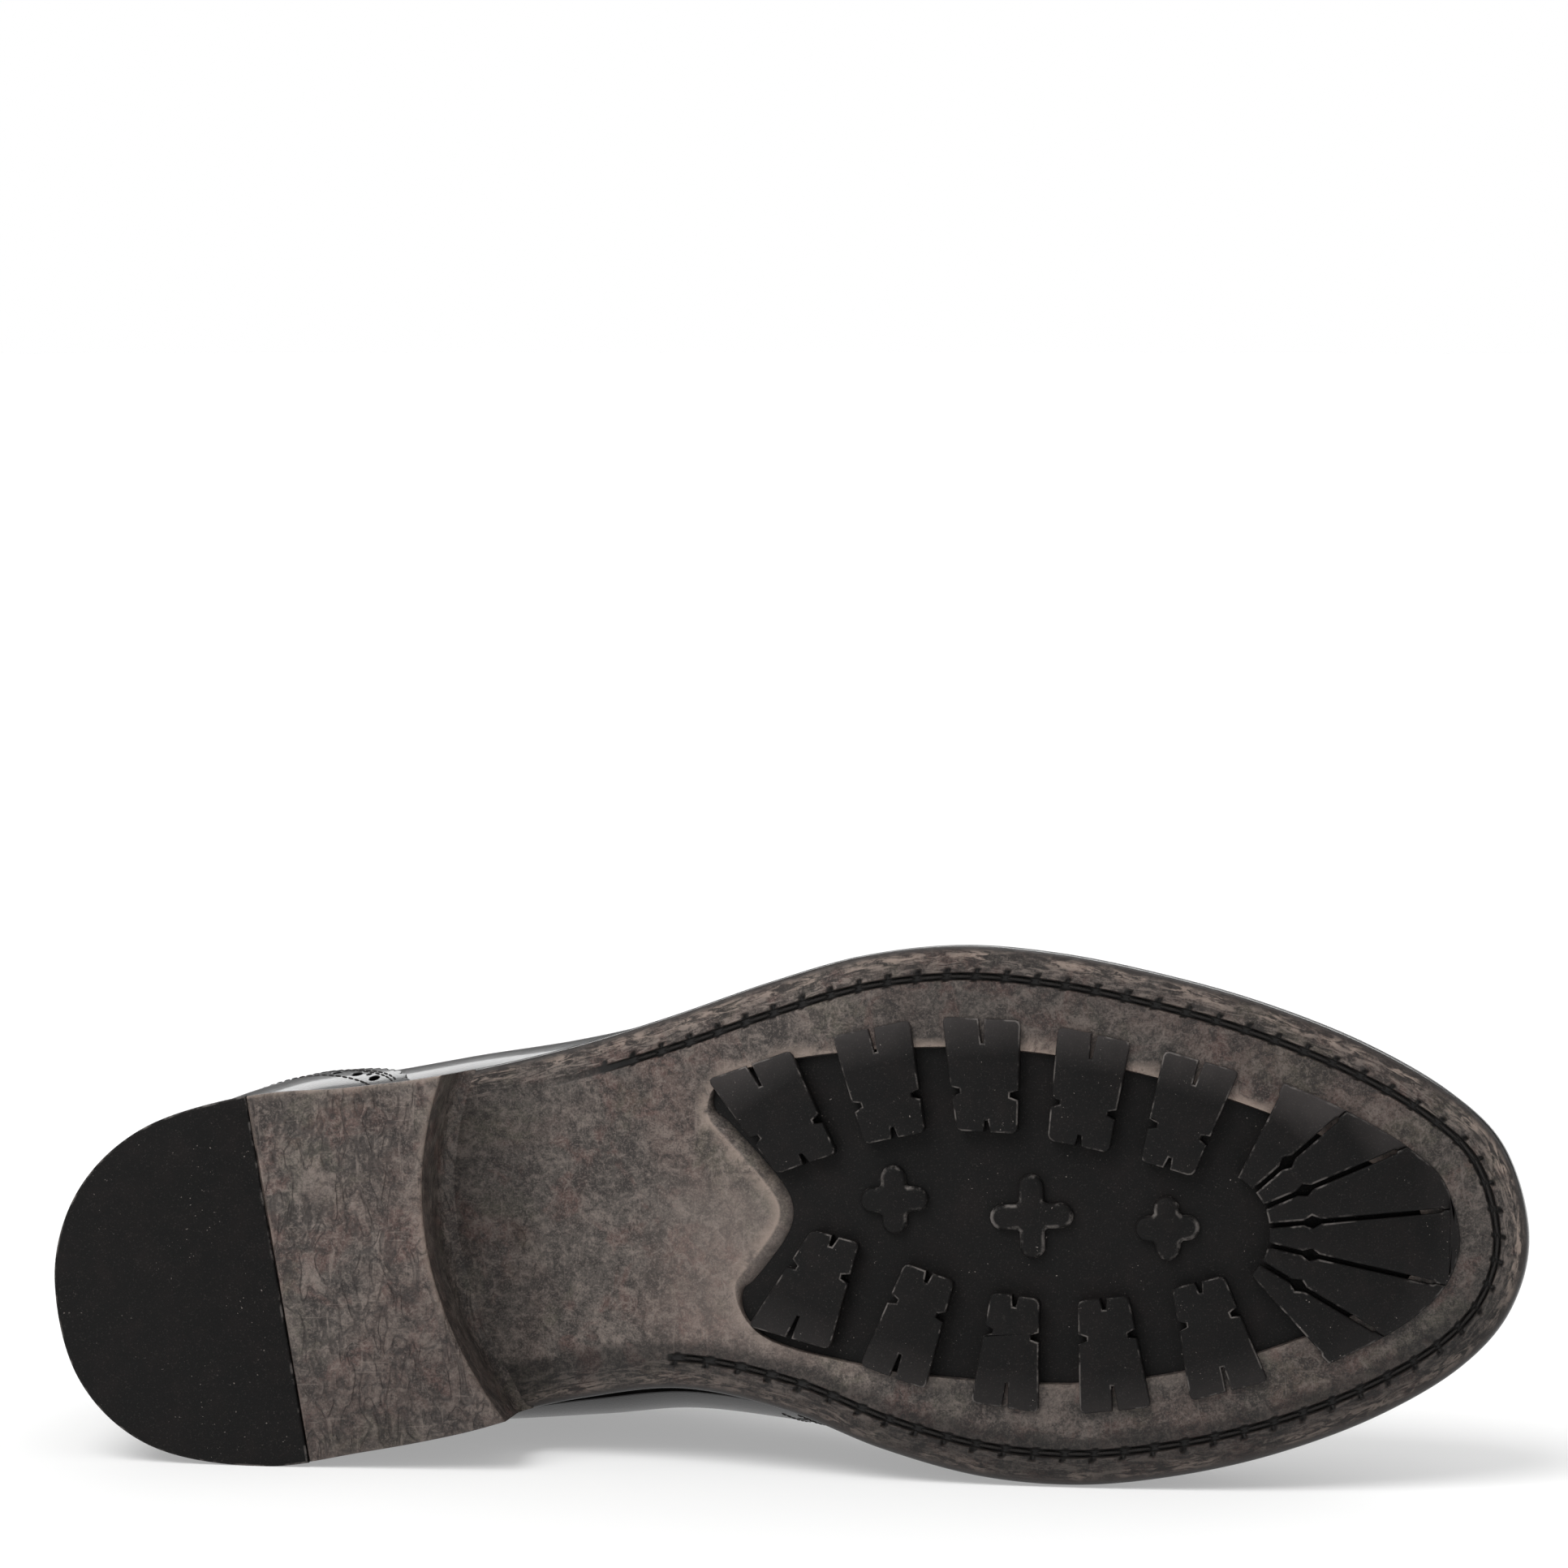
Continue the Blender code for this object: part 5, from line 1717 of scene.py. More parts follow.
@dataclass(frozen=True)
class Thread:
    """Twisted thread: fine slanting plies along each stitch."""

    name: str = "black_thread"
    base: Colour = (0.014, 0.013, 0.013)
    light: Colour = (0.042, 0.038, 0.036)
    ply: float = 0.34

    def material(self) -> bpy.types.Material:
        """Builds the finish.

        Returns:
            The material.
        """
        s = Shader(self.name)
        fuzz = s.noise(0.3, 2, 0.6, seed=2)
        plies = ((s.axis(0) + s.axis(1) * 0.8 + s.axis(2) * 0.9) * (6.283 / self.ply)).wave()
        colour = s.mix(plies * 0.6 + fuzz * 0.3, self.base, self.light)
        normal = s.bump(plies * 0.7 + fuzz * 0.4, 0.08, 0.7)
        return s.finish(base_color=colour, roughness=0.62 + fuzz * 0.2, normal=normal, specular_ior_level=0.3)


@dataclass(frozen=True)
class WovenLace:
    """Round waxed cotton lace with a braid that follows the lace."""

    black: Colour = (0.010, 0.010, 0.010)
    light: Colour = (0.050, 0.047, 0.045)
    turns: float = 5.0
    pitch: float = 1.5

    def material(self) -> bpy.types.Material:
        """Builds the finish; the piece carries its run and its turn round the lace.

        Returns:
            The material.
        """
        s = Shader("black_cotton")
        run, turn = s.mark("run") * (6.283 / self.pitch), s.mark("turn") * (6.283 * self.turns)
        braid = (run + turn).wave().most((run - turn).wave())
        fuzz = s.noise(0.25, 2, 0.6, seed=2)
        colour = s.mix(braid.eased(0.55, 1.0) * 0.6 + fuzz * 0.25, self.black, self.light)
        normal = s.bump(braid * 0.8 + fuzz * 0.3, 0.12, 0.8)
        return s.finish(base_color=colour, roughness=0.66 + fuzz * 0.2, normal=normal, specular_ior_level=0.3)


@dataclass(frozen=True)
class BlackEnamel:
    """Eyelet metal with black enamel that is worn to grey on its crown."""

    enamel: Colour = (0.020, 0.020, 0.021)
    metal: Colour = (0.22, 0.21, 0.20)

    def material(self) -> bpy.types.Material:
        """Builds the finish; the piece carries its wear.

        Returns:
            The material.
        """
        s = Shader("black_metal")
        patches = s.noise(1.2, 3, 0.6)
        bare = s.mark("wear") * patches.eased(0.40, 0.70)
        colour = s.mix(bare, self.enamel, self.metal)
        normal = s.bump(s.noise(0.4, 2, 0.6, seed=2), 0.02, 0.4)
        rough, metallic = 0.26 + patches * 0.16, 0.25 + bare * 0.7
        return s.finish(base_color=colour, roughness=rough, metallic=metallic, normal=normal)


@dataclass(frozen=True)
class PaleFloor:
    """Plain pale floor of the studio."""

    white: Colour = (0.58, 0.58, 0.577)
    cloud: Colour = (0.565, 0.565, 0.562)
    glow: float = 0.34

    def material(self) -> bpy.types.Material:
        """Builds the finish, which glows a little so that shadows stay pale.

        Returns:
            The material.
        """
        s = Shader("pale_floor")
        colour = s.mix(s.noise(90, 2, 0.5) * 0.1, self.white, self.cloud)
        glow = {"emission_color": (1, 1, 1), "emission_strength": self.glow}
        return s.finish(base_color=colour, roughness=0.75, specular_ior_level=0.2, **glow)


class Finishes:
    """All finishes of the shoe, each built once."""

    def __init__(self) -> None:
        """Builds the materials."""
        self.sole = BurnishedSole().material()
        self.rubber = BlackRubber().material()
        self.leather = BlackLeather().material()
        self.trim = BlackLeather(name="black_trim", gloss=0.27, coat=0.25, pore=0.55).material()
        self.welt = EdgeDye().material()
        self.lining = TanLining().material()
        self.thread = Thread().material()
        waxed = Thread("sole_thread", (0.010, 0.009, 0.0085), (0.024, 0.021, 0.019), 0.5)
        self.sole_thread = waxed.material()
        self.lace = WovenLace().material()
        self.enamel = BlackEnamel().material()


@dataclass
class Outsole:
    """The brown outsole: rounded edge, sewn groove, waist and the pocket of the tread."""

    last: Last
    around: int = 1440
    groove_inset: float = 6.3
    groove_half: float = 0.78
    groove_depth: float = 1.15
    slot_reach: float = 1.5
    groove_start: float = 113.0
    groove_start_medial: float = 124.8
    stitch_pitch: float = 6.4
    thread_length: float = 5.5
    tread_inset: float = 20.3
    tip_pinch: float = 4.4
    tread_start_lateral: float = 7.3
    tread_start_medial: float = 7.55
    notch_x: float = 150.5
    notch_lateral: float = 9.5
    notch_nose: float = 4.0
    notch_slope: float = 0.96
    rear_slope: float = 2.7
    disc_x: float = 91.8
    disc_lateral: float = 4.7
    disc_radius: float = 3.4
    # Inset, height over the underside and polish of each row round the edge
    edge_rows: Profile = (
        (0.5, 6.0, 1), (0.12, 5.8, 1), (0.0, 5.4, 1), (0.0, 3.4, 1), (0.0, 1.5, 1), (0.1, 0.85, 0.95),
        (0.32, 0.42, 0.6), (0.7, 0.14, 0.2), (1.2, 0.02, 0.0), (2.2, 0.0, 0.0), (3.4, 0.0, 0.0),
    )
    # Insets of the rows across the groove
    groove_rows: tuple[float, ...] = (
        4.3, 4.8, 5.1, 5.35, 5.5, 5.65, 5.8, 6.0, 6.3, 6.6, 6.8, 6.95, 7.1, 7.25, 7.5, 7.8, 8.2, 8.8,
    )
    # Share of the pocket wall's width, height and shadow of each row down it
    wall_rows: Profile = ((0.16, 0.10, 0.0), (0.5, 0.75, 0.12), (0.95, 1.75, 0.55), (1.0, 3.6, 1.0))

    def rim(self) -> tuple[Array, Array, Array]:
        """Sides, stations and run of points that are evenly spaced round the sole.

        Returns:
            The sides, the stations and the distances round the edge in millimetres.
        """
        t = np.linspace(0, 2 * self.last.end, 6801)
        length = lengths(self.last.edge(*self.last.around(t)))
        run = np.linspace(0, length[-1], self.around, endpoint=False)
        return *self.last.around(np.interp(run, length, t)), run

    def groove_strength(self, side: Array, u: Array) -> Array:
        """Share of the groove's depth, which sets in slowly on the lateral side and at once on the other.

        Args:
            side: Sides of the shoe, -1 lateral and 1 medial.
            u: Stations along the shoe.

        Returns:
            Shares from 0 to 1.
        """
        x = self.last.edge(side, u)[:, 0]
        lateral = 0.22 * smooth_step((x - 100) / 4) + 0.78 * smooth_step((x - self.groove_start + 4) / 9)
        return np.where(side < 0, lateral, smooth_step((x - self.groove_start_medial) / 1.6))

    def groove_height(self, inset: float, run: Array, strength: Array) -> Array:
        """Height of the margin over the flat underside: the groove, its lips and the awl's slots.

        Args:
            inset: Distance from the edge, in millimetres.
            run: Distances round the edge.
            strength: Shares of the groove's depth.

        Returns:
            Heights, in millimetres.
        """
        off = abs(inset - self.groove_inset)
        deep = 1 - smooth_step((off - self.groove_half + 0.22) / 0.34)
        lip = -0.10 * math.exp(-(((off - self.groove_half - 0.35) / 0.3) ** 2))
        slant = (inset - self.groove_inset) * 0.35
        beat = np.abs((run + slant) / self.stitch_pitch % 1.0 - 0.5) * self.stitch_pitch
        reach = self.slot_reach if inset < self.groove_inset else self.slot_reach * 0.55
        slot = np.exp(-((beat / 0.62) ** 4)) * (1 - smooth_step((off - reach) / 0.4)) * 0.9
        return strength * np.maximum(self.groove_depth * deep + lip, slot)

    def pocket_loop(self) -> Array:
        """Outline of the tread's pocket in plan, with its corners rounded.

        Returns:
            Points of the outline, in order.
        """
        last, a = self.last, np.linspace(0, 1, 240)
        sides = []
        for side, start in ((LATERAL, self.tread_start_lateral), (MEDIAL, self.tread_start_medial)):
            pinch = self.tip_pinch * (1 - smooth_step(a / 0.11))
            line = last.inset(side, start + (last.end - start) * a, self.tread_inset + pinch)
            pull = np.maximum(0.0, 1 - 2.5 * a) ** 2
            line[:, 0] += pull * (self.rear_edge(-line[:, 1]) - line[:, 0])
            sides.append(line)
        y = np.linspace(sides[1][0, 1], sides[0][0, 1], 120)[1:-1]
        rear = np.column_stack([self.rear_edge(-y), y])
        loop = np.vstack([sides[0], sides[1][::-1][1:], rear])
        return softened(evenly(loop, 560), 1, 3)

    def rear_edge(self, lateral: Array) -> Array:
        """Back edge of the tread, which the waist runs into as a rounded point."""
        off = np.hypot(lateral - self.notch_lateral, self.notch_nose)
        return self.notch_x - self.notch_slope * (off - self.notch_nose)

    def pocket_wall(self, loop: Array) -> Array:
        """Width of the pocket's wall in plan: sloped at the back, steep elsewhere.

        Args:
            loop: Points of the pocket's outline.

        Returns:
            Width at each point, in millimetres.
        """
        rear = np.exp(-(((loop[:, 0] - self.rear_edge(-loop[:, 1])) / 2.5) ** 2))
        rear = np.mean([np.roll(rear, k) for k in range(-6, 7)], axis=0)
        return 0.35 + self.rear_slope * rear

    def build(self, shop: Workshop) -> bpy.types.Object:
        """Builds the outsole.

        Args:
            shop: Workshop that makes the piece.

        Returns:
            The piece.
        """
        last = self.last
        side, u, run = self.rim()
        strength = self.groove_strength(side, u)
        rows, marks = [], {"margin": [], "side": [], "groove": []}
        marks["run"] = [run] * (len(self.edge_rows) + len(self.groove_rows))
        for inset, height, polish in self.edge_rows:
            rows.append(last.on_sole(last.inset(side, u, inset), height))
            for name, value in zip(marks, (inset, polish, 0.0)):
                marks[name].append(np.full(len(u), value))
        for inset in self.groove_rows:
            height = self.groove_height(inset, run, strength)
            rows.append(last.on_sole(last.inset(side, u, inset), height))
            marks["margin"].append(np.full(len(u), inset))
            marks["side"].append(np.zeros(len(u)))
            # The deeper the groove, the darker it is painted: painted shade in the recess
            marks["groove"].append(np.clip(height / 0.42, 0, 1))
        points = [np.vstack(rows)]
        count = len(u)
        faces: Faces = [ring_faces(len(rows), count)[:, ::-1], np.arange(count)[None, :]]
        loop = self.pocket_loop()
        flat, triangles, sunk = self.bottom(points[0][-count:, :2], loop)
        base = len(points[0])
        points.append(last.on_sole(flat[count:], sunk[count:]))
        faces.append(base - count + triangles[:, ::-1])
        index = np.arange(len(loop))
        following = np.roll(index, -1)
        inward, width = loop_inwards(loop), self.pocket_wall(loop)
        walls = []
        for share, height, _ in self.wall_rows:
            plan = loop + inward * (width * share)[:, None]
            walls.append(last.on_sole(plan, height))
        start = base + len(flat) - count
        points += walls
        first = np.column_stack([base + index, base + following, start + following, start + index])
        last_ring = start + (len(walls) - 1) * len(loop) + index[None, ::-1]
        faces += [first[:, ::-1], ring_faces(len(walls), len(loop), start)[:, ::-1], last_ring]
        every = np.vstack(points)
        extra = np.zeros(len(every) - base)
        values = {name: np.concatenate([*column, extra]) for name, column in marks.items()}
        values["margin"][base:] = 30.0
        shadow = np.repeat([shade for _, _, shade in self.wall_rows], len(loop))
        values["groove"][start : start + len(shadow)] = shadow
        values["heel"], values["rim"] = np.zeros(len(every)), np.zeros(len(every))
        values["rim"][base + index] = 1.0
        return shop.piece("sole_stock", Shape(every, faces), values, 42)

    def bottom(self, ring: Array, loop: Array) -> tuple[Array, Array, Array]:
        """Triangles of the underside between the margin and the pocket, with the round recess in the waist.

        Args:
            ring: Inner edge of the margin.
            loop: Outline of the pocket.

        Returns:
            Points in plan, triangles, and how deep each point is sunk.
        """
        angle = np.arange(40) * 2 * math.pi / 40
        turn = np.column_stack([np.cos(angle), np.sin(angle)])
        middle = np.array([self.disc_x, -self.disc_lateral])
        lines = [ring, loop, *(middle + turn * (self.disc_radius + grow) for grow in (0.28, 0.0, -0.3))]
        x, y = np.meshgrid(np.arange(4.0, 300.0, 3.0), np.arange(-62.0, 50.0, 3.0))
        filler = np.column_stack([x.ravel(), y.ravel()])
        borders = np.vstack(lines)
        keep = inside_outline(filler, ring) & ~inside_outline(filler, loop) & clear_of(filler, borders, 1.3)
        flat = np.vstack([borders, filler[keep]])
        triangles = fill(flat, [len(line) for line in lines], ring)
        triangles = triangles[~inside_outline(flat[triangles].mean(axis=1), loop)]
        away = np.linalg.norm(flat - middle, axis=1)
        return flat, triangles, 0.4 * smooth_step((self.disc_radius + 0.2 - away) / 0.5)

    def threads(self, shop: Workshop, bench: Bench) -> bpy.types.Object:
        """Builds the thread that lies in the groove between the awl's slots.

        Args:
            shop: Workshop that makes the pieces.
            bench: Bench with the modelling steps.

        Returns:
            The thread.
        """
        side, u, run = self.rim()
        strength = self.groove_strength(side, u)
        at = np.arange(0, run[-1], self.stitch_pitch)
        dense = self.last.inset(side, u, self.groove_inset)
        ends = []
        for share in (0.0, 0.5, 1.0):
            where = at + (share - 0.5) * self.thread_length
            ends.append(self.last.on_sole(sampled(where, run, dense), 0.85))
        keep = np.interp(at, run, strength) > 0.9
        up = np.tile([0.0, 0.0, -1.0], (len(at), 1))
        pattern = bench.grain(self.thread_length, 0.9, 0.8)
        return shop.repeated("sole_thread", pattern, ends[1][keep], (ends[2] - ends[0])[keep], up[keep])

    def make(self, shop: Workshop, bench: Bench, finishes: Finishes) -> None:
        """Builds and dresses the outsole and its sewing."""
        shop.dress(self.build(shop), finishes.sole, Slot.SOLE, "outsole")
        shop.dress(self.threads(shop, bench), finishes.sole_thread, Slot.SOLE)


class Lug(NamedTuple):
    """One lug of the tread: its side, its ends and its widths."""

    side: float
    outer_x: float
    inner_x: float
    outer_width: float
    inner_width: float


LUGS = (
    Lug(LATERAL, 145.2, 156.9, 19.0, 13.4),
    Lug(LATERAL, 171.2, 175.4, 16.3, 12.7),
    Lug(LATERAL, 193.8, 194.2, 16.0, 12.4),
    Lug(LATERAL, 216.6, 212.5, 15.0, 12.6),
    Lug(LATERAL, 238.0, 230.2, 15.6, 11.0),
    Lug(MEDIAL, 151.6, 162.4, 17.8, 10.3),
    Lug(MEDIAL, 173.0, 181.5, 14.1, 10.7),
    Lug(MEDIAL, 195.6, 198.7, 13.8, 9.9),
    Lug(MEDIAL, 218.0, 216.4, 14.5, 10.3),
    Lug(MEDIAL, 241.0, 235.6, 16.1, 10.7),
)


@dataclass
class Tread:
    """The rubber plate in the ball of the sole, with its lugs, crosses and the fan at the toe."""

    last: Last
    sole: Outsole
    floor: float = 1.6
    base: float = 3.3
    outer_inset: float = 14.7
    inner_inset: float = 37.5
    notch_width: float = 2.0
    notch_depth: float = 1.7
    outer_notch_depth: float = 5.0
    side_notch_at: float = 0.66
    slope_share: float = 0.34
    slope_rise: float = 1.1
    fan_x: float = 238.0
    fan_lateral: float = 3.3
    fan_inner: float = 12.3
    fan_inset: float = 13.6
    fan_edges: tuple[float, ...] = (-50, -33, -15, 3, 21, 39, 61)
    fan_slit: float = 0.9
    diamond_radius: float = 21.0
    slit_end: float = 2.6
    rooted: float = 0.3
    cross_top: float = -0.3
    cross_arm: float = 2.6
    crosses: tuple[tuple[float, float, float], ...] = ((174.5, 11.4, 14), (202.4, 7.2, 17), (229.7, 4.0, 13))

    def lug_plan(self, lug: Lug) -> tuple[Array, Array, Array]:
        """Outline of a lug with a notch in each of its sides, and the middles of its outer and inner ends.

        Args:
            lug: Places and widths of the lug.

        Returns:
            The outline and the two middles, in plan.
        """
        outer, normal = self.last.inset_at(lug.side, lug.outer_x, self.outer_inset)
        inner, _ = self.last.inset_at(lug.side, lug.inner_x, self.inner_inset)
        end = np.array([normal[1], -normal[0]]) * -lug.side
        corners = np.array([
            outer - end * lug.outer_width / 2,
            outer + end * lug.outer_width / 2,
            inner + end * lug.inner_width / 2,
            inner - end * lug.inner_width / 2,
        ])
        centre, axis = (outer + inner) / 2, unit(inner - outer)
        plan = []
        shares = (0.5, self.side_notch_at, 0.5, 1 - self.side_notch_at)
        depths = (self.outer_notch_depth, self.notch_depth, 2.3, self.notch_depth)
        halves = (0.6, self.notch_width / 2, 0.7, self.notch_width / 2)
        for i, corner in enumerate(corners):
            before, after = corners[i - 1], corners[(i + 1) % 4]
            middle = corner + (after - corner) * shares[i]
            edge = unit(after - corner)
            inwards = axis if i % 2 == 0 else np.array([-edge[1], edge[0]])
            if np.dot(inwards, centre - middle) < 0:
                inwards = -inwards
            cut = 1.1
            back = unit(before - corner)
            plan += [corner + back * cut, corner + (back + edge) * cut * 0.3, corner + edge * cut]
            foot, half = middle + inwards * depths[i], edge * halves[i]
            plan += [middle - half, foot - half * 0.4, foot + half * 0.4, middle + half]
        return np.array(plan), outer, inner

    def settle(self, bench: Bench, made: bpy.types.Object, drop: Array | float, slope: Array) -> None:
        """Bends a lug along the sole, lowers its outer end and marks its edges and slopes for wear and
        painted highlight.

        Args:
            bench: Bench that the lug is shaped on.
            made: The lug.
            drop: How far each point of its face is lowered.
            slope: How far each point lies on a slope that is painted paler: wear and painted sheen.
        """

        def bend(points: Array) -> Array:
            """Moves the lug's points.

            Args:
                points: Points of the lug, in millimetres.

            Returns:
                The moved points.
            """
            points = points.copy()
            face = smooth_step((0.4 - points[:, 2]) / 1.6)
            points[:, 2] += self.last.underside(points[:, 0]) + drop * face
            return points

        bench.shape_points(made, bend)
        mark_edge_wear_and_highlight(made)
        note(made.data, "slope", slope)

    def lug(self, bench: Bench, number: int, lug: Lug) -> bpy.types.Object:
        """Builds one lug, which slopes down towards the edge of the sole.

        Args:
            bench: Bench with the modelling steps.
            number: Number in the lug's name.
            lug: Places and widths of the lug.

        Returns:
            The lug.
        """
        plan, outer, inner = self.lug_plan(lug)
        inwards = unit(inner - outer)
        length = float(np.linalg.norm(inner - outer))
        cuts = []
        for share in (0.12, self.slope_share, 0.62):
            point = outer + inwards * length * share
            cuts.append((np.array([*point, 0.0]), np.array([*inwards, 0.0])))
        made = bench.block(f"lug_{number}", plan, -self.last.lug_proud, self.floor + self.rooted, 0.42, cuts)
        rise = self.slope_rise if lug.side < 0 else 0.7
        share = ((bench.arrays(made.data)[0][:, :2] - outer) @ inwards) / length
        slope = np.clip((self.slope_share - share) / self.slope_share, 0, 1.2)
        # The slopes are painted paler on the lateral lugs, which face up towards the light: painted sheen as
        # well as wear
        self.settle(bench, made, rise * slope, np.clip(slope, 0, 1) * (1.0 if lug.side < 0 else 0.45))
        return made

    def fan_reach(self, angle: Array) -> Array:
        """Points on the inset outline of the toe, in directions from the middle of the fan.

        Args:
            angle: Directions, in radians.

        Returns:
            Points in plan, in millimetres.
        """
        rim = self.last.inset(*self.last.around(np.linspace(12, 2 * self.last.end - 12, 600)), self.fan_inset)
        turn = np.arctan2(-(rim[:, 1] + self.fan_lateral), rim[:, 0] - self.fan_x)
        order = np.argsort(turn)
        return sampled(angle, turn[order], rim[order])

    def fan_plan(self, start_deg: float, end_deg: float) -> Array:
        """Outline of one lug of the fan, with half a diamond in the slits beside it.

        Args:
            start_deg: Direction of the lug's first side, in degrees.
            end_deg: Direction of its last side, in degrees.

        Returns:
            Points of the outline, in order.
        """
        centre = np.array([self.fan_x, -self.fan_lateral])
        angle = np.radians(np.linspace(start_deg, end_deg, 9))
        share = np.linspace(1, -1, 9)[:, None]
        direction = np.column_stack([np.cos(angle), -np.sin(angle)])
        across = np.column_stack([np.sin(angle), np.cos(angle)])
        shift = -across * share * self.fan_slit / 2
        rim = self.fan_reach(angle)
        inner, outer = centre + direction * self.fan_inner + shift, rim + shift * 0.06
        sides = []
        for i, inwards, edge in ((0, -1.0, start_deg), (-1, 1.0, end_deg)):
            ends = edge in (self.fan_edges[0], self.fan_edges[-1])
            wide = 0.0 if ends else 0.85
            line = []
            for along, out in ((-1.7, 0.0), (0.0, wide), (1.7, 0.0)):
                spot = centre + direction[i] * (self.diamond_radius + along)
                line.append(spot + shift[i] + across[i] * inwards * out)
            line.append(rim[i] - direction[i] * self.slit_end + shift[i])
            line.append(rim[i] - direction[i] * (self.slit_end - 0.5) + shift[i] * 0.06)
            sides.append(np.array(line))
        return np.vstack([inner, sides[1], outer[::-1], sides[0][::-1]])

    def fan(self, bench: Bench) -> list[bpy.types.Object]:
        """Builds the lugs of the fan, which slope down towards the toe's margin.

        Args:
            bench: Bench with the modelling steps.

        Returns:
            The lugs.
        """
        made = []
        centre = np.array([self.fan_x, -self.fan_lateral])
        for number, (start, end) in enumerate(zip(self.fan_edges, self.fan_edges[1:])):
            angle = np.radians(np.array([(start + end) / 2]))
            direction = np.array([math.cos(angle[0]), -math.sin(angle[0])])
            reach = float(np.linalg.norm(self.fan_reach(angle)[0] - centre))
            width = 9.0 if number == len(self.fan_edges) - 2 else 5.5
            cuts = []
            for at in (reach - width, reach - 1.5, (self.fan_inner + reach) / 2):
                cuts.append((np.array([*(centre + direction * at), 0.0]), np.array([*direction, 0.0])))
            plan, low, high = self.fan_plan(start, end), -self.last.lug_proud, self.floor + self.rooted
            block = bench.block(f"fan_{number}", plan, low, high, 0.5, cuts)
            along = (bench.arrays(block.data)[0][:, :2] - centre) @ direction
            slope = np.clip((along - reach + width) / width, 0, 1.2)
            # The lateral fan lugs, which face the light, get the most painted sheen on their slopes, as well
            # as wear
            strength = {5: 1.6, 4: 0.8}.get(number, 0.2)
            self.settle(bench, block, slope, np.clip(slope, 0, 1) * strength)
            made.append(block)
        return made

    def cross(self, bench: Bench, number: int, x: float, lateral: float, span: float) -> bpy.types.Object:
        """Builds one small cross with round arms.

        Args:
            bench: Bench with the modelling steps.
            number: Number in the cross's name.
            x: Place along the shoe, in millimetres.
            lateral: Place across the shoe, over 0 on the lateral side.
            span: Width from tip to tip, in millimetres.

        Returns:
            The cross.
        """
        angle = np.radians(np.linspace(-90, 90, 9))
        tips = np.column_stack([np.cos(angle), np.sin(angle)]) * self.cross_arm
        tips = tips + [span / 2 - self.cross_arm, 0]
        inner = np.array([[self.cross_arm + 0.5, -self.cross_arm], [self.cross_arm, -self.cross_arm - 0.5]])
        arm = np.vstack([inner[1:], inner[:1], tips])
        plan = []
        for quarter in range(4):
            c, s = round(math.cos(quarter * math.pi / 2)), round(math.sin(quarter * math.pi / 2))
            plan.append(arm @ np.array([[c, s], [-s, c]]))
        outline = np.vstack(plan) + [x, -lateral]
        made = bench.block(f"cross_{number}", outline, self.cross_top, self.floor + self.rooted, 0.9)
        self.settle(bench, made, 0.0, np.zeros(len(made.data.vertices)))
        return made

    def plate(self, shop: Workshop) -> bpy.types.Object:
        """Builds the plate between the lugs.

        Args:
            shop: Workshop that makes the pieces.

        Returns:
            The plate.
        """
        loop = self.sole.pocket_loop()
        loop = loop + loop_inwards(loop) * (self.sole.pocket_wall(loop) * 0.97)[:, None]
        x, y = np.meshgrid(np.arange(130.0, 290.0, 2.5), np.arange(-50.0, 40.0, 2.5))
        filler = np.column_stack([x.ravel(), y.ravel()])
        keep = inside_outline(filler, loop) & clear_of(filler, loop, 1.0)
        flat = np.vstack([loop, filler[keep]])
        index = np.arange(len(loop))
        triangles = fill(flat, [len(loop)], loop)
        low, high = (self.last.on_sole(flat, z) for z in (self.floor, self.base))
        following = np.roll(index, -1)
        wall = np.column_stack([index, following, len(flat) + following, len(flat) + index])
        area = np.sum(loop[:, 0] * np.roll(loop[:, 1], -1) - np.roll(loop[:, 0], -1) * loop[:, 1])
        wall = wall if area > 0 else wall[:, ::-1]
        shape = Shape(np.vstack([low, high]), [triangles[:, ::-1], triangles + len(flat), wall])
        zero = np.zeros(len(shape.points))
        return shop.piece("tread_plate", shape, {"wear": zero, "slope": zero})

    def make(self, shop: Workshop, bench: Bench, finishes: Finishes) -> None:
        """Builds and dresses the tread.

        Args:
            shop: Workshop that makes the pieces.
            bench: Bench with the modelling steps.
            finishes: Finishes of the shoe.
        """
        shop.dress(self.plate(shop), finishes.rubber, Slot.RUBBER, "tread")
        groups = {
            "tread_lugs": [self.lug(bench, number, lug) for number, lug in enumerate(LUGS)],
            "tread_fan": self.fan(bench),
            "tread_crosses": [self.cross(bench, number, *cross) for number, cross in enumerate(self.crosses)],
        }
        for name, pieces in groups.items():
            made = shop.joined(name, pieces)
            shop.lay(made.data, angle=38)
            shop.dress(made, finishes.rubber, Slot.RUBBER, "tread")


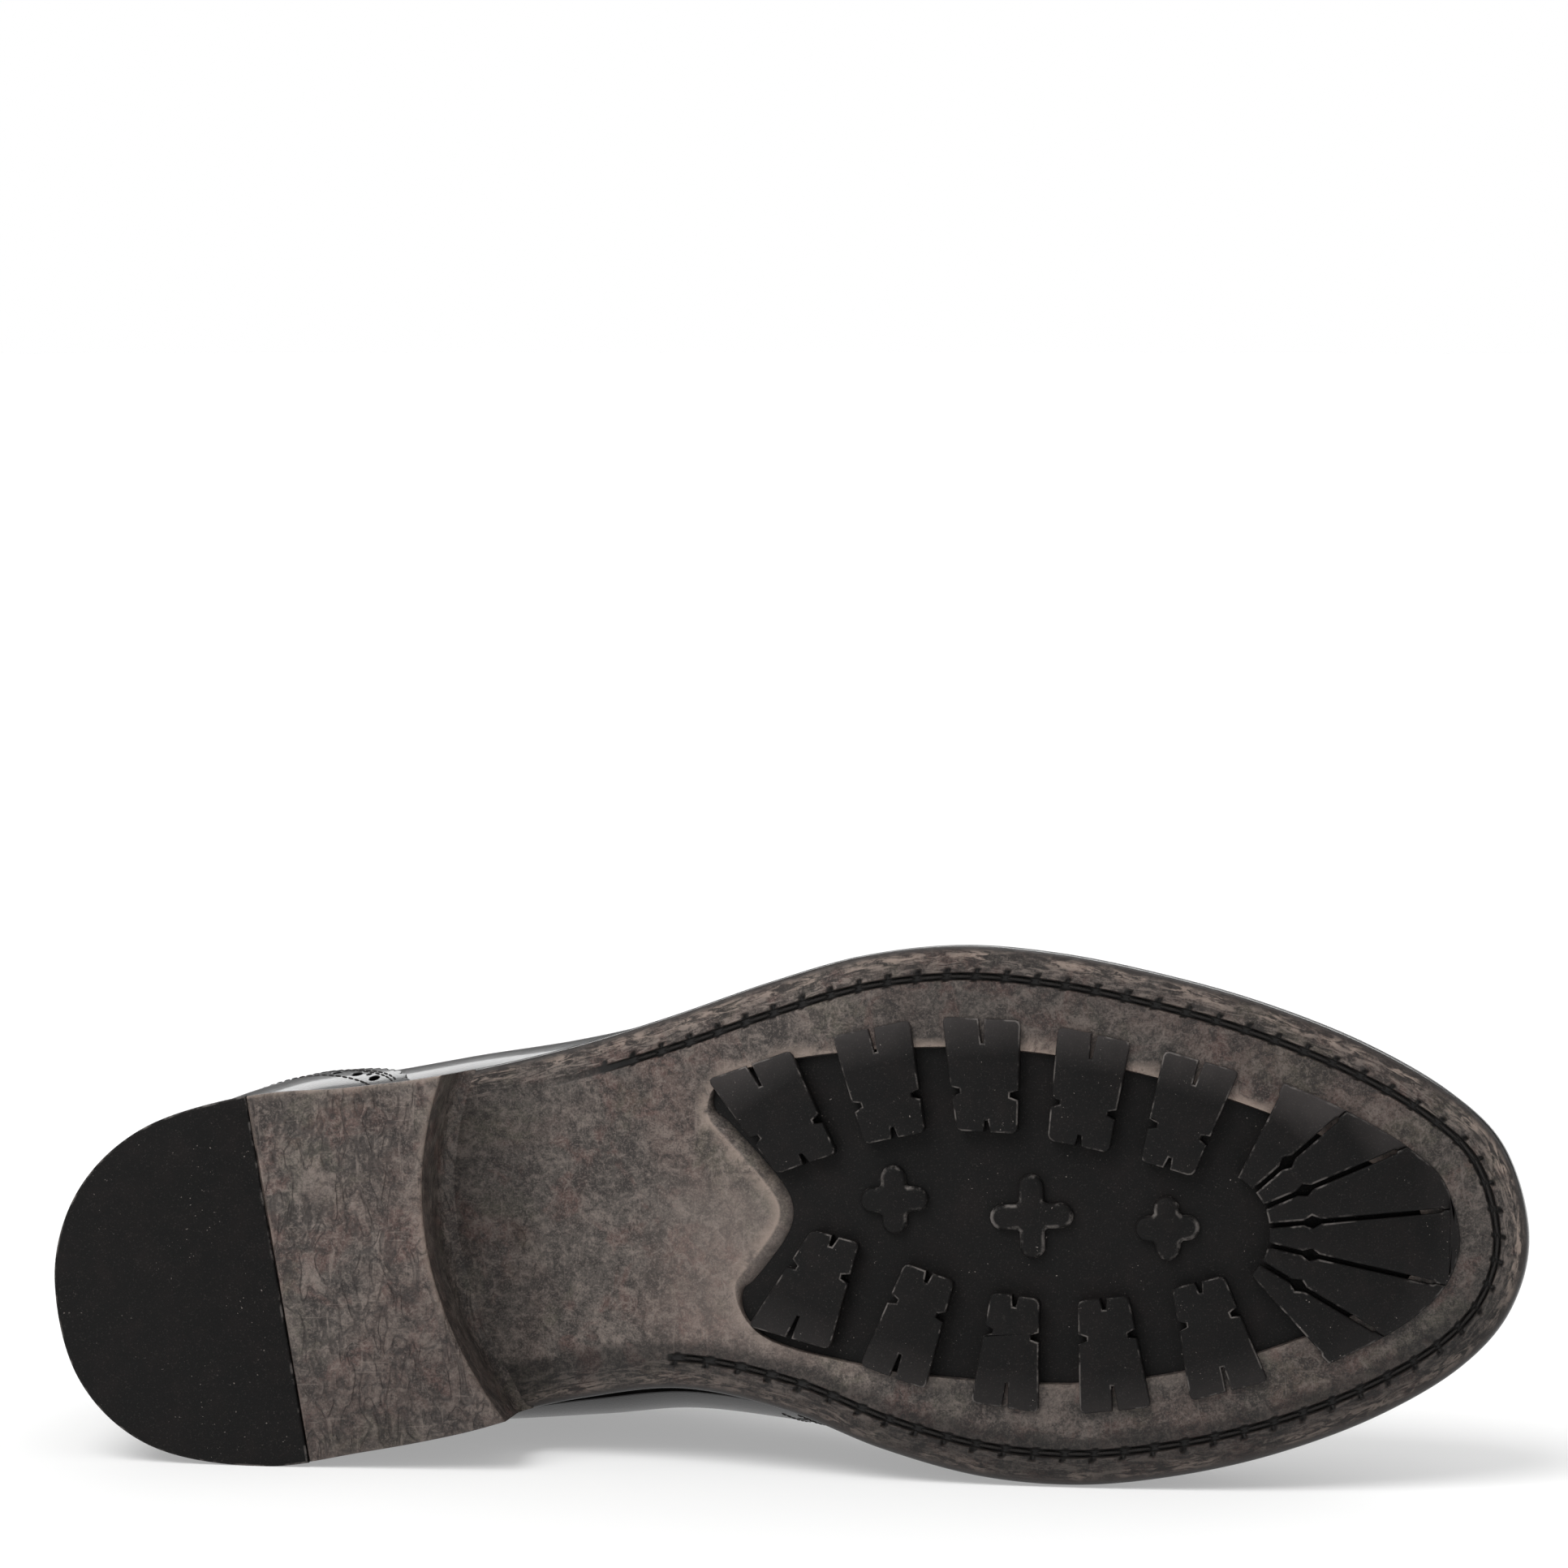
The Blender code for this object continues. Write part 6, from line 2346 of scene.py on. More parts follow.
@dataclass
class Heel:
    """The heel block with its hollowed breast, and the rubber piece let into the back of its underside."""

    last: Last
    top_piece: float = 6.0
    top_front: float = 46.7
    top_slant: float = -0.138
    breast: float = 77.5
    breast_centre: float = 14.0
    breast_hollow: float = 0.0076
    lifts: tuple[float, ...] = (6.0, 10.5, 15.0)
    # Step from a lift's height and dent of each row across a lift line
    lift_line: Profile = ((-0.5, 0.0), (-0.1, 0.0), (0.0, -0.09), (0.1, 0.0), (0.5, 0.0))
    # Height, dent and reach of each row of the fillet under the waist
    fillet: Profile = (
        (16.8, 0.0, 0.15), (17.9, 0.0, 0.7), (18.8, 0.0, 1.7), (19.35, 0.0, 3.0), (19.75, -0.3, 3.6),
    )
    # Distances from the edge of the rings that divide the underside
    rings: tuple[float, ...] = (1.2, 1.9, 2.8, 4.2, 6.5, 10.0, 15.0, 21.0)

    def plan(self, front: Callable[[Array], Array], flare: float, spread: float = 0.0) -> Array:
        """Outline of the heel.

        Args:
            front: Front line as a function of the distance to the lateral side.
            flare: Share of the heel's flare.
            spread: Distance by which the outline is widened.

        Returns:
            Corners in order, always as many.
        """
        sides = []
        for side, column in ((LATERAL, "lateral_flare"), (MEDIAL, "medial_flare")):
            u = np.linspace(0, 6.5, 1301)
            line = self.last.inset(np.full(len(u), side), u, -spread - flare * self.last.even(column, u))
            stop = int(np.argmax(line[:, 0] > front(-line[:, 1])))
            sides.append(evenly(line[: stop + 1], 56, closed=False))
        y = np.linspace(sides[1][-1, 1], sides[0][-1, 1], 40)[1:-1]
        return np.vstack([sides[0][::-1], sides[1][1:], np.column_stack([front(-y), y])])

    def breast_line(self, push: float) -> Callable[[Array], Array]:
        """Front of the heel, hollowed towards the back and pushed forwards by a distance."""
        return lambda lateral: self.breast + push + self.breast_hollow * (lateral - self.breast_centre) ** 2

    def top_line(self, push: float) -> Callable[[Array], Array]:
        """Front of the rubber piece."""
        return lambda lateral: self.top_front + push + self.top_slant * lateral

    def block(self, bench: Bench) -> bpy.types.Object:
        """Builds the block: raised outline by outline, with lift lines and a fillet under the waist.

        Args:
            bench: Bench with the modelling steps.

        Returns:
            The block.
        """
        height = self.last.heel_height
        levels = [(0.0, 0.0, 0.0), (1.2, 0.0, 0.0), (5.4, 0.0, 0.0)]
        for lift in self.lifts:
            levels += [(lift + step, dent, 0.0) for step, dent in self.lift_line]
        levels += self.fillet
        old = self.plan(self.breast_line(0.0), 1.0)
        made = bench.outline("heel_stack", old, 0.0)
        bench.select_faces()
        bpy.ops.object.mode_set(mode="OBJECT")
        for (low, _, _), (z, spread, push) in zip(levels, levels[1:]):
            new = self.plan(self.breast_line(push), max(0.0, 1 - z / height), spread)
            bench.raise_to(made, old, new, z, low)
            old = new
        bench.outwards()
        bench.bevel(made, bench.rim_edges(made, 0.0), 0.7, 3)
        direction = np.array([1.0, self.top_slant, 0.0])
        for push in (0.45, -0.25):
            bench.cut(np.array([self.top_front + push, 0.0, 0.0]), direction)

        def sink(points: Array) -> Array:
            """Makes room for the rubber piece.

            Args:
                points: Points of the block, in millimetres.

            Returns:
                The moved points.
            """
            points = points.copy()
            behind = points[:, 0] + self.top_slant * points[:, 1] - self.top_front < -0.1
            points[behind & (points[:, 2] < 1.3), 2] += 1.4
            return points

        bench.shape_points(made, sink)
        inner = [self.plan(self.breast_line(-ring), 1.0, -ring) for ring in self.rings]
        bench.refill(made, np.vstack(inner))
        return made

    def mark(self, made: bpy.types.Object) -> None:
        """Notes for the finish how far each point lies from the edge, what is polished side, and the breast's
        painted shade and painted light.

        Args:
            made: Piece to work on.
        """
        points, _ = Bench.arrays(made.data)
        outline = self.plan(self.breast_line(0.0), 1.0)
        gap = np.full(len(points), 1e9)
        for corner in evenly(outline, 900):
            gap = np.minimum(gap, np.linalg.norm(points[:, :2] - corner, axis=1))
        front, z = points[:, 0] > self.breast_line(-1.2)(-points[:, 1]), points[:, 2]
        side = smooth_step((z - 0.3) / 0.9) * np.where(front, 0.0, 1.0)
        # Painted shade on the breast, carried by the groove mark
        shade = 0.12 * smooth_step((z - 0.3) / 1.0) * smooth_step((15.0 - z) / 12.0)
        low = z < 0.9
        marks = {
            "margin": np.where(low, gap, 9.0),
            "side": side,
            "groove": np.where(front, shade, 0.0),
            # The breast is marked 0.7 so that it is dimmed less than the waist: painted light on a face that
            # lies in shade
            "heel": np.where(low, 1.0, np.where(front, 0.7, 0.0)),
            "run": gap * 0,
            "rim": np.exp(-((gap / 0.85) ** 2)) * low * 0.75,
        }
        for name, values in marks.items():
            note(made.data, name, values)

    def rubber(self, bench: Bench) -> bpy.types.Object:
        """Builds the rubber piece at the back of the heel.

        Args:
            bench: Bench with the modelling steps.

        Returns:
            The rubber piece.
        """
        split = 1 - self.top_piece / self.last.heel_height
        old = self.plan(self.top_line(0.0), 1.0, 0.14)
        made = bench.outline("heel_rubber", old, 0.0)
        bench.select_faces()
        bpy.ops.object.mode_set(mode="OBJECT")
        new = self.plan(self.top_line(0.0), split, 0.14)
        bench.raise_to(made, old, new, self.top_piece - 0.1, 0.0)
        bench.outwards()
        bench.bevel(made, bench.rim_edges(made, 0.0), 0.55, 3)
        mark_edge_wear_and_highlight(made)
        note(made.data, "slope", np.zeros(len(made.data.vertices)))
        return made

    def make(self, shop: Workshop, bench: Bench, finishes: Finishes) -> None:
        """Builds and dresses the heel.

        Args:
            shop: Workshop that makes the pieces.
            bench: Bench with the modelling steps.
            finishes: Finishes of the shoe.
        """
        block = self.block(bench)
        self.mark(block)
        shop.lay(block.data, angle=32)
        shop.dress(block, finishes.sole, Slot.SOLE, "heel_block")
        rubber = self.rubber(bench)
        shop.lay(rubber.data, angle=32)
        shop.dress(rubber, finishes.rubber, Slot.RUBBER, "heel_top_piece")


@dataclass
class Welt:
    """The welt between outsole and upper, with its wheeled edge and its stitches."""

    last: Last
    sole: Outsole
    low: float = 6.0
    high: float = 9.3
    wheel_pitch: float = 2.4
    stitch_pitch: float = 3.2
    stitch_inset: float = 2.5
    # Inset, height over the underside and depth of the wheel's marks of each row
    rows: Profile = (
        (1.6, 6.02, 0.0), (1.0, 6.08, 0.0), (0.72, 6.35, 0.0), (0.6, 7.2, 0.0), (0.62, 8.3, 0.0),
        (0.8, 8.95, 0.12), (1.15, 9.28, 0.3), (1.6, 9.3, 0.22), (2.0, 9.22, 0.0), (2.5, 9.1, 0.0),
        (3.0, 9.24, 0.0), (3.6, 9.3, 0.0),
    )

    def build(self, shop: Workshop) -> bpy.types.Object:
        """Builds the welt round the shoe.

        Args:
            shop: Workshop that makes the pieces.

        Returns:
            The welt.
        """
        last = self.last
        side, u, run = self.sole.rim()
        inner = last.feather(side, u)[:, :2] - last.outward(side, u) * 5.0
        beat = 0.5 + 0.5 * np.cos(run / self.wheel_pitch * 2 * math.pi)
        rows = []
        for inset, height, notch in self.rows:
            plan = last.inset(side, u, inset)
            rows.append(last.on_sole(plan, height - notch * beat))
        feather = last.feather(side, u)[:, :2]
        rows.append(last.on_sole(feather - last.outward(side, u) * 0.35, self.high + 0.42))
        rows += [last.on_sole(inner, height) for height in (self.high, self.low + 0.02)]
        points = np.vstack(rows)
        faces = ring_faces(len(rows), len(u))
        index, inmost = np.arange(len(u)), (len(rows) - 1) * len(u)
        following = np.roll(index, -1)
        closing = np.column_stack([inmost + index, inmost + following, following, index])
        return shop.piece("welt_strip", Shape(points, [faces, closing]), angle=50)

    def stitches(self, shop: Workshop, bench: Bench) -> bpy.types.Object:
        """Builds the stitches on the welt, where it shows beside the upper.

        Args:
            shop: Workshop that makes the pieces.
            bench: Bench with the modelling steps.

        Returns:
            The stitches.
        """
        last = self.last
        side, u, run = self.sole.rim()
        margin = last.per_side("lateral_margin", "medial_margin", side, u)
        line = last.on_sole(last.inset(side, u, self.stitch_inset), self.high - 0.1)
        at = np.arange(0, run[-1], self.stitch_pitch)
        at = at[np.interp(at, run, margin) > 4.4]
        ends = [sampled(at + d, run, line) for d in (-1.0, 0.0, 1.0)]
        up = np.tile([0.0, 0.0, 1.0], (len(at), 1))
        return shop.repeated("welt_stitches", bench.grain(2.6, 0.75, 0.6), ends[1], ends[2] - ends[0], up)

    def make(self, shop: Workshop, bench: Bench, finishes: Finishes) -> None:
        """Builds and dresses the welt."""
        shop.dress(self.build(shop), finishes.welt, Slot.WELT, "welt")
        shop.dress(self.stitches(shop, bench), finishes.sole_thread, Slot.WELT)


class Seams:
    """Collects stitches on the leather, to be made as one piece."""

    def __init__(self, last: Last) -> None:
        """Starts with no stitches."""
        self.last = last
        self.rows: list[tuple[Array, Array, Array]] = []

    def add(self, ends: tuple[Places, Places], height: float) -> None:
        """Adds a row of stitches, whose ends are places, at a height over the upper.

        Args:
            ends: Places of the first and of the second ends.
            height: Height over the upper, in millimetres.
        """
        first, second = (self.last.over(places, height) for places in ends)
        normal = self.last.normal(ends[0].side, ends[0].u, ends[0].share)
        self.rows.append(((first + second) / 2, second - first, normal))

    def make(self, name: str, shop: Workshop, bench: Bench, finish: bpy.types.Material) -> None:
        """Builds and dresses all stitches collected so far.

        Args:
            name: Name of the piece.
            shop: Workshop that makes the pieces.
            bench: Bench with the modelling steps.
            finish: Material of the thread.
        """
        origin, along, up = (np.vstack([row[k] for row in self.rows]) for k in range(3))
        made = shop.repeated(name, bench.grain(1.75, 0.46, 0.42), origin, along, up)
        shop.dress(made, finish, Slot.LEATHER)
        self.rows = []


@dataclass
class Overlays:
    """The punched leathers that lie on the upper: wing cap, quarters and heel counter."""

    last: Last
    low: float = 0.06
    high: float = 1.42
    counter_low: float = 1.36
    counter_high: float = 2.72
    foot: float = 0.02
    round_off: float = 0.22
    gimp_pitch: float = 2.5
    gimp_depth: float = 1.0
    row_inset: float = 4.4
    large_hole: float = 1.15
    small_hole: float = 0.55
    hole_pitch: float = 6.2
    cap_peak: float = 12.4
    cap_valley: float = 13.7
    cap_wing: float = 8.5
    cap_valley_share: float = 0.76
    cap_wing_share: float = 0.10
    cap_peak_power: float = 1.4
    quarter_front_top: float = 9.4
    quarter_front_foot: float = 8.0
    quarter_belly: float = 0.4
    counter_foot: float = 4.3
    counter_top: float = 0.75
    counter_height: float = 0.86
    counter_sweep: float = 0.8
    back_seam: float = 0.01
    eyelets: tuple[float, ...] = (7.3, 7.75, 8.2, 8.65, 9.1)
    eyelet_share: float = 0.885
    eyelet_hole: float = 2.0
    stitch_pitch: float = 2.1
    stitch_lift: float = 0.02

    def cap_back(self, share: Array) -> Array:
        """Station of the wing cap's back edge: a peak on the ridge, a valley beside it and a wing below.

        Args:
            share: Shares of the wall's height.

        Returns:
            Stations of the edge.
        """
        climb = np.clip((share - self.cap_valley_share) / (1 - self.cap_valley_share), 0, 1)
        peak = self.cap_valley + (self.cap_peak - self.cap_valley) * climb**self.cap_peak_power
        rise = smooth_step((share - self.cap_wing_share) / (self.cap_valley_share - self.cap_wing_share))
        wing = self.cap_wing + (self.cap_valley - self.cap_wing) * rise
        return np.where(share > self.cap_valley_share, peak, wing)

    def quarter_front(self, share: Array) -> Array:
        """Station of a quarter's front edge."""
        bow = np.sin(math.pi * share) * self.quarter_belly
        return self.quarter_front_foot + (self.quarter_front_top - self.quarter_front_foot) * share + bow

    def counter_reach(self, share: Array) -> Array:
        """Station of the counter's front edge."""
        fall = (1 - smooth_step(share / self.counter_height)) ** self.counter_sweep
        return self.counter_top + (self.counter_foot - self.counter_top) * fall

    def brogue_row(self, line: EdgeLine, start: float, end: float) -> list[Places]:
        """Holes along an edge: a large one, then a pair of small ones, over and over.

        Args:
            line: Edge that the row follows.
            start: Distance left free at the line's start.
            end: Distance left free at its end.

        Returns:
            The rim of each hole.
        """
        large = line.spaced(self.hole_pitch, start, end, self.row_inset)
        holes = self.last.rings(large, self.large_hole, 16)
        for depth in (self.row_inset - 0.85, self.row_inset + 0.85):
            small = line.spaced(self.hole_pitch, start, end, depth, 0.5)
            holes += self.last.rings(small, self.small_hole, 10)
        return holes

    def edge_seams(self, line: EdgeLine, seams: Seams, start: float, end: float, height: float) -> None:
        """Sews two rows of stitches, one on each side of the holes."""
        for depth in (1.7, 2.5, self.row_inset + 2.5):
            seams.add(line.seam(self.stitch_pitch, start, end, depth), height)

    def point(self, side: float, u: float, share: float) -> Array:
        """One point of the upper."""
        return self.last.wall(*(np.array([value]) for value in (side, u, share)))[0]

    def flat_wall(self, places: Places) -> Array:
        """Lays a wall out flat by station and height."""
        return np.column_stack([places.u * 18.0, places.share * 75.0])

    def flat_heel(self, places: Places) -> Array:
        """Lays both walls out flat round the back seam."""
        return np.column_stack([places.side * places.u * 18.0, places.share * 75.0])

    def flat_toe(self, places: Places) -> Array:
        """Lays both walls out flat round the ridge of the vamp, opening like a fan towards the toe.

        Args:
            places: Places on the upper.

        Returns:
            Points of the layout, in millimetres.
        """
        side, u, share = self.last.within(places.side, places.u, places.share)
        turn = np.radians(90.0) * np.clip((self.last.end - u) / 6.0, 0, 1)
        shares = np.linspace(0, 1, 9)
        lines = [self.last.wall(side, u, np.full(len(u), value)) for value in shares]
        girth = sum(np.linalg.norm(far - near, axis=1) for near, far in zip(lines, lines[1:]))
        reach = girth * (1 - share)
        x = self.last.even("top_x", u) + np.cos(turn) * reach
        return np.column_stack([x, side * np.sin(turn) * reach])

    def wing_cap(self, shop: Workshop, seams: Seams) -> bpy.types.Object:
        """Builds the toe cap with its peak, wings and medallion.

        Args:
            shop: Workshop that makes the pieces.
            seams: Collector of the stitches.

        Returns:
            The toe cap.
        """
        last = self.last
        share = np.linspace(self.foot, 2 - self.foot, 400)
        share = np.unique(np.concatenate([share, [1.0]]))
        back = self.cap_back(np.where(share > 1, 2 - share, share))
        path = Places.on(LATERAL, back, share)
        line = EdgeLine(last, path, self.point(LATERAL, 14.5, 1.0))
        edge = line.gimped(self.gimp_pitch, self.gimp_depth)
        feet = []
        for side in (MEDIAL, LATERAL):
            u = np.linspace(self.cap_wing, last.end, 70)
            feet.append(Places.on(side, u[1:] if side == MEDIAL else u[::-1][1:-1], self.foot))
        outline = Places.joined([edge, *feet])
        holes = self.brogue_row(line, 9.0, 9.0)
        holes += self.medallion()
        u, share = np.meshgrid(np.arange(8.6, 17.0, 0.14), np.linspace(0.04, 0.985, 30))
        filler = [Places.on(side, u.ravel(), share.ravel()) for side in SIDES]
        filler.append(Places.on(LATERAL, np.arange(12.5, 16.95, 0.14), 1.0))
        filler.append(Places.on(LATERAL, 17.0, np.linspace(0.04, 1.0, 30)))
        places, faces = Cutting(outline, holes, Places.joined(filler), self.flat_toe).sheet()
        self.edge_seams(line, seams, 3.0, 3.0, self.high + self.stitch_lift)
        return shop.piece("wing_cap_leather", shell(last, places, faces, self.low, self.high, self.round_off))

    def medallion(self) -> list[Places]:
        """Holes of the medallion on the toe: a ring round one hole, and a spray behind it.

        Returns:
            The rim of each hole.
        """
        last = self.last
        centre = Places.on(LATERAL, 14.75, 1.0)
        where = (centre.side, centre.u, centre.share)
        base, normal = last.wall(*where)[0], last.normal(*where)[0]
        forward = unit(np.cross(np.array([0.0, 1.0, 0.0]), normal))
        across = np.cross(normal, forward)
        eighths = np.arange(8) * math.pi / 4
        large = [(0.0, 0.0)] + [(7.6 * math.cos(a), 7.6 * math.sin(a)) for a in eighths + math.pi / 8]
        large += [(-13.5, 0.0), (-12.0, 8.6), (-12.0, -8.6)]
        small = [(4.2 * math.cos(a), 4.2 * math.sin(a)) for a in eighths]
        small += [(-12.0, 4.2), (-12.0, -4.2), (-17.2, 0.0), (-15.0, 2.8), (-15.0, -2.8)]
        small += [(11.4, 0.0), (10.6, 4.2), (10.6, -4.2)]
        holes = []
        for spots, radius, count in ((large, self.large_hole, 16), (small, self.small_hole, 10)):
            target = base + np.array([forward * a + across * b for a, b in spots])
            start = Places.on(np.where(target[:, 1] < base[1], LATERAL, MEDIAL), 14.75, 0.93)
            holes += last.rings(last.nearest(start, target), radius, count)
        return holes

    def quarter(self, shop: Workshop, seams: Seams, side: float, name: str) -> bpy.types.Object:
        """Builds the quarter of one side, with its lace holes.

        Args:
            shop: Workshop that makes the piece.
            seams: Collects its stitches.
            side: Side of the shoe.
            name: Name of the piece.

        Returns:
            The piece.
        """
        last = self.last
        share = np.linspace(self.foot, 1.0, 240)
        front = EdgeLine(last, Places.on(side, self.quarter_front(share), share), self.point(side, 5.0, 0.5))
        u = np.linspace(self.quarter_front_top, self.back_seam, 400)
        collar = EdgeLine(last, Places.on(side, u, 1.0), self.point(side, 5.0, 0.5))
        top = Places.on(side, np.linspace(self.quarter_front_top, self.back_seam, 130), 1.0)
        back = Places.on(side, self.back_seam, np.linspace(1.0, self.foot, 34))
        foot = Places.on(side, np.linspace(self.back_seam, self.quarter_front_foot + 0.05, 60), self.foot)
        edge = front.gimped(self.gimp_pitch, self.gimp_depth).take(slice(0, -1))
        outline = Places.joined([edge, top, back.take(slice(1, None)), foot.take(slice(1, -1))])
        holes = self.brogue_row(front, 8.0, 9.0)
        holes += last.rings(Places.on(side, np.array(self.eyelets), self.eyelet_share), self.eyelet_hole, 20)
        facing = float(np.interp(-6.9, -collar.path.u, collar.length))
        holes += last.rings(collar.spaced(5.0, facing + 9.0, 16.0, 5.2), 0.75, 12)
        uu, ss = np.meshgrid(np.arange(0.06, 9.9, 0.115), np.linspace(0.045, 0.98, 32))
        filler = Places.on(side, uu.ravel(), ss.ravel())
        places, faces = Cutting(outline, holes, filler, self.flat_wall).sheet()
        self.edge_seams(front, seams, 3.0, 2.0, self.high + self.stitch_lift)
        for depth in (2.6, 7.6):
            free = facing + 3.0 if depth > 5 else 3.0
            seams.add(collar.seam(self.stitch_pitch, free, 3.0, depth), self.high + self.stitch_lift)
        free = collar.length[-1] - facing + 4.0
        seams.add(collar.seam(self.stitch_pitch, 5.0, free, 14.5), self.high + self.stitch_lift)
        return shop.piece(name, shell(last, places, faces, self.low, self.high, self.round_off))

    def counter(self, shop: Workshop, seams: Seams) -> bpy.types.Object:
        """Builds the counter round the heel.

        Args:
            shop: Workshop that makes the pieces.
            seams: Collector of the stitches.

        Returns:
            The counter.
        """
        last = self.last
        up = np.linspace(self.foot, self.counter_height, 160)
        across = np.linspace(-self.counter_top, self.counter_top, 50)[1:-1]
        u = np.concatenate([-self.counter_reach(up), across, self.counter_reach(up[::-1])])
        share = np.concatenate([up, np.full(len(across), self.counter_height), up[::-1]])
        line = EdgeLine(last, Places.on(MEDIAL, u, share), self.point(MEDIAL, 0.0, 0.3))
        edge = line.gimped(self.gimp_pitch, self.gimp_depth)
        foot = Places.on(MEDIAL, np.linspace(self.counter_foot, -self.counter_foot, 70)[1:-1], self.foot)
        foot = Places(*last.within(foot.side, foot.u, foot.share))
        holes = self.brogue_row(line, 9.0, 9.0)
        uu, ss = np.meshgrid(np.arange(0.06, 4.4, 0.115), np.linspace(0.045, 0.86, 29))
        filler = [Places.on(side, uu.ravel(), ss.ravel()) for side in SIDES]
        filler.append(Places.on(MEDIAL, 0.0, np.linspace(0.045, 0.84, 29)))
        outline = Places.joined([edge, foot])
        places, faces = Cutting(outline, holes, Places.joined(filler), self.flat_heel).sheet()
        self.edge_seams(line, seams, 3.0, 3.0, self.counter_high + self.stitch_lift)
        shape = shell(last, places, faces, self.counter_low, self.counter_high, self.round_off)
        return shop.piece("counter_leather", shape)

    def make(self, shop: Workshop, bench: Bench, finishes: Finishes) -> None:
        """Builds and dresses the punched leathers and their stitches.

        Args:
            shop: Workshop that makes the pieces.
            bench: Bench with the modelling steps.
            finishes: Finishes of the shoe.
        """
        seams = Seams(self.last)
        shop.dress(self.wing_cap(shop, seams), finishes.leather, Slot.LEATHER, "wing_cap")
        for side, name in ((LATERAL, "lateral"), (MEDIAL, "medial")):
            quarter = self.quarter(shop, seams, side, f"quarter_leather_{name}")
            shop.dress(quarter, finishes.leather, Slot.LEATHER, f"quarter_{name}")
        shop.dress(self.counter(shop, seams), finishes.leather, Slot.LEATHER, "heel_counter")
        seams.make("upper_stitches", shop, bench, finishes.thread)


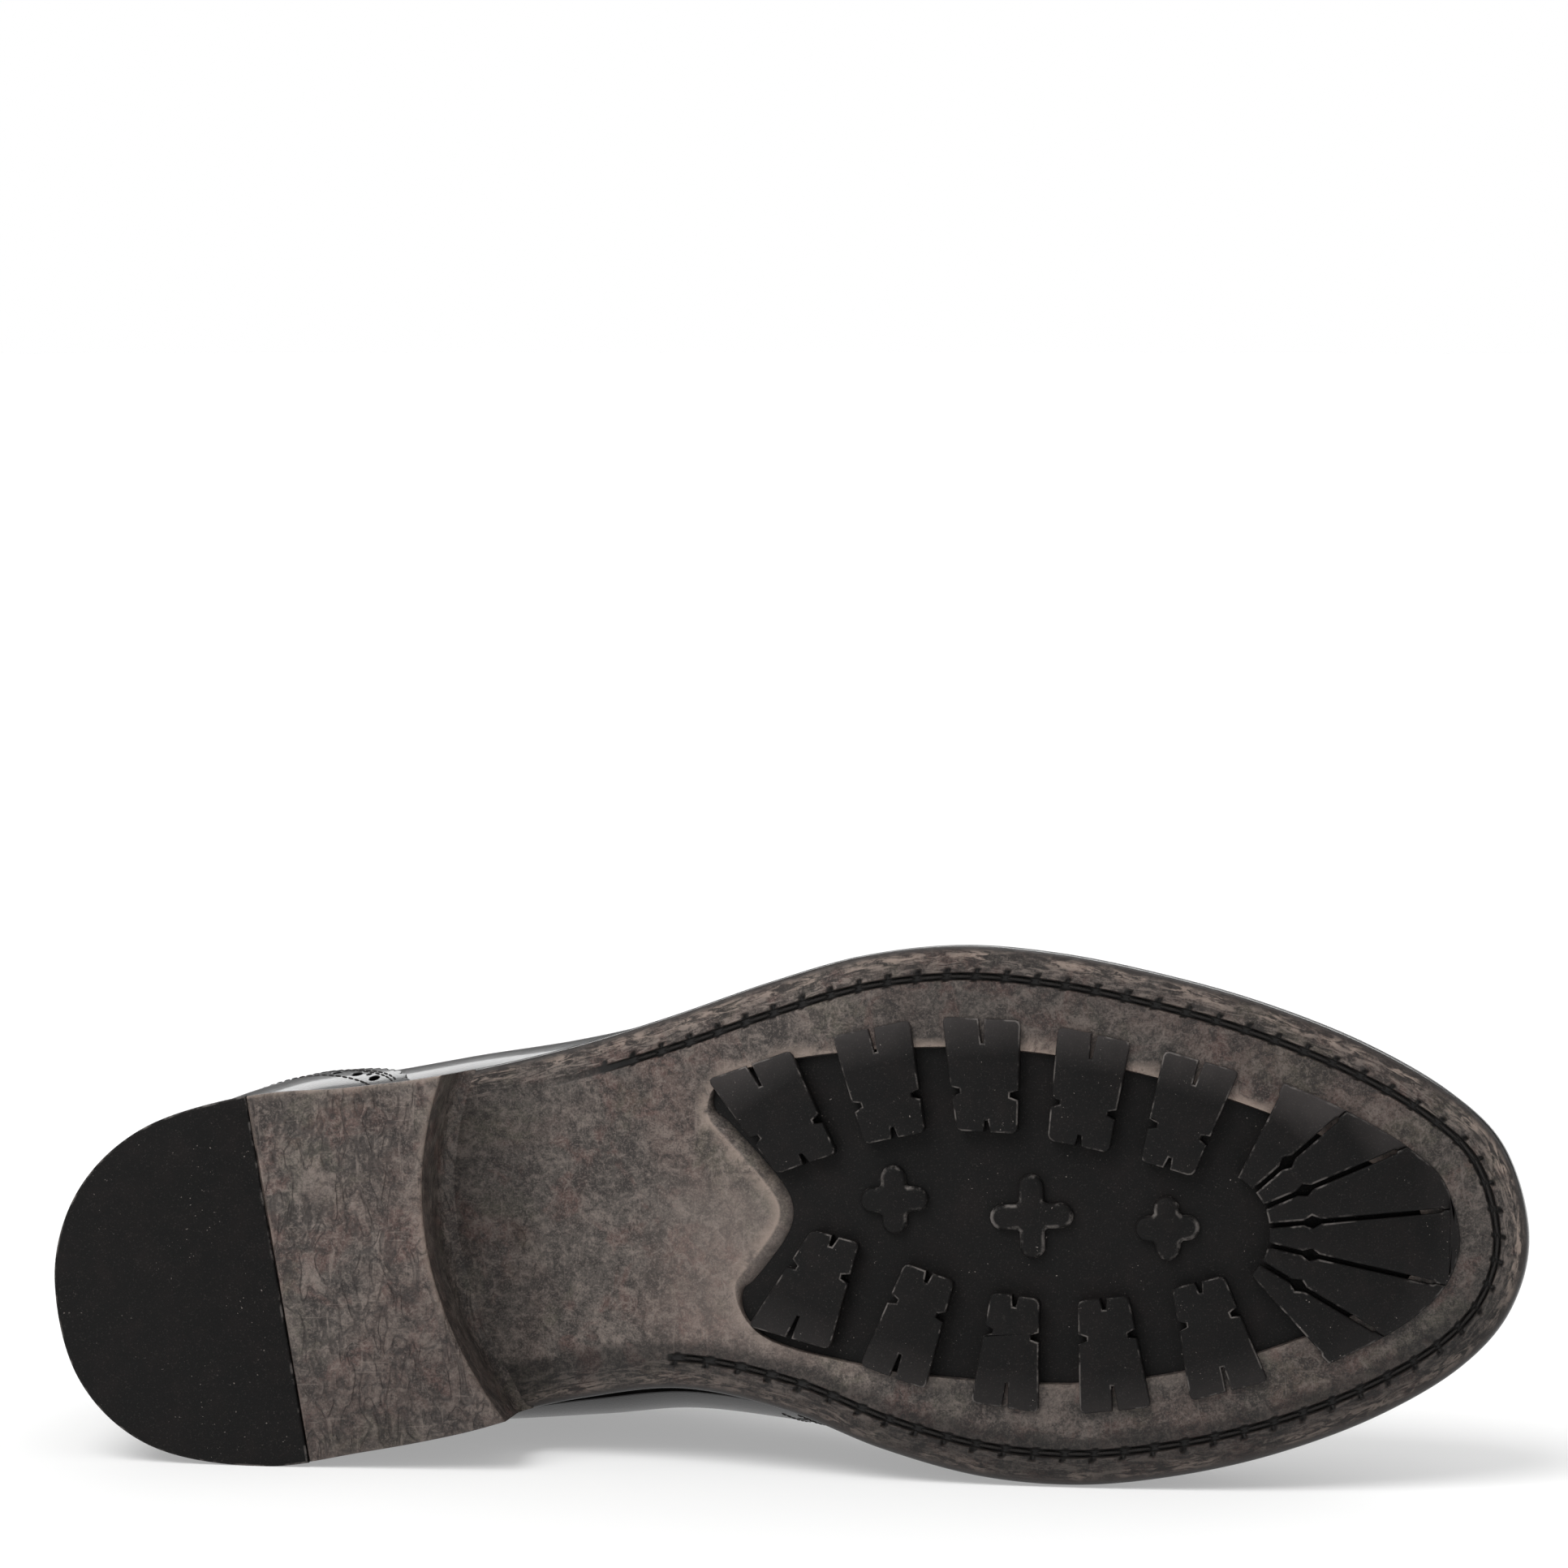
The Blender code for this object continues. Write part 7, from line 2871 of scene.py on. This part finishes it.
@dataclass
class Upper:
    """The vamp under the punched leathers, the lining, the collar's binding, the tongue and the sock."""

    last: Last
    wall: float = 2.0
    per_station: int = 10
    shares: int = 36
    binding_reach: float = 0.75
    tongue_top: float = 0.14
    tongue_foot: float = 0.26
    tongue_rise: float = 11.0
    tongue_depth: float = 3.0
    tongue_thickness: float = 2.0
    tongue_sink: float = 1.8
    sock_inset: float = 1.7
    sock_cup: float = 1.6
    throat_start: float = 8.9

    def sheet(self) -> tuple[Places, Array]:
        """Places and quads of the whole wall, joined at the back seam, the ridge and the toe.

        Returns:
            The places, and the quads between them.
        """
        u = np.linspace(0, self.last.end, int(self.last.end) * self.per_station + 1)
        share = np.linspace(0.0, 1.0, self.shares + 1)
        grids, faces = [], []
        for number, side in enumerate(SIDES):
            uu, ss = np.meshgrid(u, share, indexing="ij")
            grids.append(Places.on(side, uu.ravel(), ss.ravel()))
            i, j = np.meshgrid(np.arange(len(u) - 1), np.arange(len(share) - 1), indexing="ij")
            first = number * uu.size + i * len(share) + j
            corners = [first, first + 1, first + len(share) + 1, first + len(share)]
            faces.append(np.stack(corners, axis=-1).reshape(-1, 4))
        places = Places.joined(grids)
        points = self.last.wall(places.side, places.u, places.share)
        _, keep, merged = np.unique(np.round(points, 2), axis=0, return_index=True, return_inverse=True)
        quads = merged.ravel()[np.vstack(faces)]
        return places.take(keep), quads

    def split(self, quads: Array) -> tuple[Array, Array]:
        """Separates quads that have shrunk to triangles at the toe from the others.

        Args:
            quads: Quads as point numbers.

        Returns:
            The whole quads, and the triangles.
        """
        same = np.stack([quads[:, k] == quads[:, (k + 1) % 4] for k in range(4)], axis=1)
        whole = quads[~same.any(axis=1)]
        shrunk = []
        for face, twins in zip(quads[same.any(axis=1)], same[same.any(axis=1)]):
            kept = [face[k] for k in range(4) if not twins[k]]
            if len(kept) == 3:
                shrunk.append(kept)
        return whole, np.array(shrunk, int).reshape(-1, 3)

    def skin(self, shop: Workshop, name: str, low: float, high: float) -> bpy.types.Object:
        """Builds one closed layer of the whole wall between two heights.

        Args:
            shop: Workshop that makes the pieces.
            name: Name of the piece.
            low: Height of its inner face over the surface, in millimetres.
            high: Height of its outer face.

        Returns:
            The layer.
        """
        places, quads = self.sheet()
        whole, shrunk = self.split(quads)
        triangles = np.vstack([whole[:, [0, 1, 2]], whole[:, [0, 2, 3]], shrunk])
        return shop.piece(name, shell(self.last, places, triangles, low, high, 0.15))

    def binding(self, shop: Workshop) -> bpy.types.Object:
        """Builds the rolled binding along the collar and the throat.

        Args:
            shop: Workshop that makes the pieces.

        Returns:
            The binding.
        """
        last = self.last
        t = np.linspace(-9.45, 9.45, 900)
        side, u = np.where(t < 0, LATERAL, MEDIAL), np.abs(t)
        dense = last.wall(side, u, np.ones(len(t)))
        path = evenly(dense, 520, closed=False)
        length = lengths(dense)
        at = np.interp(np.linspace(0, length[-1], 520), length, t)
        side, u = np.where(at < 0, LATERAL, MEDIAL), np.abs(at)
        one = np.ones(len(at))
        normal = last.normal(side, u, one)
        tangent = unit(np.gradient(path, axis=0))
        climb = unit(np.cross(tangent, normal))
        below = last.wall(side, u, one) - last.wall(side, u, one - 0.03)
        climb *= np.sign(np.sum(climb * below, axis=1))[:, None]
        angle = np.arange(14) * 2 * math.pi / 14
        rows = []
        for a in angle:
            out = -0.28 + 1.78 * math.cos(a)
            reach = (self.binding_reach if math.sin(a) > 0 else 1.5) * math.sin(a)
            rows.append(path + normal * out + climb * reach)
        return shop.piece("collar_binding", tube(np.stack(rows, axis=1)), angle=60)

    def back_strip(self, shop: Workshop) -> bpy.types.Object:
        """Builds the narrow strip over the back seam, from the counter to the collar.

        Args:
            shop: Workshop that makes the pieces.

        Returns:
            The strip.
        """
        t, share = np.meshgrid(np.linspace(-0.3, 0.3, 13), np.linspace(0.80, 0.995, 24), indexing="ij")
        places = Places(*self.last.within(np.full(t.size, MEDIAL), t.ravel(), share.ravel()))
        i, j = np.meshgrid(np.arange(12), np.arange(23), indexing="ij")
        first = i * 24 + j
        quads = np.stack([first, first + 1, first + 25, first + 24], axis=-1).reshape(-1, 4)
        return shop.piece("back_strip", shell(self.last, places, quads, 1.3, 1.95, 0.15))

    def throat(self, shop: Workshop) -> bpy.types.Object:
        """Builds the end of the vamp that runs from the throat under the tongue.

        Args:
            shop: Workshop that makes the pieces.

        Returns:
            The end of the vamp.
        """
        last = self.last
        u, across = np.linspace(self.throat_start, 10.15, 22), np.linspace(-1, 1, 21)
        sink = 0.05 + 2.3 * smooth_step((9.8 - u) / 1.2)
        layers = []
        for depth in (0.0, 0.8):
            rows = []
            for station, low in zip(u, sink):
                edges = (Places.on(side, station, 0.955) for side in SIDES)
                lateral, medial = (last.over(edge, -low - depth)[0] for edge in edges)
                rows.append(lateral + (medial - lateral) * (across[:, None] + 1) / 2)
                ridge = last.over(Places.on((LATERAL, MEDIAL), station, 1.0), -low - depth).mean(axis=0)
                bulge = ridge - (lateral + medial) / 2
                rows[-1] = rows[-1] + bulge * (1 - across[:, None] ** 2)
            layers.append(np.array(rows))
        return shop.piece("vamp_throat", slab(*layers), angle=60)

    def tongue(self, shop: Workshop) -> bpy.types.Object:
        """Builds the tongue under the throat, with a rounded top above the collar.

        Args:
            shop: Workshop that makes the pieces.

        Returns:
            The tongue.
        """
        last = self.last
        u = np.linspace(7.0, 10.5, 36)
        half = self.tongue_top + (self.tongue_foot - self.tongue_top) * smooth_step(u - 7)
        columns = np.linspace(-1, 1, 25)
        layers = []
        for depth in (self.tongue_depth, self.tongue_depth + self.tongue_thickness):
            height = -depth - self.tongue_sink * smooth_step(u - 8.5)
            rows = []
            for k in range(len(u)):
                share = 1 - half[k] * np.linspace(1, 0, 9)
                lateral = last.over(Places.on(LATERAL, u[k], share), height[k])
                medial = last.over(Places.on(MEDIAL, u[k], share[::-1]), height[k])
                rows.append(evenly(np.vstack([lateral, medial]), len(columns), closed=False))
            rows = np.array(rows)
            climb = unit(rows[0] - rows[1])
            tops = []
            for share in np.linspace(1, 0.1, 9):
                rise = self.tongue_rise * share * (1 - 0.32 * np.abs(columns) ** 3)
                top = rows[0] + climb * rise[:, None]
                top[:, 1] *= 1 - 0.2 * share
                tops.append(top)
            layers.append(np.concatenate([np.array(tops), rows]))
        middle = (layers[0] + layers[1]) / 2
        points = []
        for layer in layers:
            thin = np.ones(layer.shape[:2])
            thin[:, [0, -1]] = 0.45
            thin[[0, -1], :] = 0.45
            points.append(middle + (layer - middle) * thin[..., None])
        return shop.piece("tongue_leather", slab(*points), angle=60)

    def sock(self, shop: Workshop) -> bpy.types.Object:
        """Builds the insole with its tan sock, which curves up to the lining at its edges.

        Args:
            shop: Workshop that makes the pieces.

        Returns:
            The insole with its sock.
        """
        last = self.last
        u, across = np.linspace(0.05, last.end - 0.05, 140), np.linspace(0, 1, 29)
        ends = []
        for side in SIDES:
            where = np.full(len(u), side)
            ends.append(last.feather(where, u)[:, :2] - last.outward(where, u) * self.sock_inset)
        plan = ends[0][:, None] + (ends[1] - ends[0])[:, None] * across[None, :, None]
        cup = self.sock_cup * np.abs(2 * across - 1) ** 6
        return shop.piece("sock", slab(last.on_sole(plan, 9.35 + cup), last.on_sole(plan, 9.0)), angle=50)

    def make(self, shop: Workshop, finishes: Finishes) -> None:
        """Builds and dresses the upper's layers.

        Args:
            shop: Workshop that makes the pieces.
            finishes: Finishes of the shoe.
        """
        shop.dress(self.skin(shop, "vamp_leather", -1.0, 0.0), finishes.leather, Slot.LEATHER, "upper")
        shop.dress(self.skin(shop, "lining", -self.wall, -1.05), finishes.lining, Slot.LINING, "upper")
        shop.dress(self.binding(shop), finishes.trim, Slot.LEATHER)
        shop.dress(self.back_strip(shop), finishes.trim, Slot.LEATHER)
        shop.dress(self.throat(shop), finishes.leather, Slot.LEATHER)
        shop.dress(self.tongue(shop), finishes.leather, Slot.LEATHER, "tongue")
        shop.dress(self.sock(shop), finishes.lining, Slot.LINING, "insole")


@dataclass
class Lacing:
    """Eyelets in both quarters, and one lace that runs through them from end to end."""

    last: Last
    overlays: Overlays
    radius: float = 1.1
    sides: int = 10
    step: float = 0.7
    # Radius and height of each ring of an eyelet, from its barrel over the crown and back
    crown: Profile = (
        (1.72, 0.1), (1.82, 0.45), (2.1, 0.66), (2.45, 0.62), (2.7, 0.4), (2.76, 0.1), (2.5, -0.04),
        (1.95, -0.06), (1.9, -2.6),
    )

    def eyelet(self, bench: Bench) -> Shape:
        """Models one eyelet: a rolled crown on a barrel.

        Args:
            bench: Bench with the modelling steps.

        Returns:
            The eyelet as a pattern.
        """
        bench.clear()
        old, height = self.crown[0][0], self.crown[-1][1]
        bpy.ops.mesh.primitive_circle_add(vertices=24, radius=old * MM, fill_type="NOTHING")
        made = bpy.context.object
        bpy.context.tool_settings.mesh_select_mode = (False, True, False)
        bpy.ops.object.mode_set(mode="EDIT")
        bpy.ops.mesh.select_all(action="SELECT")
        bpy.ops.transform.translate(value=(0, 0, height * MM))
        for radius, z in self.crown:
            bpy.ops.mesh.extrude_edges_move(TRANSFORM_OT_translate={"value": (0, 0, (z - height) * MM)})
            bpy.ops.transform.resize(value=(radius / old, radius / old, 1.0), center_override=(0, 0, 0))
            old, height = radius, z
        bpy.ops.mesh.select_all(action="DESELECT")
        bpy.ops.object.mode_set(mode="OBJECT")
        points, _ = bench.arrays(made.data)
        ends = np.array([edge.vertices[:] for edge in made.data.edges])
        bench.select_edges(made, (np.abs(points[ends][:, :, 2] - height) < 1e-3).all(axis=1))
        bpy.ops.mesh.bridge_edge_loops()
        bpy.ops.object.mode_set(mode="OBJECT")
        bench.outwards()
        points, _ = bench.arrays(made.data)
        faces = np.array([polygon.vertices[:] for polygon in made.data.polygons])
        bpy.data.objects.remove(made)
        return Shape(points, [faces])

    def eyelet_places(self, side: float) -> Places:
        """Places of one side's eyelets, from the collar down."""
        return Places.on(side, np.array(self.overlays.eyelets), self.overlays.eyelet_share)

    def eyelets(self, shop: Workshop, bench: Bench, finishes: Finishes) -> None:
        """Copies the eyelet to every lace hole.

        Args:
            shop: Workshop that makes the pieces.
            bench: Bench with the modelling steps.
            finishes: Finishes of the shoe.
        """
        pattern = self.eyelet(bench)
        off_crown = (np.linalg.norm(pattern.points[:, :2], axis=1) - 2.3) / 0.35
        wear = np.exp(-(off_crown**2)) * (pattern.points[:, 2] > 0.3)
        for side, name in ((LATERAL, "lateral"), (MEDIAL, "medial")):
            places = self.eyelet_places(side)
            origin = self.last.over(places, self.overlays.high + 0.02)
            normal = self.last.normal(places.side, places.u, places.share)
            ahead = self.last.wall(places.side, places.u + 0.1, places.share)
            along = ahead - self.last.wall(places.side, places.u, places.share)
            for number in range(len(places)):
                pick = slice(number, number + 1)
                where = origin[pick], along[pick], normal[pick]
                made = shop.repeated(f"eyelet_ring_{name}_{number + 1}", pattern, *where)
                note(made.data, "wear", wear)
                shop.dress(made, finishes.enamel, Slot.METAL, f"eyelet_{name}_{number + 1}")

    def spot(self, side: float, u: float, share: float, height: float) -> Array:
        """One point of the lace's route."""
        return self.last.over(Places.on(side, u, share), height)[0]

    def rising(self, side: float, number: int) -> list[Array]:
        """Comes up through an eyelet.

        Args:
            side: Side of the shoe, lateral or medial.
            number: Number of the eyelet, 0 for the top one.

        Returns:
            Points of the lace, in millimetres.
        """
        u, share = self.overlays.eyelets[number], self.overlays.eyelet_share
        steps = ((0.0, -3.2), (0.0, -0.4), (0.006, 1.7))
        return [self.spot(side, u, share + shift, height) for shift, height in steps]

    def over_throat(self, side: float, number: int) -> list[Array]:
        """Runs from an eyelet over the throat and under the other quarter, towards the next eyelet up.

        Args:
            side: Side that it starts on.
            number: Number of the eyelet, 0 for the top one.

        Returns:
            Points of the lace, in millimetres.
        """
        share = self.overlays.eyelet_share
        low, high = self.overlays.eyelets[number], self.overlays.eyelets[number - 1]
        step = high - low
        near = self.spot(side, low + 0.34 * step, 1.0, 2.2)
        far = self.spot(-side, low + 0.72 * step, 1.0, -3.3)
        middle = near * 0.5 + far * 0.5 + np.array([0.0, 0.0, 0.9])
        return [
            self.spot(side, low + 0.06 * step, share + 0.035, 2.75),
            self.spot(side, low + 0.2 * step, share + 0.08, 2.7),
            near,
            middle,
            far,
            self.spot(-side, low + 0.93 * step, share + 0.045, -3.9),
        ]

    def under_throat(self, side: float, number: int) -> list[Array]:
        """Runs from under the lowest eyelet across the tongue to the next eyelet of the other side.

        Args:
            side: Side that it starts on.
            number: Number of the eyelet, 0 for the top one.

        Returns:
            Points of the lace, in millimetres.
        """
        share = self.overlays.eyelet_share
        low, high = self.overlays.eyelets[number], self.overlays.eyelets[number - 1]
        step = high - low
        return [
            self.spot(side, low + 0.07 * step, share + 0.05, -3.9),
            self.spot(side, low + 0.28 * step, 1.0, -3.4),
            self.spot(-side, low + 0.72 * step, 1.0, -3.4),
            self.spot(-side, low + 0.93 * step, share + 0.05, -3.9),
        ]

    def route(self) -> Array:
        """Points of the whole lace, from one top eyelet over the bar to the other.

        Returns:
            Points, in millimetres.
        """
        bottom = len(self.overlays.eyelets) - 1
        halves = []
        for side in SIDES:
            path: list[Array] = []
            path += self.under_throat(side, bottom)
            here = -side
            for number in range(bottom - 1, 0, -1):
                path += self.rising(here, number) + self.over_throat(here, number)
                here = -here
            end = self.spot(here, self.overlays.eyelets[0], self.overlays.eyelet_share, 0.9)
            path += [*self.rising(here, 0)[:2], end]
            halves.append(path)
        u, share = self.overlays.eyelets[bottom], self.overlays.eyelet_share
        bar = self.rising(LATERAL, bottom)
        near, far = (self.spot(side, u, 1.0, 2.1) for side in SIDES)
        first, second = (self.spot(side, u, share + 0.05, 2.75) for side in SIDES)
        bar += [first, near, (near + far) / 2 + [0, 0, 0.4], far, second]
        bar += self.rising(MEDIAL, bottom)[::-1]
        return np.array(halves[0][::-1] + bar + halves[1])

    def lace(self, shop: Workshop) -> bpy.types.Object:
        """Builds the lace as one round cord along its route.

        Args:
            shop: Workshop that makes the pieces.

        Returns:
            The lace.
        """
        key = self.route()
        padded = np.vstack([2 * key[0] - key[1], key, 2 * key[-1] - key[-2]])
        t = np.linspace(0, 1, 9)[:-1, None]
        stretches = [through(*ends, t) for ends in zip(padded, padded[1:], padded[2:], padded[3:])]
        line = np.vstack([*stretches, key[-1:]])
        line = evenly(line, int(lengths(line)[-1] / self.step), closed=False)
        tangent = unit(np.gradient(line, axis=0))
        side = np.empty_like(line)
        side[0] = unit(np.cross(tangent[0], np.array([0.3, 0.2, 0.9])))
        for k in range(1, len(line)):
            side[k] = unit(side[k - 1] - tangent[k] * np.dot(side[k - 1], tangent[k]))
        other = np.cross(tangent, side)
        turn = np.arange(self.sides) / self.sides
        angle = turn * 2 * math.pi
        cosine, sine = np.cos(angle)[None, :, None], np.sin(angle)[None, :, None]
        rows = line[:, None] + self.radius * (cosine * side[:, None] + sine * other[:, None])
        run = np.repeat(np.arange(len(line)) * self.step, self.sides)
        around = np.tile(np.abs(2 * turn - 1), len(line))
        return shop.piece("lace_run", tube(rows), {"run": run, "turn": around}, 60)

    def make(self, shop: Workshop, bench: Bench, finishes: Finishes) -> None:
        """Builds and dresses eyelets and lace."""
        self.eyelets(shop, bench, finishes)
        shop.dress(self.lace(shop), finishes.lace, Slot.COTTON, "lace")


@dataclass
class Studio:
    """Pale floor, soft lights and the camera at the photograph's angle."""

    lens: float = 145.0
    azimuth: float = 8.01
    tilt: float = 5.35
    eye: Colour = (0.1773, -1.3024, 0.2599)
    floor_radius: float = 9.0
    # Kind of ray, and brightness of the sky from below and from above
    glow: tuple[tuple[Any, ...], ...] = (
        (None, 0.36, 0.72),
        ("Is Glossy Ray", 0.10, 0.26),
        ("Is Camera Ray", 1.0, 1.0),
    )
    # Name, strength, spread in degrees and place of each wide light
    suns: tuple[tuple[Any, ...], ...] = (
        ("key", 2.3, 42.0, (-0.38, -0.45, 0.90)),
        ("rim", 0.6, 50.0, (0.55, 0.75, 0.75)),
    )
    # Name, brightness, place and size of each soft box
    boxes: tuple[tuple[Any, ...], ...] = (
        ("box_front", 3.2, (-0.8, -1.1, 1.1), (1.1, 0.7)),
        ("box_back", 4.2, (-0.1, 1.2, 0.85), (1.7, 0.40)),
        ("box_top", 4.0, (0.1, 0.25, 1.5), (1.3, 0.45)),
        ("box_toe", 3.0, (1.3, 0.35, 0.7), (0.35, 0.9)),
        ("box_heel", 3.0, (-1.3, 0.3, 0.8), (0.35, 0.9)),
    )

    def floor(self, bench: Bench) -> None:
        """Lays the floor.

        Args:
            bench: Bench with the modelling steps.
        """
        bench.clear()
        bpy.ops.mesh.primitive_circle_add(vertices=96, radius=self.floor_radius, fill_type="NGON")
        made = bpy.context.object
        made.name = "studio_floor"
        bpy.ops.object.mode_set(mode="EDIT")
        bpy.ops.mesh.select_all(action="SELECT")
        bpy.ops.mesh.inset(thickness=self.floor_radius * 0.5)
        bpy.ops.object.mode_set(mode="OBJECT")
        points = np.empty(len(made.data.vertices) * 3)
        made.data.vertices.foreach_get("co", points)
        made.data.attributes.new("shoe", "FLOAT_VECTOR", "POINT").data.foreach_set("vector", points / MM)
        made.data.materials.append(PaleFloor().material())

    def sky(self) -> None:
        """Soft light from all round, brighter from above; dimmer in reflections and white for the camera."""
        world = bpy.data.worlds.new("studio")
        bpy.context.scene.world = world
        world.use_nodes = True
        tree = world.node_tree
        tree.nodes.clear()
        coordinates, split = tree.nodes.new("ShaderNodeTexCoord"), tree.nodes.new("ShaderNodeSeparateXYZ")
        tree.links.new(coordinates.outputs["Generated"], split.inputs[0])
        ray = tree.nodes.new("ShaderNodeLightPath")
        seen = None
        for kind, low, high in self.glow:
            ramp, light = tree.nodes.new("ShaderNodeMapRange"), tree.nodes.new("ShaderNodeBackground")
            for name, value in (("From Min", -0.1), ("From Max", 0.9), ("To Min", low), ("To Max", high)):
                ramp.inputs[name].default_value = value
            light.inputs["Color"].default_value = (1.0, 1.0, 1.0, 1.0)
            tree.links.new(split.outputs[2], ramp.inputs["Value"])
            tree.links.new(ramp.outputs[0], light.inputs["Strength"])
            shader = light.outputs[0]
            if kind:
                mix = tree.nodes.new("ShaderNodeMixShader")
                tree.links.new(ray.outputs[kind], mix.inputs[0])
                tree.links.new(seen, mix.inputs[1])
                tree.links.new(shader, mix.inputs[2])
                shader = mix.outputs[0]
            seen = shader
        output = tree.nodes.new("ShaderNodeOutputWorld")
        tree.links.new(seen, output.inputs["Surface"])

    def hang(self, light: bpy.types.Light, place: Colour) -> bpy.types.Object:
        """Hangs a light that looks at the shoe.

        Args:
            light: Light to hang.
            place: Place of the light, in metres.

        Returns:
            The object with the light.
        """
        made = bpy.data.objects.new(light.name, light)
        made.location = place
        made.rotation_euler = Vector(place).to_track_quat("Z", "Y").to_euler()
        bpy.context.scene.collection.objects.link(made)
        return made

    def lights(self) -> None:
        """Hangs two wide soft lights that light the floor evenly, and soft boxes that the gloss mirrors."""
        for name, strength, angle, place in self.suns:
            light = bpy.data.lights.new(name, "SUN")
            light.energy, light.angle = strength, math.radians(angle)
            self.hang(light, place).visible_glossy = False
        for name, glow, place, size in self.boxes:
            light = bpy.data.lights.new(name, "AREA")
            light.shape, light.size, light.size_y = "RECTANGLE", *size
            light.energy = glow * math.pi * size[0] * size[1]
            self.hang(light, place).visible_diffuse = False

    def camera(self) -> None:
        """Stands the camera at the photograph's viewing angle."""
        data = bpy.data.cameras.new("camera")
        data.lens, data.sensor_width, data.sensor_fit = self.lens, 36.0, "HORIZONTAL"
        data.clip_start, data.clip_end = 0.01, 100.0
        made = bpy.data.objects.new("camera", data)
        turn, tilt = math.radians(self.azimuth), math.radians(self.tilt)
        back = Vector((math.sin(turn) * math.cos(tilt), -math.cos(turn) * math.cos(tilt), math.sin(tilt)))
        made.location = self.eye
        made.rotation_euler = back.to_track_quat("Z", "Y").to_euler()
        bpy.context.scene.collection.objects.link(made)
        bpy.context.scene.camera = made

    def make(self, bench: Bench) -> None:
        """Sets up the studio.

        Args:
            bench: Bench with the modelling steps.
        """
        self.floor(bench)
        self.sky()
        self.lights()
        self.camera()
        bpy.context.scene.view_settings.view_transform = "Standard"


def main() -> None:
    """Builds the shoe in order."""
    logging.basicConfig(level=logging.INFO, format="%(name)s: %(message)s")
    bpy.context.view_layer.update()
    last, shop, bench = Last(), Workshop(frame["record"]), Bench()
    Studio().make(bench)
    finishes = Finishes()
    sole = Outsole(last)
    overlays = Overlays(last)
    sole.make(shop, bench, finishes)
    Tread(last, sole).make(shop, bench, finishes)
    Heel(last).make(shop, bench, finishes)
    Welt(last, sole).make(shop, bench, finishes)
    Upper(last).make(shop, finishes)
    overlays.make(shop, bench, finishes)
    Lacing(last, overlays).make(shop, bench, finishes)


if __name__ == "__main__":
    main()
